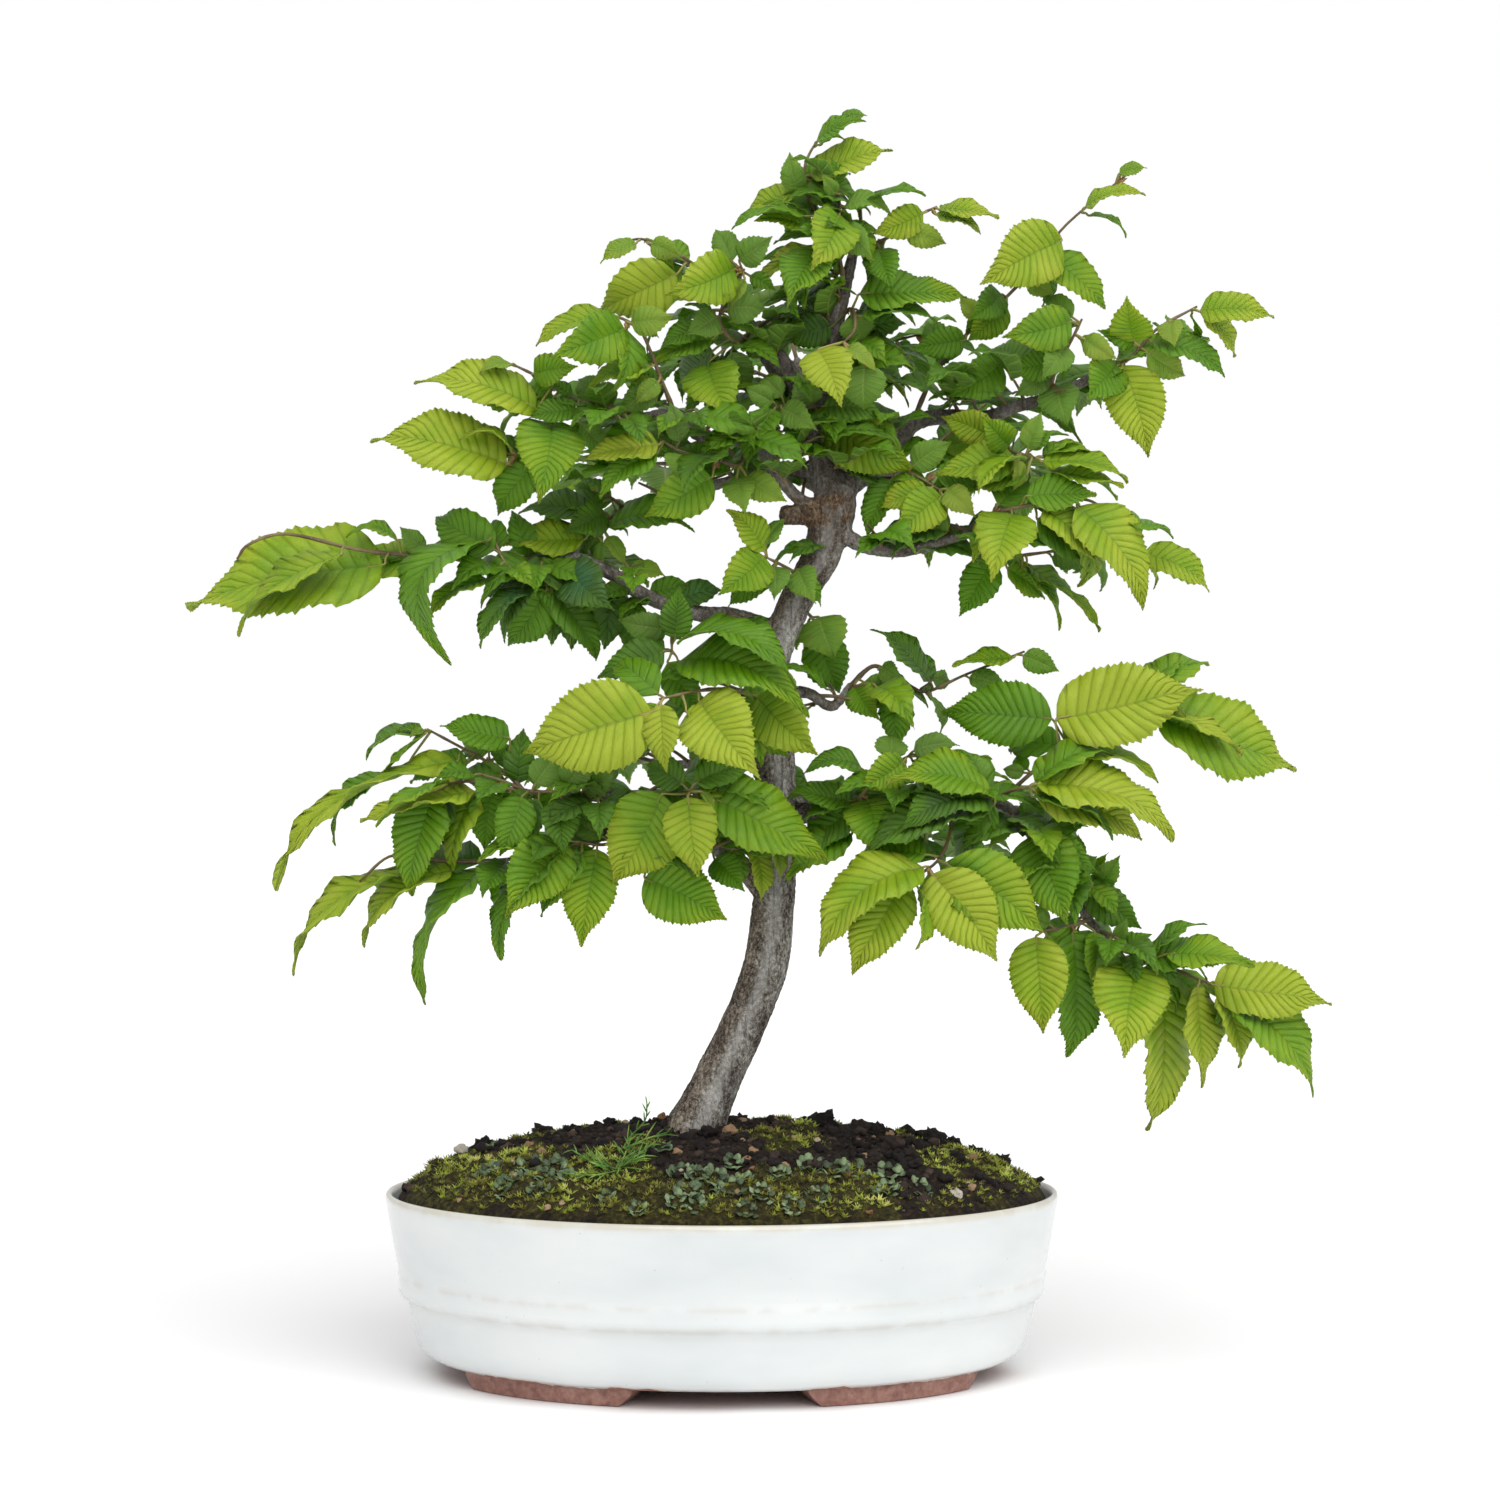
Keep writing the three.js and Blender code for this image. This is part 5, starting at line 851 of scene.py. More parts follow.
# Shoots whose leaves are mostly dark
DARK_SHOOTS = {
    "behind_trunk", "centre_dark", "low_left_blue", "left_curl", "low_right_inner", "low_left_mid",
    "low_right_near", "low_right_drop", "low_left_under", "back_left_inner", "back_right_inner",
    "back_left_high_inner", "back_right_high_inner", "back_left_mid", "back_top_left", "back_top_right",
}

# How near drawn leaves count as round a tip; the stalk of a leaf, its width and bow as shares of its length
DRAWN_NEAR = 42
FAR_STALK, FAR_RATIO, FAR_BOW = 3, 0.54, 0.14
SECOND_SHORTEST, SECOND_LONGEST = 12, 34
SPUR_SHORTEST, SPUR_LONGER = 9, 13
SPUR_LEAF_SHORTEST, SPUR_LEAF_LONGER = 15, 16
SPUR_RADII = (0.9, 0.7, 0.5)
SHOOT_SEED, GAP_SEED = 7, 11
SCALE_SHARE = 0.14


def leaves_room(blade, middles):
    """Whether a leaf stays out of the sky and has drawn leaves on three sides of its tip."""
    spots = [as_seen(blade.base.lerp(blade.tip, share)) for share in (0.35, 0.7, 1)]
    if any(inside(place, spot) for spot in spots for place in SKY):
        return False
    across, up = spots[-1]
    near = [(x - across, z - up) for x, z in middles if math.hypot(x - across, z - up) < DRAWN_NEAR]
    return len({(x > 0, z > 0) for x, z in near}) >= 3


def far_blade(root, heading, length, up, tone):
    heading = heading.normalized()
    base = root + heading * FAR_STALK
    up = (up - heading * up.dot(heading)).normalized()
    return Blade(root, base, base + heading * length, FAR_RATIO * length, up, FAR_BOW, tone, far=True)


def second_rank(blade, draws):
    """A smaller and darker leaf from the same bud, behind the drawn one and turned away from it."""
    ahead = blade.tip - blade.base
    length = ahead.length * (0.5 + 0.35 * next(draws))
    length = min(max(length, SECOND_SHORTEST), SECOND_LONGEST)
    heading = Matrix.Rotation((next(draws) - 0.5) * 2.2, 3, "Y") @ ahead.normalized()
    heading.y += 0.1 + 0.8 * next(draws)
    up = blade.up + Vector((0.8 * (next(draws) - 0.5), 0, 0.5))
    return far_blade(blade.root + Vector((0, 1.5, 0)), heading, length, up, 0.2 + blade.tone * 0.55)


def spur_leaves(path, draws):
    """Short twigs along a branch, each with three leaves: their paths and blades."""
    spurs = []
    rows = smooth_path(path, 4)
    for k in range(3, len(rows) - 1, 2):
        start = seen(*rows[k][:3])
        ahead = (seen(*rows[k + 1][:3]) - start).normalized()
        turn = 6.283 * next(draws)
        out = Vector((math.cos(turn), math.sin(turn) * 1.1, 0.35 * math.sin(2 * turn) + 0.25))
        out = (out + ahead * 0.35).normalized()
        end = start + out * (SPUR_SHORTEST + SPUR_LONGER * next(draws))
        blades = []
        for side in (-1, 0, 1):
            swing = side + 0.5 * (next(draws) - 0.5)
            heading = Matrix.Rotation(swing, 3, "Z") @ out
            heading.z -= 0.15 + 0.6 * next(draws)
            up = Vector((0.7 * (next(draws) - 0.5), -0.55, 0.8))
            tone = 0.22 + 0.4 * next(draws)
            root = start.lerp(end, 0.55 if side else 1)
            length = SPUR_LEAF_SHORTEST + SPUR_LEAF_LONGER * next(draws)
            blades.append(far_blade(root, heading, length, up, tone))
        spurs.append(([start, start.lerp(end, 0.5) + Vector((0, 0, 0.8)), end], blades))
    return spurs


def drawn_leaves():
    """Each shoot's name and stem, and its leaves with the bends that they have in the model."""
    draws = seeded_draws(BACK_SEED)
    for name, (stem, leaves) in SHOOTS.items():
        yield name, stem, [as_bent(f"spray_{name}", place_leaf, stem, *leaf) for leaf in leaves]
    for name, (tone, stem) in BACK_SHOOTS.items():
        drawn = [[next(draws) for _ in range(3)] for _ in range(BACK_LEAVES)]
        yield name, stem, [as_bent(f"spray_{name}", place_back_leaf, stem, i, some, tone)
                           for i, some in enumerate(drawn)]


def gap_leaves():
    for across, up, depth, tip_across, tip_up, tone in GAP_LEAVES:
        root, tip = seen(across, up, depth), seen(tip_across, tip_up, depth + 4)
        yield far_blade(root, tip - root, (tip - root).length - FAR_STALK, Vector((0.2, -1, 0.4)), tone)


def make_shoots():
    draws = seeded_draws(SHOOT_SEED)
    leaf_look = leaf_material()
    twigs, scales = [], []
    shoots = list(drawn_leaves())
    middles = [as_seen(blade.base.lerp(blade.tip, 0.5)) for _, _, blades in shoots for blade in blades]
    for name, stem, blades in shoots:
        behind = [second_rank(blade, draws) for blade in blades]
        blades_and_behind = blades + [blade for blade in behind if leaves_room(blade, middles)]
        slot = "leaf_dark" if name in DARK_SHOOTS else "leaf_bright"
        make_leaves(f"leaves_{name}", blades_and_behind, draws, leaf_look, slot, f"spray_{name}")
        twigs.append(twig_parts(stem))
        for blade in blades:
            if next(draws) < SCALE_SHARE:
                scales += scale_parts(blade, draws)
    for name, path in WOOD.items():
        if name in ("trunk", "stub_left"):
            continue
        inner = []
        for spur, blades in spur_leaves(path, draws):
            kept = [blade for blade in blades if leaves_room(blade, middles)]
            if kept:
                inner += kept
                rows = [(*point, radius) for point, radius in zip(spur, SPUR_RADII)]
                twigs.append(tube(smooth_path(rows, 3), TWIG_SIDES))
        if inner:
            make_leaves(f"inner_leaves_{name}", inner, draws, leaf_look, "leaf_dark")
    make_leaves("inner_leaves_gaps", gap_leaves(), seeded_draws(GAP_SEED), leaf_look, "leaf_dark")
    for name, parts, look in (("twigs", twigs, twig_material()), ("bud_scales", scales, scale_material())):
        points, faces = gather(parts)
        piece = mesh_piece(name, in_frame(points), faces)
        piece.data.materials.append(look)
        settle(piece, "bark")


# Finishes


def shade(red, green, blue):
    """A colour given as it is seen, from 0 to 255, as the shaders count it."""
    def plain(value):
        value /= 255
        return value / 12.92 if value <= 0.04045 else ((value + 0.055) / 1.055) ** 2.4
    return (plain(red), plain(green), plain(blue), 1)


class Finish:
    """A material with one shader, and short ways to add its nodes."""

    def __init__(self, name, **settings):
        self.material = bpy.data.materials.new(name)
        self.material.use_nodes = True
        self.tree = self.material.node_tree
        self.tree.nodes.clear()
        self.shader = self.node("BsdfPrincipled")
        for name, value in settings.items():
            self.set(name.replace("_", " ").title().replace("Ior", "IOR"), value)
        self.node("OutputMaterial", Surface=self.shader.outputs["BSDF"])

    def feed(self, socket, value):
        """Gives an input a plain value, or joins it to another node's output."""
        if isinstance(value, bpy.types.NodeSocket):
            self.tree.links.new(value, socket)
        else:
            socket.default_value = value

    def set(self, socket, value):
        self.feed(self.shader.inputs[socket], value)

    def node(self, kind, **inputs):
        node = self.tree.nodes.new(f"ShaderNode{kind}")
        for name, value in inputs.items():
            self.feed(node.inputs[name], value)
        return node

    def place(self, stretch=(1, 1, 1)):
        where = self.node("TexCoord").outputs["Object"]
        return self.node("Mapping", Vector=where, Scale=stretch).outputs["Vector"]

    def value(self, name):
        node = self.node("Attribute")
        node.attribute_name = name
        return node.outputs["Fac"]

    def clouds(self, vector, scale, detail=4, rough=0.55, warp=0):
        node = self.node(
            "TexNoise", Vector=vector, Scale=scale, Detail=detail, Roughness=rough, Distortion=warp)
        return node.outputs["Fac"]

    def cells(self, vector, scale, feature="F1"):
        node = self.node("TexVoronoi", Vector=vector, Scale=scale)
        node.feature = feature
        return node.outputs["Distance"]

    def sum(self, kind, first, second=0.0):
        node = self.node("Math")
        node.operation = kind
        for socket, value in zip(node.inputs, (first, second)):
            self.feed(socket, value)
        return node.outputs["Value"]

    def plus(self, first, second):
        return self.sum("ADD", first, second)

    def times(self, first, second):
        return self.sum("MULTIPLY", first, second)

    def band(self, value, low, high, to_low=0.0, to_high=1.0):
        """Goes softly from one value to the other as the given one goes from low to high."""
        node = self.node("MapRange")
        node.interpolation_type = "SMOOTHSTEP"
        for socket, given in zip(node.inputs, (value, low, high, to_low, to_high)):
            self.feed(socket, given)
        return node.outputs["Result"]

    def ramp(self, value, stops):
        node = self.node("ValToRGB", Fac=value)
        elements = node.color_ramp.elements
        while len(elements) < len(stops):
            elements.new(0.5)
        for element, (position, colour) in zip(elements, stops):
            element.position = position
            element.color = shade(*colour)
        return node.outputs["Color"]

    def blend(self, share, first, second):
        """The first colour, with a share of the second over it."""
        node = self.node("Mix", Factor=share)
        node.data_type = "RGBA"
        for name, value in (("A", first), ("B", second)):
            socket = next(s for s in node.inputs if s.name == name and s.type == "RGBA")
            self.feed(socket, shade(*value) if isinstance(value, tuple) else value)
        return next(s for s in node.outputs if s.type == "RGBA")

    def relief(self, height, depth, strength=1.0, below=None):
        node = self.node("Bump", Distance=depth * MM, Strength=strength, Height=height)
        if below is not None:
            self.feed(node.inputs["Normal"], below)
        return node.outputs["Normal"]


def leaf_material():
    look = Finish("hornbeam_leaf", subsurface_weight=0.45, subsurface_scale=0.0012, specular_ior_level=0.4)
    look.set("Subsurface Radius", (0.7, 1.0, 0.2))
    tone, vein, out = look.value("tone"), look.value("vein"), look.value("out")
    under, stalk = look.value("under"), look.value("stalk")
    here = look.place()
    patch = look.clouds(here, 55, 3)
    across = look.sum("ABSOLUTE", out)
    outer = look.plus(look.times(across, 0.12), look.times(vein, 0.012))
    tone = look.plus(tone, look.plus(look.band(patch, 0.3, 0.7, -0.16, 0.03), outer))
    colour = look.ramp(tone, [
        (0.0, (60, 106, 64)), (0.1, (58, 93, 34)), (0.25, (72, 109, 14)), (0.45, (84, 128, 4)),
        (0.65, (94, 138, 3)), (0.85, (128, 157, 12)), (1.0, (155, 171, 38))])
    off_vein = look.sum("ABSOLUTE", look.sum("SUBTRACT", look.sum("FRACT", look.plus(vein, 0.5)), 0.5))
    groove = look.band(off_vein, 0.01, 0.12, 1, 0)
    midrib = look.band(across, 0.015, 0.07, 1, 0)
    veins = look.sum("MAXIMUM", look.times(groove, look.band(across, 0.96, 1, 1, 0)), midrib)
    # Painted shade: on the upper side the veins are darkened towards a deep green, for the shade in the
    # grooves they lie in; on the underside they are paler, which is their own colour.
    deep = look.blend(0.5, colour, (40, 68, 12))
    upper = look.blend(look.times(veins, 0.42), colour, deep)
    pale = look.blend(0.55, colour, (176, 190, 96))
    lower = look.blend(look.times(veins, 0.8), colour, pale)
    colour = look.blend(under, upper, lower)
    colour = look.blend(look.times(under, 0.4), colour, (112, 144, 62))
    colour = look.blend(stalk, colour, look.ramp(tone, [
        (0, (88, 88, 48)), (0.5, (128, 126, 60)), (1, (158, 148, 84))]))
    look.set("Base Color", colour)
    gloss = look.band(tone, 0, 1, 0.35, 0.48)
    look.set("Roughness", look.plus(gloss, look.times(under, 0.15)))
    spot = look.node("CombineXYZ", X=vein, Y=look.times(out, 5.5), Z=under)
    net = look.cells(spot.outputs["Vector"], 4.5, "DISTANCE_TO_EDGE")
    fine = look.relief(look.band(net, 0, 0.25), 0.2, 0.55)
    look.set("Normal", look.relief(look.band(off_vein, 0, 0.2), 0.45, 0.7, fine))
    return look.material


def twig_material():
    look = Finish("young_twig", roughness=0.5, specular_ior_level=0.4)
    here = look.place()
    colour = look.ramp(look.clouds(here, 70, 4), [
        (0.3, (70, 56, 40)), (0.5, (106, 88, 60)), (0.7, (138, 122, 84))])
    pale = look.band(look.cells(here, 900), 0.12, 0.2, 1, 0)
    look.set("Base Color", look.blend(look.times(pale, 0.5), colour, (186, 160, 128)))
    look.set("Normal", look.relief(look.clouds(here, 900, 3), 0.12, 0.6))
    return look.material


def scale_material():
    look = Finish("dry_bud_scale", roughness=0.6, subsurface_weight=0.2, subsurface_scale=0.001)
    here = look.place((1, 1, 0.3))
    look.set("Base Color", look.ramp(look.clouds(here, 260, 4), [
        (0.3, (120, 78, 52)), (0.5, (164, 122, 84)), (0.72, (190, 160, 116))]))
    look.set("Normal", look.relief(look.clouds(here, 1500, 2), 0.1, 0.5))
    return look.material


def bark_material():
    look = Finish("grey_bark", roughness=0.8, specular_ior_level=0.25)
    here = look.place()
    grain = look.clouds(look.place((1, 1, 0.7)), 800, 5, 0.75, 0.3)
    patch = look.clouds(look.place((1, 1, 0.35)), 110, 4, 0.6)
    level = look.plus(grain, look.band(patch, 0.3, 0.7, -0.1, 0.1))
    colour = look.ramp(level, [
        (0.3, (44, 38, 33)), (0.41, (88, 79, 70)), (0.5, (130, 125, 117)), (0.59, (170, 166, 159)),
        (0.7, (216, 213, 208))])
    left = look.value("left")
    # Painted highlight: a pale grey streak down the trunk, from its middle to a little right of it.
    pale = look.times(look.band(left, -0.5, -0.15), look.band(left, 0, 0.35, 1, 0))
    colour = look.blend(look.times(pale, 0.4), colour, (190, 188, 184))
    # Painted shade: the left side of the trunk is darker and browner.
    colour = look.blend(look.band(left, 0.1, 0.7, 0, 0.6), colour, look.ramp(level, [
        (0.35, (38, 28, 20)), (0.5, (84, 66, 48)), (0.65, (152, 130, 102))]))
    cracks = look.band(look.clouds(look.place((1, 1, 0.12)), 420, 3, 0.6), 0.36, 0.45, 1, 0)
    colour = look.blend(look.times(cracks, 0.5), colour, (46, 37, 29))
    specks = look.band(look.cells(look.place((1, 1, 1.5)), 620), 0.1, 0.3, 1, 0)
    colour = look.blend(look.times(specks, 0.6), colour, (206, 196, 178))
    # Darker and browner from 290 mm up the trunk and on the branches.
    darker_brown_share = look.value("darker_brown_share")
    colour = look.blend(look.times(darker_brown_share, 0.5), colour, (70, 56, 44))
    raw = look.times(look.value("raw"), look.band(look.clouds(here, 150, 4), 0.35, 0.55))
    colour = look.blend(look.times(raw, 0.75), colour, look.ramp(grain, [
        (0.35, (48, 34, 24)), (0.5, (98, 74, 52)), (0.65, (158, 130, 98))]))
    look.set("Base Color", colour)
    coarse = look.relief(level, 1.1, 0.9)
    fine = look.relief(look.clouds(here, 1500, 4, 0.65), 0.3, 0.7, coarse)
    look.set("Normal", look.relief(look.sum("SUBTRACT", specks, cracks), 0.5, 0.7, fine))
    return look.material


def pot_material():
    look = Finish("cream_glaze_on_red_clay", coat_weight=0.35, coat_roughness=0.12, specular_ior_level=0.5)
    here = look.place()
    height = look.node("SeparateXYZ", Vector=here).outputs["Z"]
    mist = look.clouds(look.place((1, 1, 2.5)), 16, 3)
    glaze = look.ramp(mist, [(0.3, (208, 213, 213)), (0.5, (215, 219, 219)), (0.7, (221, 224, 223))])
    cream = look.band(height, 68.5 * MM, 71.4 * MM)
    glaze = look.blend(look.times(cream, 0.7), glaze, (205, 201, 186))
    thin = look.times(look.value("thin"), look.band(look.clouds(here, 90, 4), 0.35, 0.6))
    glaze = look.blend(look.times(thin, 0.5), glaze, (184, 170, 150))
    specks = look.band(look.cells(here, 240), 0.05, 0.09, 1, 0)
    kept = look.band(look.clouds(here, 60, 2), 0.5, 0.62)
    specks = look.times(look.times(specks, kept), 0.35)
    glaze = look.blend(specks, glaze, (150, 130, 108))
    grain = look.clouds(here, 320, 5, 0.65)
    clay = look.ramp(grain, [(0.3, (116, 78, 68)), (0.5, (144, 102, 90)), (0.72, (168, 128, 114))])
    edge = look.plus(look.value("edge"), look.band(look.clouds(here, 34, 4, 0.6), 0.3, 0.7, -0.9, 0.9))
    bare = look.band(edge, -0.12, 0.12, 1, 0)
    halo = look.times(look.band(edge, 0.1, 0.9, 1, 0), 0.5)
    glaze = look.blend(halo, glaze, (194, 184, 170))
    look.set("Base Color", look.blend(bare, glaze, clay))
    look.set("Roughness", look.band(bare, 0, 1, 0.2, 0.85))
    soft = look.relief(look.clouds(here, 38, 3), 0.5, 0.35)
    look.set("Normal", look.relief(look.times(grain, bare), 0.5, 0.8, soft))
    return look.material


def soil_material():
    look = Finish("potting_soil", roughness=0.9, specular_ior_level=0.25)
    here = look.place()
    crumb = look.clouds(here, 420, 6, 0.7)
    dark = look.ramp(crumb, [
        (0.3, (14, 11, 9)), (0.5, (34, 26, 20)), (0.66, (62, 48, 36)), (0.8, (92, 74, 56))])
    green = look.ramp(crumb, [(0.3, (20, 18, 9)), (0.5, (50, 46, 20)), (0.7, (94, 88, 38))])
    look.set("Base Color", look.blend(look.band(look.value("moss"), 0.25, 0.7), dark, green))
    rough = look.relief(crumb, 1.6, 1.0)
    look.set("Normal", look.relief(look.cells(here, 330), 1.2, 0.7, rough))
    return look.material


def grit_material(name, stops, grain):
    look = Finish(name, roughness=0.85, specular_ior_level=0.3)
    here = look.place()
    cloudy = look.times(look.clouds(here, grain, 4), 0.25)
    own = look.plus(look.times(look.value("tone"), 0.75), cloudy)
    look.set("Base Color", look.ramp(own, stops))
    look.set("Normal", look.relief(look.clouds(here, grain * 2.4, 4, 0.7), 0.7, 0.8))
    return look.material


def growth_material(name, stops, roughness, scatter=0.25):
    look = Finish(name, roughness=roughness, subsurface_weight=scatter, subsurface_scale=0.001)
    look.set("Subsurface Radius", (0.6, 1.0, 0.2))
    here = look.place()
    own = look.plus(look.value("tone"), look.band(look.clouds(here, 160, 3), 0.3, 0.7, -0.12, 0.12))
    look.set("Base Color", look.ramp(own, stops))
    look.set("Normal", look.relief(look.clouds(here, 1400, 2), 0.15, 0.5))
    return look.material


def net_material():
    look = Finish("black_plastic_net", roughness=0.45, specular_ior_level=0.5)
    here = look.place()
    look.set("Base Color", look.ramp(look.clouds(here, 200, 3), [(0.3, (20, 21, 22)), (0.7, (38, 39, 40))]))
    look.set("Normal", look.relief(look.clouds(here, 1600, 3), 0.1, 0.4))
    return look.material


# Wood


# Radius from which a limb gets more sides; the grid of its surface and the share of it that is kept; the
# depth of the bark's furrows and lumps; and how far up the trunk's own bark reaches
THICK_LIMB = 6
WOOD_GRID, WOOD_KEPT = 0.8, 0.3
FURROW_DEEP, LUMP_DEEP = 0.55, 0.28
TRUNK_TOP = 345
# The raw wood of the torn stub: from and to, its height, slope and half its height
RAW_FROM, RAW_TO, RAW_UP, RAW_SLOPE, RAW_HALF = 20, 52, 342.5, 0.12, 6


def seen_rows(path):
    return np.array([(*seen(*place), radius) for *place, radius in path])


def bark_lift(point, on_trunk):
    """How far the bark stands out at a point: long furrows, half as deep on branches, and small lumps."""
    place = Vector(point)
    furrows = noise.fractal(Vector((place.x, place.y, place.z * 0.22)) * 0.16, 1, 2, 3)
    return FURROW_DEEP * furrows * (1 if on_trunk else 0.5) + LUMP_DEEP * noise.fractal(place * 0.7, 1, 2, 3)


def make_wood():
    tubes = []
    for path in WOOD.values():
        steps, sides = (10, 32) if path[0][3] > THICK_LIMB else (6, 16)
        points, faces = tube(smooth_path(seen_rows(path), steps), sides)
        tubes.append(mesh_piece("limb", in_frame(points), faces))
    wood = join_pieces("trunk", tubes)
    apply_modifier(wood, "REMESH", mode="VOXEL", voxel_size=WOOD_GRID * MM, use_smooth_shade=True)
    apply_modifier(wood, "SMOOTH", factor=0.5, iterations=4)
    points, normals = vertex_rows(wood.data, "co") / MM, vertex_rows(wood.data, "normal")
    trunk = seen_rows(WOOD["trunk"])
    centre = np.interp(points[:, 2], trunk[:, 2], trunk[:, 0]) + SHIFT.x
    girth = np.interp(points[:, 2], trunk[:, 2], trunk[:, 3])
    round_x, round_y = (points[:, 0] - centre) / girth, (points[:, 1] - SHIFT.y) / girth
    on_trunk = (np.abs(round_x) < 1.5) & (np.abs(round_y) < 1.5) & (points[:, 2] < TRUNK_TOP)
    points += normals * np.array([[bark_lift(point, on)] for point, on in zip(points, on_trunk)])
    wood.data.vertices.foreach_set("co", (points * MM).ravel())
    wood.data.update()
    across, up = points[:, 0] - SHIFT.x, points[:, 2]
    raw_up = RAW_UP + RAW_SLOPE * (across - (RAW_FROM + RAW_TO) / 2)
    raw = (np.abs(up - raw_up) < RAW_HALF) & (across > RAW_FROM) & (across < RAW_TO)
    # How far round to the left each point of the trunk lies, which places the bark's painted highlight and
    # painted shade; 0.2 on the branches.
    point_values(wood, "left", np.where(on_trunk, -round_x, 0.2))
    point_values(wood, "raw", raw & (points[:, 1] < SHIFT.y + 2))
    # Up the trunk from 290 mm, and on the branches, the bark is darker and browner.
    point_values(wood, "darker_brown_share", np.maximum(np.clip((up - 290) / 40, 0, 1), ~on_trunk * 0.8))
    apply_modifier(wood, "DECIMATE", ratio=WOOD_KEPT)
    wood.data.shade_smooth()
    wood.data.materials.append(bark_material())
    return settle(wood, "bark", "trunk_and_branches")


# Pot


def oval(radius):
    return radius, max(radius - POT_OFFSET, POT_SLIMMEST * radius)


def place_of_pot():
    return Matrix.Translation((SHIFT.x * MM, SHIFT.y * MM, 0))


POT_CORNERS, DRAIN_CORNERS = 144, 48
# How uneven the clay is, and how fast that changes
SWELL, SWELL_RUN = 0.35, 0.018
# Half-widths of an oval on the underside: outside it the glaze ends at its lower edge, inside it is none
BARE_WIDE, BARE_DEEP = 86.8, 64.4


def make_pot():
    deselect()
    bpy.ops.mesh.primitive_circle_add(vertices=POT_CORNERS, radius=1, fill_type="NOTHING")
    pot = bpy.context.object
    pot.name = "glazed_pot"
    bpy.ops.object.mode_set(mode="EDIT")
    bpy.ops.mesh.select_all(action="SELECT")
    wide, deep, level = 1, 1, 0
    for i, (radius, height) in enumerate(POT_PROFILE):
        rise = {"value": (0, 0, (height - level) * MM)}
        if i:
            bpy.ops.mesh.extrude_region_move(TRANSFORM_OT_translate=rise)
        else:
            bpy.ops.transform.translate(**rise)
        new_wide, new_deep = (size * MM for size in oval(radius))
        size = (new_wide / wide, new_deep / deep, 1)
        bpy.ops.transform.resize(value=size, center_override=(0, 0, height * MM))
        wide, deep, level = new_wide, new_deep, height
    bpy.ops.mesh.edge_face_add()
    bpy.ops.mesh.select_all(action="DESELECT")
    bpy.ops.object.mode_set(mode="OBJECT")
    for edge in pot.data.edges:
        edge.select = max(edge.vertices) < POT_CORNERS
    bpy.ops.object.mode_set(mode="EDIT")
    bpy.ops.mesh.edge_face_add()
    outwards_and_done()
    middle = (FOOT_FROM + FOOT_TO) / 2
    for angle in (middle, 180 - middle, 180 + middle, 360 - middle):
        cut(pot, make_foot(angle), "UNION")
    for side in (-1, 1):
        deselect()
        bpy.ops.mesh.primitive_cylinder_add(
            vertices=DRAIN_CORNERS, radius=DRAIN_RADIUS * MM, depth=DRAIN_CUT * MM,
            location=(side * DRAIN_X * MM, 0, DRAIN_MIDDLE * MM))
        cut(pot, bpy.context.object, "DIFFERENCE")
    shape_clay(pot)
    pot.data.materials.clear()
    pot.data.materials.append(pot_material())
    return settle(pot, "pot_glaze", "pot")


def cut(piece, tool, operation):
    apply_modifier(piece, "BOOLEAN", object=tool, operation=operation, solver="MANIFOLD")
    bpy.data.objects.remove(tool)


def make_foot(middle):
    """A curved foot under the pot's rim, with slanted ends, at an angle given in degrees."""
    deselect()
    bpy.ops.mesh.primitive_cube_add(size=2)
    foot = bpy.context.object
    bpy.ops.object.mode_set(mode="EDIT")
    bpy.ops.mesh.subdivide(number_cuts=15)
    bpy.ops.object.mode_set(mode="OBJECT")
    half = (FOOT_TO - FOOT_FROM) / 2
    for vertex in foot.data.vertices:
        along, out, up = vertex.co
        height = (up + 1) / 2 * FOOT_TOP
        slant = 1 - FOOT_SLANT * (1 - up) ** 1.6 / 2
        pinch = FOOT_PINCH * (1 - up) / 2
        radius = (FOOT_IN + FOOT_OUT) / 2 + out * ((FOOT_OUT - FOOT_IN) / 2 - pinch)
        angle = math.radians(middle + along * half * slant)
        wide, deep = oval(radius)
        vertex.co = (wide * math.cos(angle) * MM, deep * math.sin(angle) * MM, height * MM)
    apply_modifier(
        foot, "BEVEL", width=FOOT_BEVEL * MM, segments=3, limit_method="ANGLE", angle_limit=math.radians(50))
    return foot


def near_level(height, level, reach):
    return math.exp(-((height - level) / reach) ** 2)


def shape_clay(pot):
    """The slight unevenness of thrown clay, where the glaze is thin, and the height over its lower edge."""
    thin, edge = [], []
    for vertex in pot.data.vertices:
        place = vertex.co / MM
        swell = (SWELL * noise.noise(place * SWELL_RUN) - SWELL) * min(place.z / 20, 1)
        vertex.co += Vector((vertex.normal.x, vertex.normal.y, 0)) * swell * MM
        ridges = near_level(place.z, POT_RIDGE, 1.2) + near_level(place.z, POT_GROOVE, 1.6)
        thin.append(max(0.75 * near_level(place.z, POT_RIM, 1.6), 0.5 * ridges))
        outside = math.hypot(place.x / BARE_WIDE, place.y / BARE_DEEP) > 1
        if outside and place.z > 5:
            edge.append((place.z - GLAZE_EDGE) / 1.6)
        else:
            edge.append(-2 if place.z < 7 else 1.5)
    point_values(pot, "thin", thin)
    point_values(pot, "edge", edge)
    pot.data.transform(place_of_pot())
    pot.data.shade_smooth()
    pot.data.set_sharp_from_angle(angle=math.radians(38))


# Soil and what grows on it


def soil_share(x, y):
    """How far out a place lies: 0 in the pot's middle, 1 at the soil's edge."""
    return math.hypot(x / SOIL_REACH, y / SOIL_DEEP)


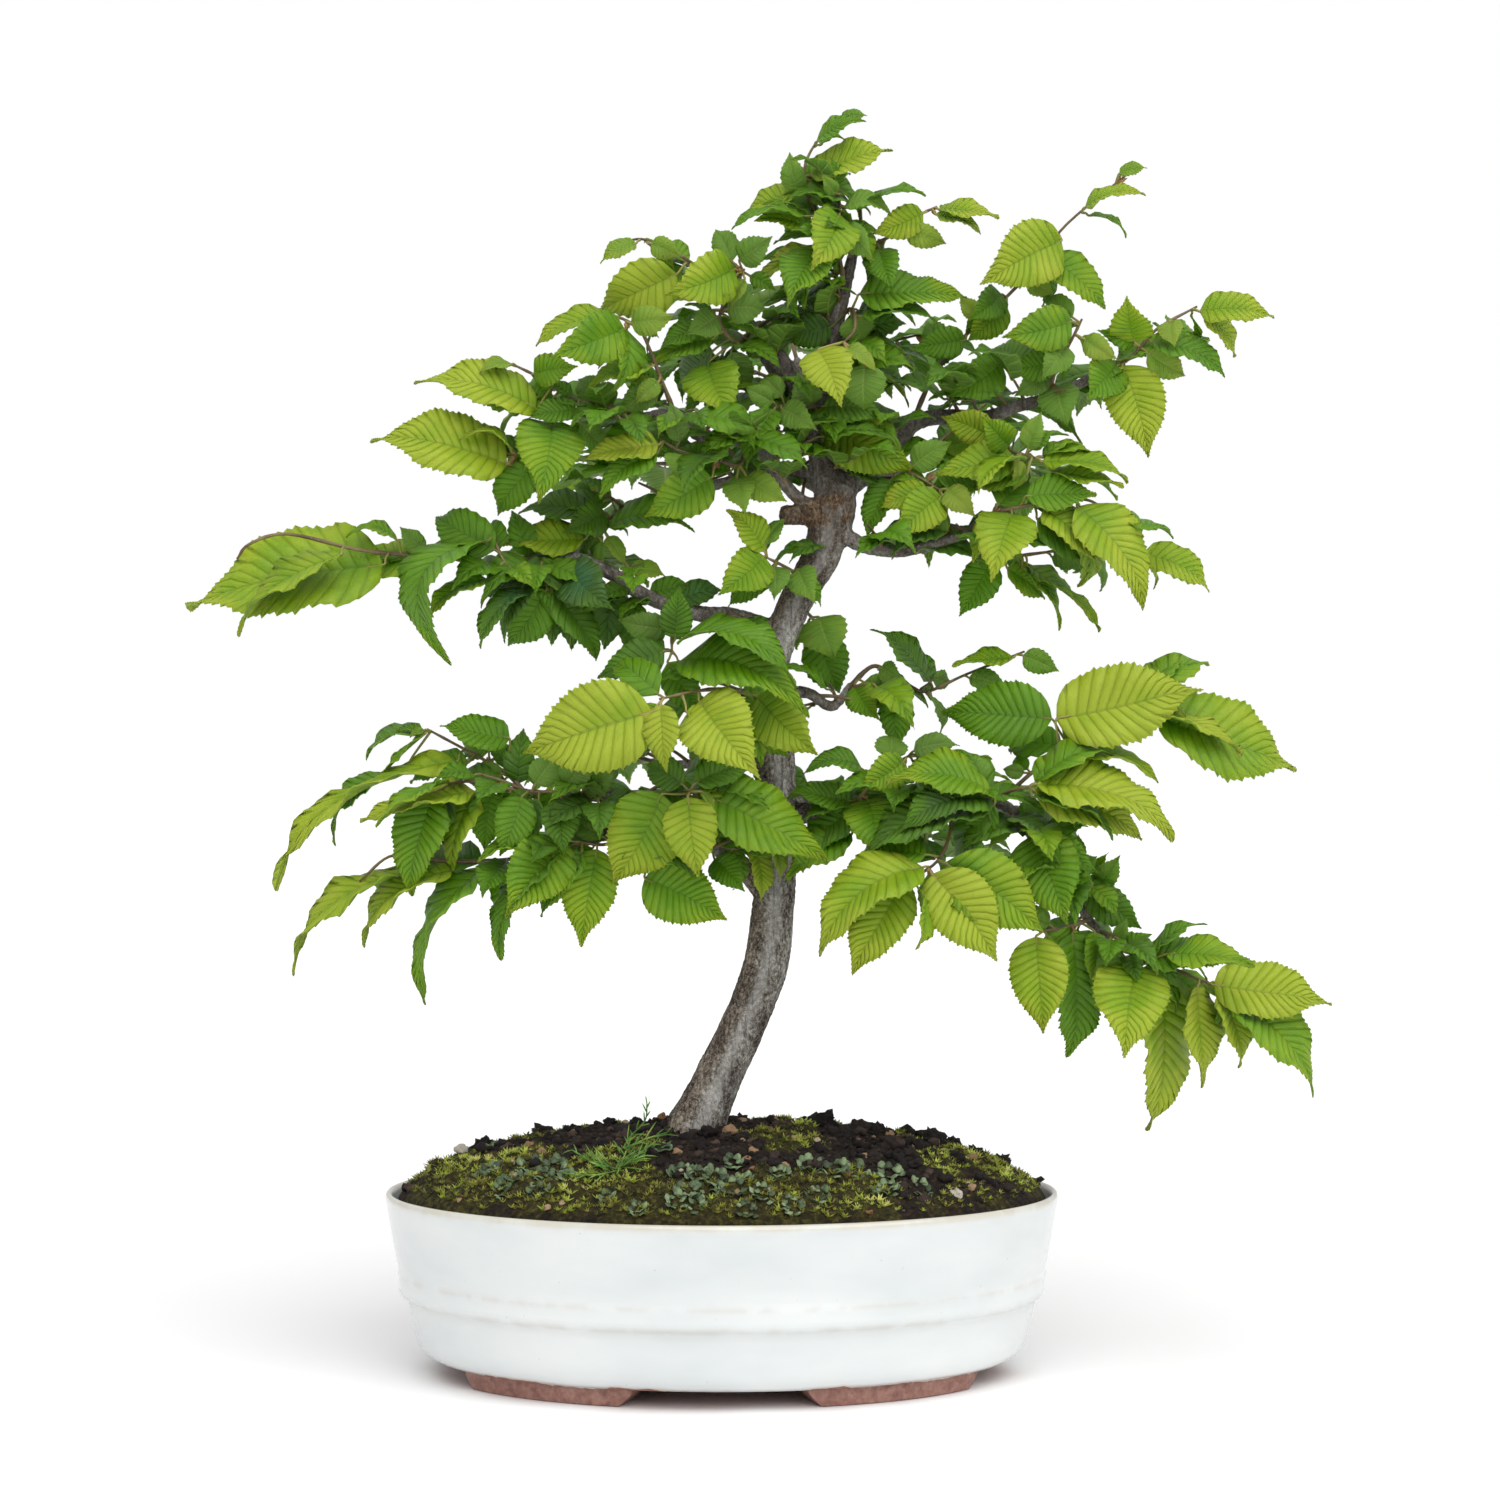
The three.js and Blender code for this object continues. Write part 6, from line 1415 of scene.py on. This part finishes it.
def soil_height(x, y):
    """The height of the soil at a place measured from the pot's middle."""
    share = min(soil_share(x, y), 1)
    height = SOIL_EDGE + SOIL_CROWN * max(0, 1 - share ** 2.2) ** 0.65
    lump = math.sin(0.21 * x + 0.13 * y) * math.cos(0.27 * y - 0.05 * x) + 0.5 * math.sin(0.47 * x - 0.39 * y)
    return height + SOIL_LUMP * lump * min(max((height - SOIL_EDGE - 3) / 6, 0), 1)


def soil_spot(across, up):
    """The place on the soil that is seen at a place of the picture, from the pot's middle."""
    best = None
    for y in np.arange(-SOIL_DEEP - 1, 40, 1.5):
        point = seen(across, up, y)
        if soil_share(point.x, y) < 0.985:
            over = soil_height(point.x, y) - point.z
            if over >= 0:
                return point.x, y
            if best is None or over > best[0]:
                best = (over, point.x, y)
    return best[1:]


# Seen places on the soil: [across, up, reach] in millimetres
BRIGHT_MOSS = [
    [-50, 82, 16], [-58, 75, 14], [-38, 78, 10], [83, 84, 15], [80, 92, 8], [100, 86, 14], [116, 77, 14],
    [-98, 82, 14], [-84, 86, 10], [33, 98, 6], [92, 77, 8], [60, 66, 12], [-110, 80, 8],
]
OLIVE_MOSS = [
    [-118, 72, 14], [-104, 70, 14], [-118, 79, 10], [-90, 76, 16], [-74, 72, 14], [-36, 68, 14],
    [-18, 66, 14], [0, 66, 15], [18, 67, 15], [36, 68, 16], [56, 70, 14], [-76, 86, 12], [24, 92, 16],
    [108, 80, 14], [-30, 88, 10],
]
BARE_SOIL = [[-8, 90, 16], [70, 84, 15], [62, 92, 12], [-14, 80, 8]]
LUMPS = [
    [-95, 90, 5.5], [-88, 89, 3.5], [-72, 95, 5], [-60, 97, 4], [-45, 98, 3], [8, 101, 4], [40, 103, 7.5],
    [34, 101, 4], [55, 99, 5.5], [62, 99, 4], [83, 98, 6.5], [92, 93, 4], [101, 89, 4.5], [74, 95, 4.5],
    [112, 83, 4], [-20, 98, 4], [48, 94, 4], [66, 90, 4.5], [70, 82, 5], [78, 88, 4], [60, 84, 4],
    [-6, 94, 4],
]
# With the paleness of each pebble
PEBBLES = [
    [-104, 87, 3.2, 0.95], [94, 69, 3, 0.97], [100, 72, 2, 0.55], [3, 94, 3.2, 0.5], [-8, 97, 2.6, 0.15],
    [67, 93, 2.4, 0.5], [25, 80, 2.4, 0.55], [50, 77, 2, 0.3], [10, 83, 2, 0.35], [20, 99, 2.6, 0.5],
    [-24, 101, 2.4, 0.35], [-39, 97, 2.6, 0.8], [-72, 86, 2.2, 0.5], [-84, 82, 1.8, 0.7], [84, 95, 2, 0.5],
    [6, 70, 1.6, 0.45], [-64, 66, 1.5, 0.6], [38, 90, 1.8, 0.75],
]
ROSETTES = [
    [-78, 84, 6], [-72, 79, 6], [-84, 78, 6], [-92, 82, 5], [-97, 78, 4], [-66, 83, 5], [-74, 73, 5],
    [-62, 79, 4], [-88, 73, 4], [-16, 82, 6], [-9, 80, 6], [-2, 78, 6], [-14, 74, 5], [-5, 72, 6], [4, 74, 5],
    [-18, 69, 4], [4, 84, 4], [8, 79, 4], [-10, 67, 4], [35, 84, 6], [45, 82, 6], [54, 81, 6], [67, 80, 7],
    [66, 74, 5], [23, 80, 4], [38, 70, 5], [28, 66, 4], [16, 72, 4], [80, 73, 4], [10, 66, 4], [-24, 91, 5],
    [-34, 66, 4], [-46, 70, 3],
]

# Places behind the trunk, measured from the pot's middle: [x, y, reach]
BACK_MOSS = [
    [-80, 40, 24], [-30, 62, 22], [30, 50, 26], [84, 36, 22], [60, 74, 16], [-104, 10, 16], [110, 8, 16],
]
BACK_ROSETTES = [
    [-60, 30, 6], [-48, 44, 5], [10, 66, 6], [50, 58, 5], [76, 50, 6], [-16, 50, 5], [-92, 14, 5],
]


def on_soil(spots):
    return [(*soil_spot(across, up), *rest) for across, up, *rest in spots]


def closeness(x, y, patches):
    """How much a place belongs to one of the patches, from 0 to 1."""
    apart = min(((x - px) ** 2 + (0.8 * (y - py)) ** 2) / reach ** 2 for px, py, reach in patches)
    return math.exp(-apart ** 1.5)


def noise_at(x, y, pitch, layer):
    return noise.noise(Vector((x * pitch, y * pitch, layer)))


class Ground:
    """Where moss grows on the soil, and how bright it is."""

    def __init__(self):
        self.bright, self.olive = on_soil(BRIGHT_MOSS), on_soil(OLIVE_MOSS) + BACK_MOSS
        self.bare = on_soil(BARE_SOIL)

    def moss(self, x, y):
        bright, olive = closeness(x, y, self.bright), closeness(x, y, self.olive)
        patch = 0.35 * noise_at(x, y, 0.07, 3) + 0.3 * noise_at(x, y, 0.2, 8)
        edge = 0.35 if soil_share(x, y) > 0.85 else 0
        share = max(bright, olive, edge) + patch - 0.9 * closeness(x, y, self.bare)
        return min(max(share, 0), 1), bright


def in_pot(x, y, height=0.0):
    return Vector((x + SHIFT.x, y + SHIFT.y, soil_height(x, y) + height))


def make_soil(ground):
    deselect()
    bpy.ops.mesh.primitive_grid_add(x_subdivisions=144, y_subdivisions=112, size=2)
    soil = bpy.context.object
    soil.name = "soil_surface"
    moss = []
    for vertex in soil.data.vertices:
        u, v = vertex.co.x, vertex.co.y
        x, y = SOIL_REACH * u * math.sqrt(1 - v * v / 2), SOIL_DEEP * v * math.sqrt(1 - u * u / 2)
        share, _ = ground.moss(x, y)
        moss.append(share)
        from_edge = min(max((1 - soil_share(x, y)) / 0.06, 0), 1)
        crumb = noise.fractal(Vector((x, y, 0)) * 0.33, 1, 2, 4) * (1.7 - 0.8 * share)
        height = soil_height(x, y) + from_edge * (crumb + moss_cushion(x, y, share))
        vertex.co = (x * MM, y * MM, height * MM)
    point_values(soil, "moss", moss)
    make_active(soil)
    bpy.ops.object.mode_set(mode="EDIT")
    bpy.ops.mesh.select_all(action="SELECT")
    bpy.ops.mesh.region_to_loop()
    for radius, level in SOIL_SIDES:
        bpy.ops.mesh.extrude_region_move(TRANSFORM_OT_translate={"value": (0, 0, -MM)})
        bpy.ops.object.mode_set(mode="OBJECT")
        for vertex in soil.data.vertices:
            if vertex.select:
                angle = math.atan2(vertex.co.y / SOIL_DEEP, vertex.co.x / SOIL_REACH)
                x, y = radius * math.cos(angle), (radius - SOIL_SIDE_OFFSET) * math.sin(angle)
                vertex.co = (x * MM, y * MM, level * MM)
        bpy.ops.object.mode_set(mode="EDIT")
    bpy.ops.mesh.edge_face_add()
    outwards_and_done()
    soil.data.transform(place_of_pot())
    soil.data.shade_smooth()
    soil.data.materials.append(soil_material())
    return settle(soil, "soil", "soil")


# Distances between the squares that hold one tuft, crumb or pebble each, and the seeds of their draws
MOSS_STEP, GRIT_STEP, PEBBLE_STEP = 2.45, 3.4, 26
MOSS_SEED, STONE_SEED, ROSETTE_SEED, WEED_SEED = 11, 23, 31, 47
ROSETTE_LEAVES, LOBED_CORNERS, LOBED_THICK = 14, 13, 0.07


def moss_tuft():
    """Seven short leaves round one point, 1 mm high: points and faces."""
    points, faces = [], []
    for k in range(7):
        lean, high = (0.95, 0.55) if k < 5 else (0.45, 0.85)
        angle = 2 * math.pi * k / 5 + (0.6 if k >= 5 else 0)
        out = np.array([math.cos(angle), math.sin(angle), 0])
        side = np.array([-math.sin(angle), math.cos(angle), 0])
        first = len(points)
        points += [side * 0.24, -side * 0.24, out * 0.3, out * lean + [0, 0, high]]
        a, b, c, d = range(first, first + 4)
        faces += [[a, b, c], [a, d, b], [b, d, c], [c, d, a]]
    return np.array(points), faces


def turn_of(*angles):
    """A turn about the last axis named, then about the ones before it, as rows to multiply points with."""
    turn = Matrix.Identity(3)
    for axis, angle in angles:
        turn = turn @ Matrix.Rotation(angle, 3, axis)
    return np.array(turn).T


def turned(points, angle, size, tilt):
    return (points * size) @ turn_of(("X", tilt[0]), ("Y", tilt[1]), ("Z", angle))


def jittered(step, draws):
    """Places over the soil, one in each square of a lattice."""
    wide, deep = int(SOIL_REACH / step), int(SOIL_DEEP / step)
    for i in range(-wide, wide + 1):
        for j in range(-deep, deep + 1):
            x, y = (i + next(draws) - 0.5) * step, (j + next(draws) - 0.5) * step
            if soil_share(x, y) < 0.975:
                yield x, y


def clear_of_trunk(x, y, room=15):
    return math.hypot(x - TRUNK_FOOT[0], y - TRUNK_FOOT[1]) > room


def build_copies(name, lots, tones, look, slot, smooth=True):
    """A piece of many small parts, each with its own tone."""
    points, faces = gather(lots)
    piece = mesh_piece(name, points * MM, faces, smooth)
    point_values(piece, "tone", np.repeat(tones, [len(points) for points, _ in lots]))
    piece.data.materials.append(look)
    return settle(piece, slot)


def moss_cushion(x, y, share):
    return share * (0.7 + 1.6 * noise_at(x, y, 0.22, 5))


def make_moss(ground):
    draws = seeded_draws(MOSS_SEED)
    points, faces = moss_tuft()
    lots, tones = [], []
    for x, y in jittered(MOSS_STEP, draws):
        share, bright = ground.moss(x, y)
        size, angle, tone = next(draws), next(draws), next(draws)
        gaps = noise_at(x, y, 0.4, 2)
        if share < 0.3 or gaps < -0.26 or not clear_of_trunk(x, y, 12):
            continue
        tall = (1.35 + 1.65 * size) * (0.7 + 0.4 * share)
        spot = np.array(in_pot(x, y, moss_cushion(x, y, share) - 0.5))
        tilt = (0.5 * (size - 0.5), 0.5 * (tone - 0.5))
        lots.append((turned(points, angle * 6.3, tall, tilt) + spot, faces))
        yellow = 0.5 + 0.9 * noise_at(x, y, 0.1, 12)
        tones.append(min(max(0.12 + 0.34 * yellow + 0.4 * bright + 0.6 * (tone - 0.4) + 0.5 * gaps, 0), 1))
    look = growth_material("moss", [
        (0.0, (36, 34, 16)), (0.2, (78, 74, 32)), (0.45, (126, 122, 50)), (0.7, (148, 154, 54)),
        (0.88, (152, 172, 60)), (1.0, (190, 192, 104))], 0.85)
    build_copies("moss_cushions", lots, tones, look, "weed_green", smooth=False)


def stone(level):
    deselect()
    bpy.ops.mesh.primitive_ico_sphere_add(subdivisions=level, radius=1)
    ball = bpy.context.object
    points = np.array([vertex.co[:] for vertex in ball.data.vertices])
    faces = [list(polygon.vertices) for polygon in ball.data.polygons]
    bpy.data.objects.remove(ball)
    return points, faces


def rugged(points, seed, depth, pitch):
    """A ball's points made uneven, as a crumb or a stone."""
    aside = Vector((seed * 7.3, seed * 3.1, seed))
    lift = [1 + depth * noise.fractal(Vector(point) * pitch + aside, 0.8, 2, 3) for point in points]
    return points * np.array(lift)[:, None]


def make_grit(ground, draws):
    """Crumbs all over the bare soil, and the larger lumps that the photo shows."""
    (small_points, small_faces), (points, faces), (fine_points, fine_faces) = stone(1), stone(2), stone(3)
    shapes = [(rugged(points, seed, 0.9, 1.7), faces) for seed in range(14)]
    small_shapes = [(rugged(small_points, seed, 0.7, 1.5), small_faces) for seed in range(14)]
    lots, tones = [], []
    for x, y in jittered(GRIT_STEP, draws):
        share, _ = ground.moss(x, y)
        size, angle, tone, kind = (next(draws) for _ in range(4))
        if share > 0.42 or (share > 0.1 and kind > 0.7) or not clear_of_trunk(x, y, 11):
            continue
        radius = 0.7 + 2.1 * size ** 2.6
        shape, corners = (small_shapes if radius < 1.7 else shapes)[int(kind * 0.999 * len(shapes))]
        shape = turned(shape, angle * 6.3, radius, (angle * 5, tone * 5)) * (1, 1, 0.8)
        lots.append((shape + np.array(in_pot(x, y, radius * 0.1)), corners))
        tones.append(0.05 + 0.55 * tone ** 2.5)
    for k, (x, y, radius) in enumerate(on_soil(LUMPS)):
        shape = turned(rugged(fine_points, 40 + k, 0.75, 1.9), k, radius * 0.75, (k, 2 * k))
        lots.append((shape * (1.1, 1.1, 0.85) + np.array(in_pot(x, y)), fine_faces))
        tones.append(0.06 + 0.1 * (k % 3))
    look = grit_material("dark_grit", [
        (0.1, (17, 13, 12)), (0.3, (37, 30, 27)), (0.5, (68, 54, 47)), (0.75, (118, 98, 84))], 500)
    build_copies("grit", lots, tones, look, "soil")


def make_pebbles(draws):
    points, faces = stone(3)
    shapes = [rugged(points, 80 + k, 0.5, 1.1) for k in range(6)]
    lots, tones = [], []
    for k, (x, y, radius, tone) in enumerate(on_soil(PEBBLES)):
        tilt = (0.3 * math.sin(k), 0.3 * math.cos(k))
        shape = turned(shapes[k % 6] * (1.15, 0.9, 0.8), k * 2.1, radius * 0.8, tilt)
        lots.append((shape + np.array(in_pot(x, y, radius * 0.3)), faces))
        tones.append(tone)
    for x, y in jittered(PEBBLE_STEP, draws):
        radius, tone = 0.8 + 1.1 * next(draws), next(draws)
        if clear_of_trunk(x, y):
            shape = turned(shapes[int(tone * 5.9)], tone * 40, radius, (tone, radius)) * (1.1, 1, 0.8)
            lots.append((shape + np.array(in_pot(x, y, radius * 0.4)), faces))
            tones.append(0.15 + 0.6 * tone)
    look = grit_material("pebble", [
        (0.1, (92, 58, 42)), (0.35, (134, 96, 68)), (0.55, (154, 128, 98)), (0.75, (182, 168, 144)),
        (0.95, (196, 194, 188))], 420)
    build_copies("pebbles", lots, tones, look, "soil")


def lobed_leaf():
    """A small fan of three lobes on one stalk, 1 mm long: points and faces."""
    upper = [[0, 0, 0]]
    for k in range(LOBED_CORNERS):
        turn = math.radians(-130 + 260 * k / (LOBED_CORNERS - 1))
        reach = 0.62 + 0.13 * math.cos(3 * turn) + 0.22 * math.cos(turn)
        rise = 0.14 * math.cos(3 * turn) - 0.12 * reach
        upper.append([0.35 + reach * math.cos(turn) * 0.75, reach * math.sin(turn), rise])
    upper.append([0.35, 0, 0.12])
    points = np.array([[x, y, z - under] for x, y, z in upper for under in (0, LOBED_THICK)])
    top, bottom = len(points) - 2, len(points) - 1
    faces = []
    for k in range(LOBED_CORNERS + 1):
        a, b = 2 * k, 2 * ((k + 1) % (LOBED_CORNERS + 1))
        faces += [[top, a, b], [bottom, b + 1, a + 1], [a, a + 1, b + 1, b]]
    return points, faces


def make_rosettes():
    """Low clumps of grey-green plantlets with rounded, three-lobed leaves."""
    draws = seeded_draws(ROSETTE_SEED)
    points, faces = lobed_leaf()
    lots, tones = [], []
    spots = [[across, up - 3, reach] for across, up, reach in ROSETTES]
    for x, y, reach in on_soil(spots) + BACK_ROSETTES:
        for k in range(ROSETTE_LEAVES):
            turn = 2.4 * k + 0.8 * next(draws)
            out = reach * (0.1 + 0.7 * math.sqrt(next(draws)))
            long = 1.5 + 0.3 * reach * next(draws)
            tilt = -(0.2 + 0.8 * next(draws))
            lean = turn_of(("X", 0.45), ("Z", turn), ("Y", tilt))
            leaf_x, leaf_y = x + out * math.cos(turn) * 0.9, y + out * math.sin(turn) * 0.9
            spot = in_pot(leaf_x, leaf_y, 0.2 + 1.6 * (1 - out / reach))
            lots.append(((points * long) @ lean + np.array(spot), faces))
            tones.append(0.1 + 0.8 * next(draws))
    look = growth_material("grey_green_plantlet", [
        (0.1, (50, 62, 40)), (0.5, (82, 100, 68)), (0.9, (124, 142, 104))], 0.6)
    build_copies("plantlets", lots, tones, look, "weed_green")


# Over this height the sprig stands free, at one depth
WEED_FREE_UP, WEED_DEPTH = 97, -46
# Side blades: how far along, and the radius there
SIDE_BLADE = [(0, 0.2), (0.35, 0.3), (0.7, 0.26), (1, 0.06)]


def weed_rows(blade):
    for k, (across, up) in enumerate(blade):
        if up > WEED_FREE_UP:
            yield (*seen(across, up, WEED_DEPTH), 0.3)
        else:
            on_moss = in_pot(*soil_spot(across, up - 2.5), 2.2 + 0.8 * k)
            yield (*(np.array(on_moss) - SHIFT), 0.4 - 0.06 * k)


def make_weed():
    """A fine branching weed: thin stems with narrow curved blades, close over the moss."""
    draws = seeded_draws(WEED_SEED)
    lots = []
    for blade in WEED_BLADES:
        path = smooth_path(list(weed_rows(blade)), 8)
        lots.append(tube(path, 5))
        ahead = np.gradient(path[:, :3], axis=0)
        for k in range(2, len(path), 2):
            side = 1 if (k // 2) % 2 else -1
            direction = ahead[k] / np.linalg.norm(ahead[k])
            aside = np.cross(direction, (0, -1, 0.4))
            aside /= np.linalg.norm(aside)
            heading = direction + aside * side * (0.2 + 0.5 * next(draws))
            heading = heading + np.array([0, -0.2, 0.5 * next(draws)])
            heading /= np.linalg.norm(heading)
            long = (5 + 7 * next(draws)) * (1.1 - 0.6 * k / len(path))
            sag = np.array([0, 0, -0.2 * long * next(draws)])
            start = path[k, :3]
            rows = [(*(start + heading * long * t + sag * t * t), radius) for t, radius in SIDE_BLADE]
            lots.append(tube(np.array(rows), 4))
    points, faces = gather(lots)
    weed = mesh_piece("weed_sprig_blades", in_frame(points), faces)
    tones = [0.5 + 0.5 * noise.noise(Vector(point) * 0.25) for point in points]
    point_values(weed, "tone", np.clip(tones, 0, 1))
    weed.data.materials.append(growth_material("weed_blade", [
        (0.2, (56, 92, 26)), (0.5, (88, 130, 42)), (0.8, (136, 168, 78))], 0.55, 0.35))
    return settle(weed, "weed_green", "weed_sprig")


# Stage

SENSOR, FAR_CLIP = 36, 50
FLOOR_RADIUS, FLOOR_UNDER = 12, 0.0002
ROOM_LIGHT, SUN_LIGHT = 0.64, 2.25
SUN_SPREAD, SUN_FROM_FRONT, SUN_FROM_RIGHT = 70, 36, 17


def make_stage():
    camera = bpy.data.objects.new("camera", bpy.data.cameras.new("camera"))
    bpy.context.scene.collection.objects.link(camera)
    camera.location = (Vector((VIEW_ACROSS, -VIEW_DISTANCE, VIEW_UP)) + SHIFT) * MM
    camera.rotation_euler = (math.pi / 2, 0, 0)
    camera.data.sensor_width = SENSOR
    camera.data.lens = SENSOR * VIEW_DISTANCE / VIEW_WIDTH
    camera.data.clip_end = FAR_CLIP
    bpy.context.scene.camera = camera
    deselect()
    bpy.ops.mesh.primitive_circle_add(
        vertices=96, radius=FLOOR_RADIUS, fill_type="NGON", location=(0, 0, -FLOOR_UNDER))
    floor = bpy.context.object
    floor.name = "floor"
    paint = Finish("white_floor", roughness=0.9, specular_ior_level=0.1)
    paint.set("Base Color", (0.97, 0.97, 0.97, 1))
    floor.data.materials.append(paint.material)
    sun = bpy.data.objects.new("soft_daylight", bpy.data.lights.new("soft_daylight", "SUN"))
    sun.data.energy = SUN_LIGHT
    sun.data.angle = math.radians(SUN_SPREAD)
    sun.rotation_euler = (math.radians(SUN_FROM_FRONT), math.radians(SUN_FROM_RIGHT), 0)
    bpy.context.scene.collection.objects.link(sun)
    world = bpy.data.worlds.new("white_room")
    world.use_nodes = True
    nodes, links = world.node_tree.nodes, world.node_tree.links
    seen_directly = nodes.new("ShaderNodeLightPath").outputs["Is Camera Ray"]
    brightness = nodes.new("ShaderNodeMapRange")
    links.new(seen_directly, brightness.inputs["Value"])
    brightness.inputs["To Min"].default_value = ROOM_LIGHT
    brightness.inputs["To Max"].default_value = 1.0
    nodes["Background"].inputs["Color"].default_value = (1, 1, 1, 1)
    links.new(brightness.outputs["Result"], nodes["Background"].inputs["Strength"])
    bpy.context.scene.world = world
    bpy.context.scene.view_settings.view_transform = "Standard"


def dress_nets():
    look = net_material()
    for name in ("drain_net_left", "drain_net_right"):
        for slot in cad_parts[name].material_slots:
            slot.material = look


make_stage()
make_pot()
dress_nets()
make_wood()
ground = Ground()
make_soil(ground)
stone_draws = seeded_draws(STONE_SEED)
make_grit(ground, stone_draws)
make_pebbles(stone_draws)
make_moss(ground)
make_rosettes()
make_weed()
make_shoots()
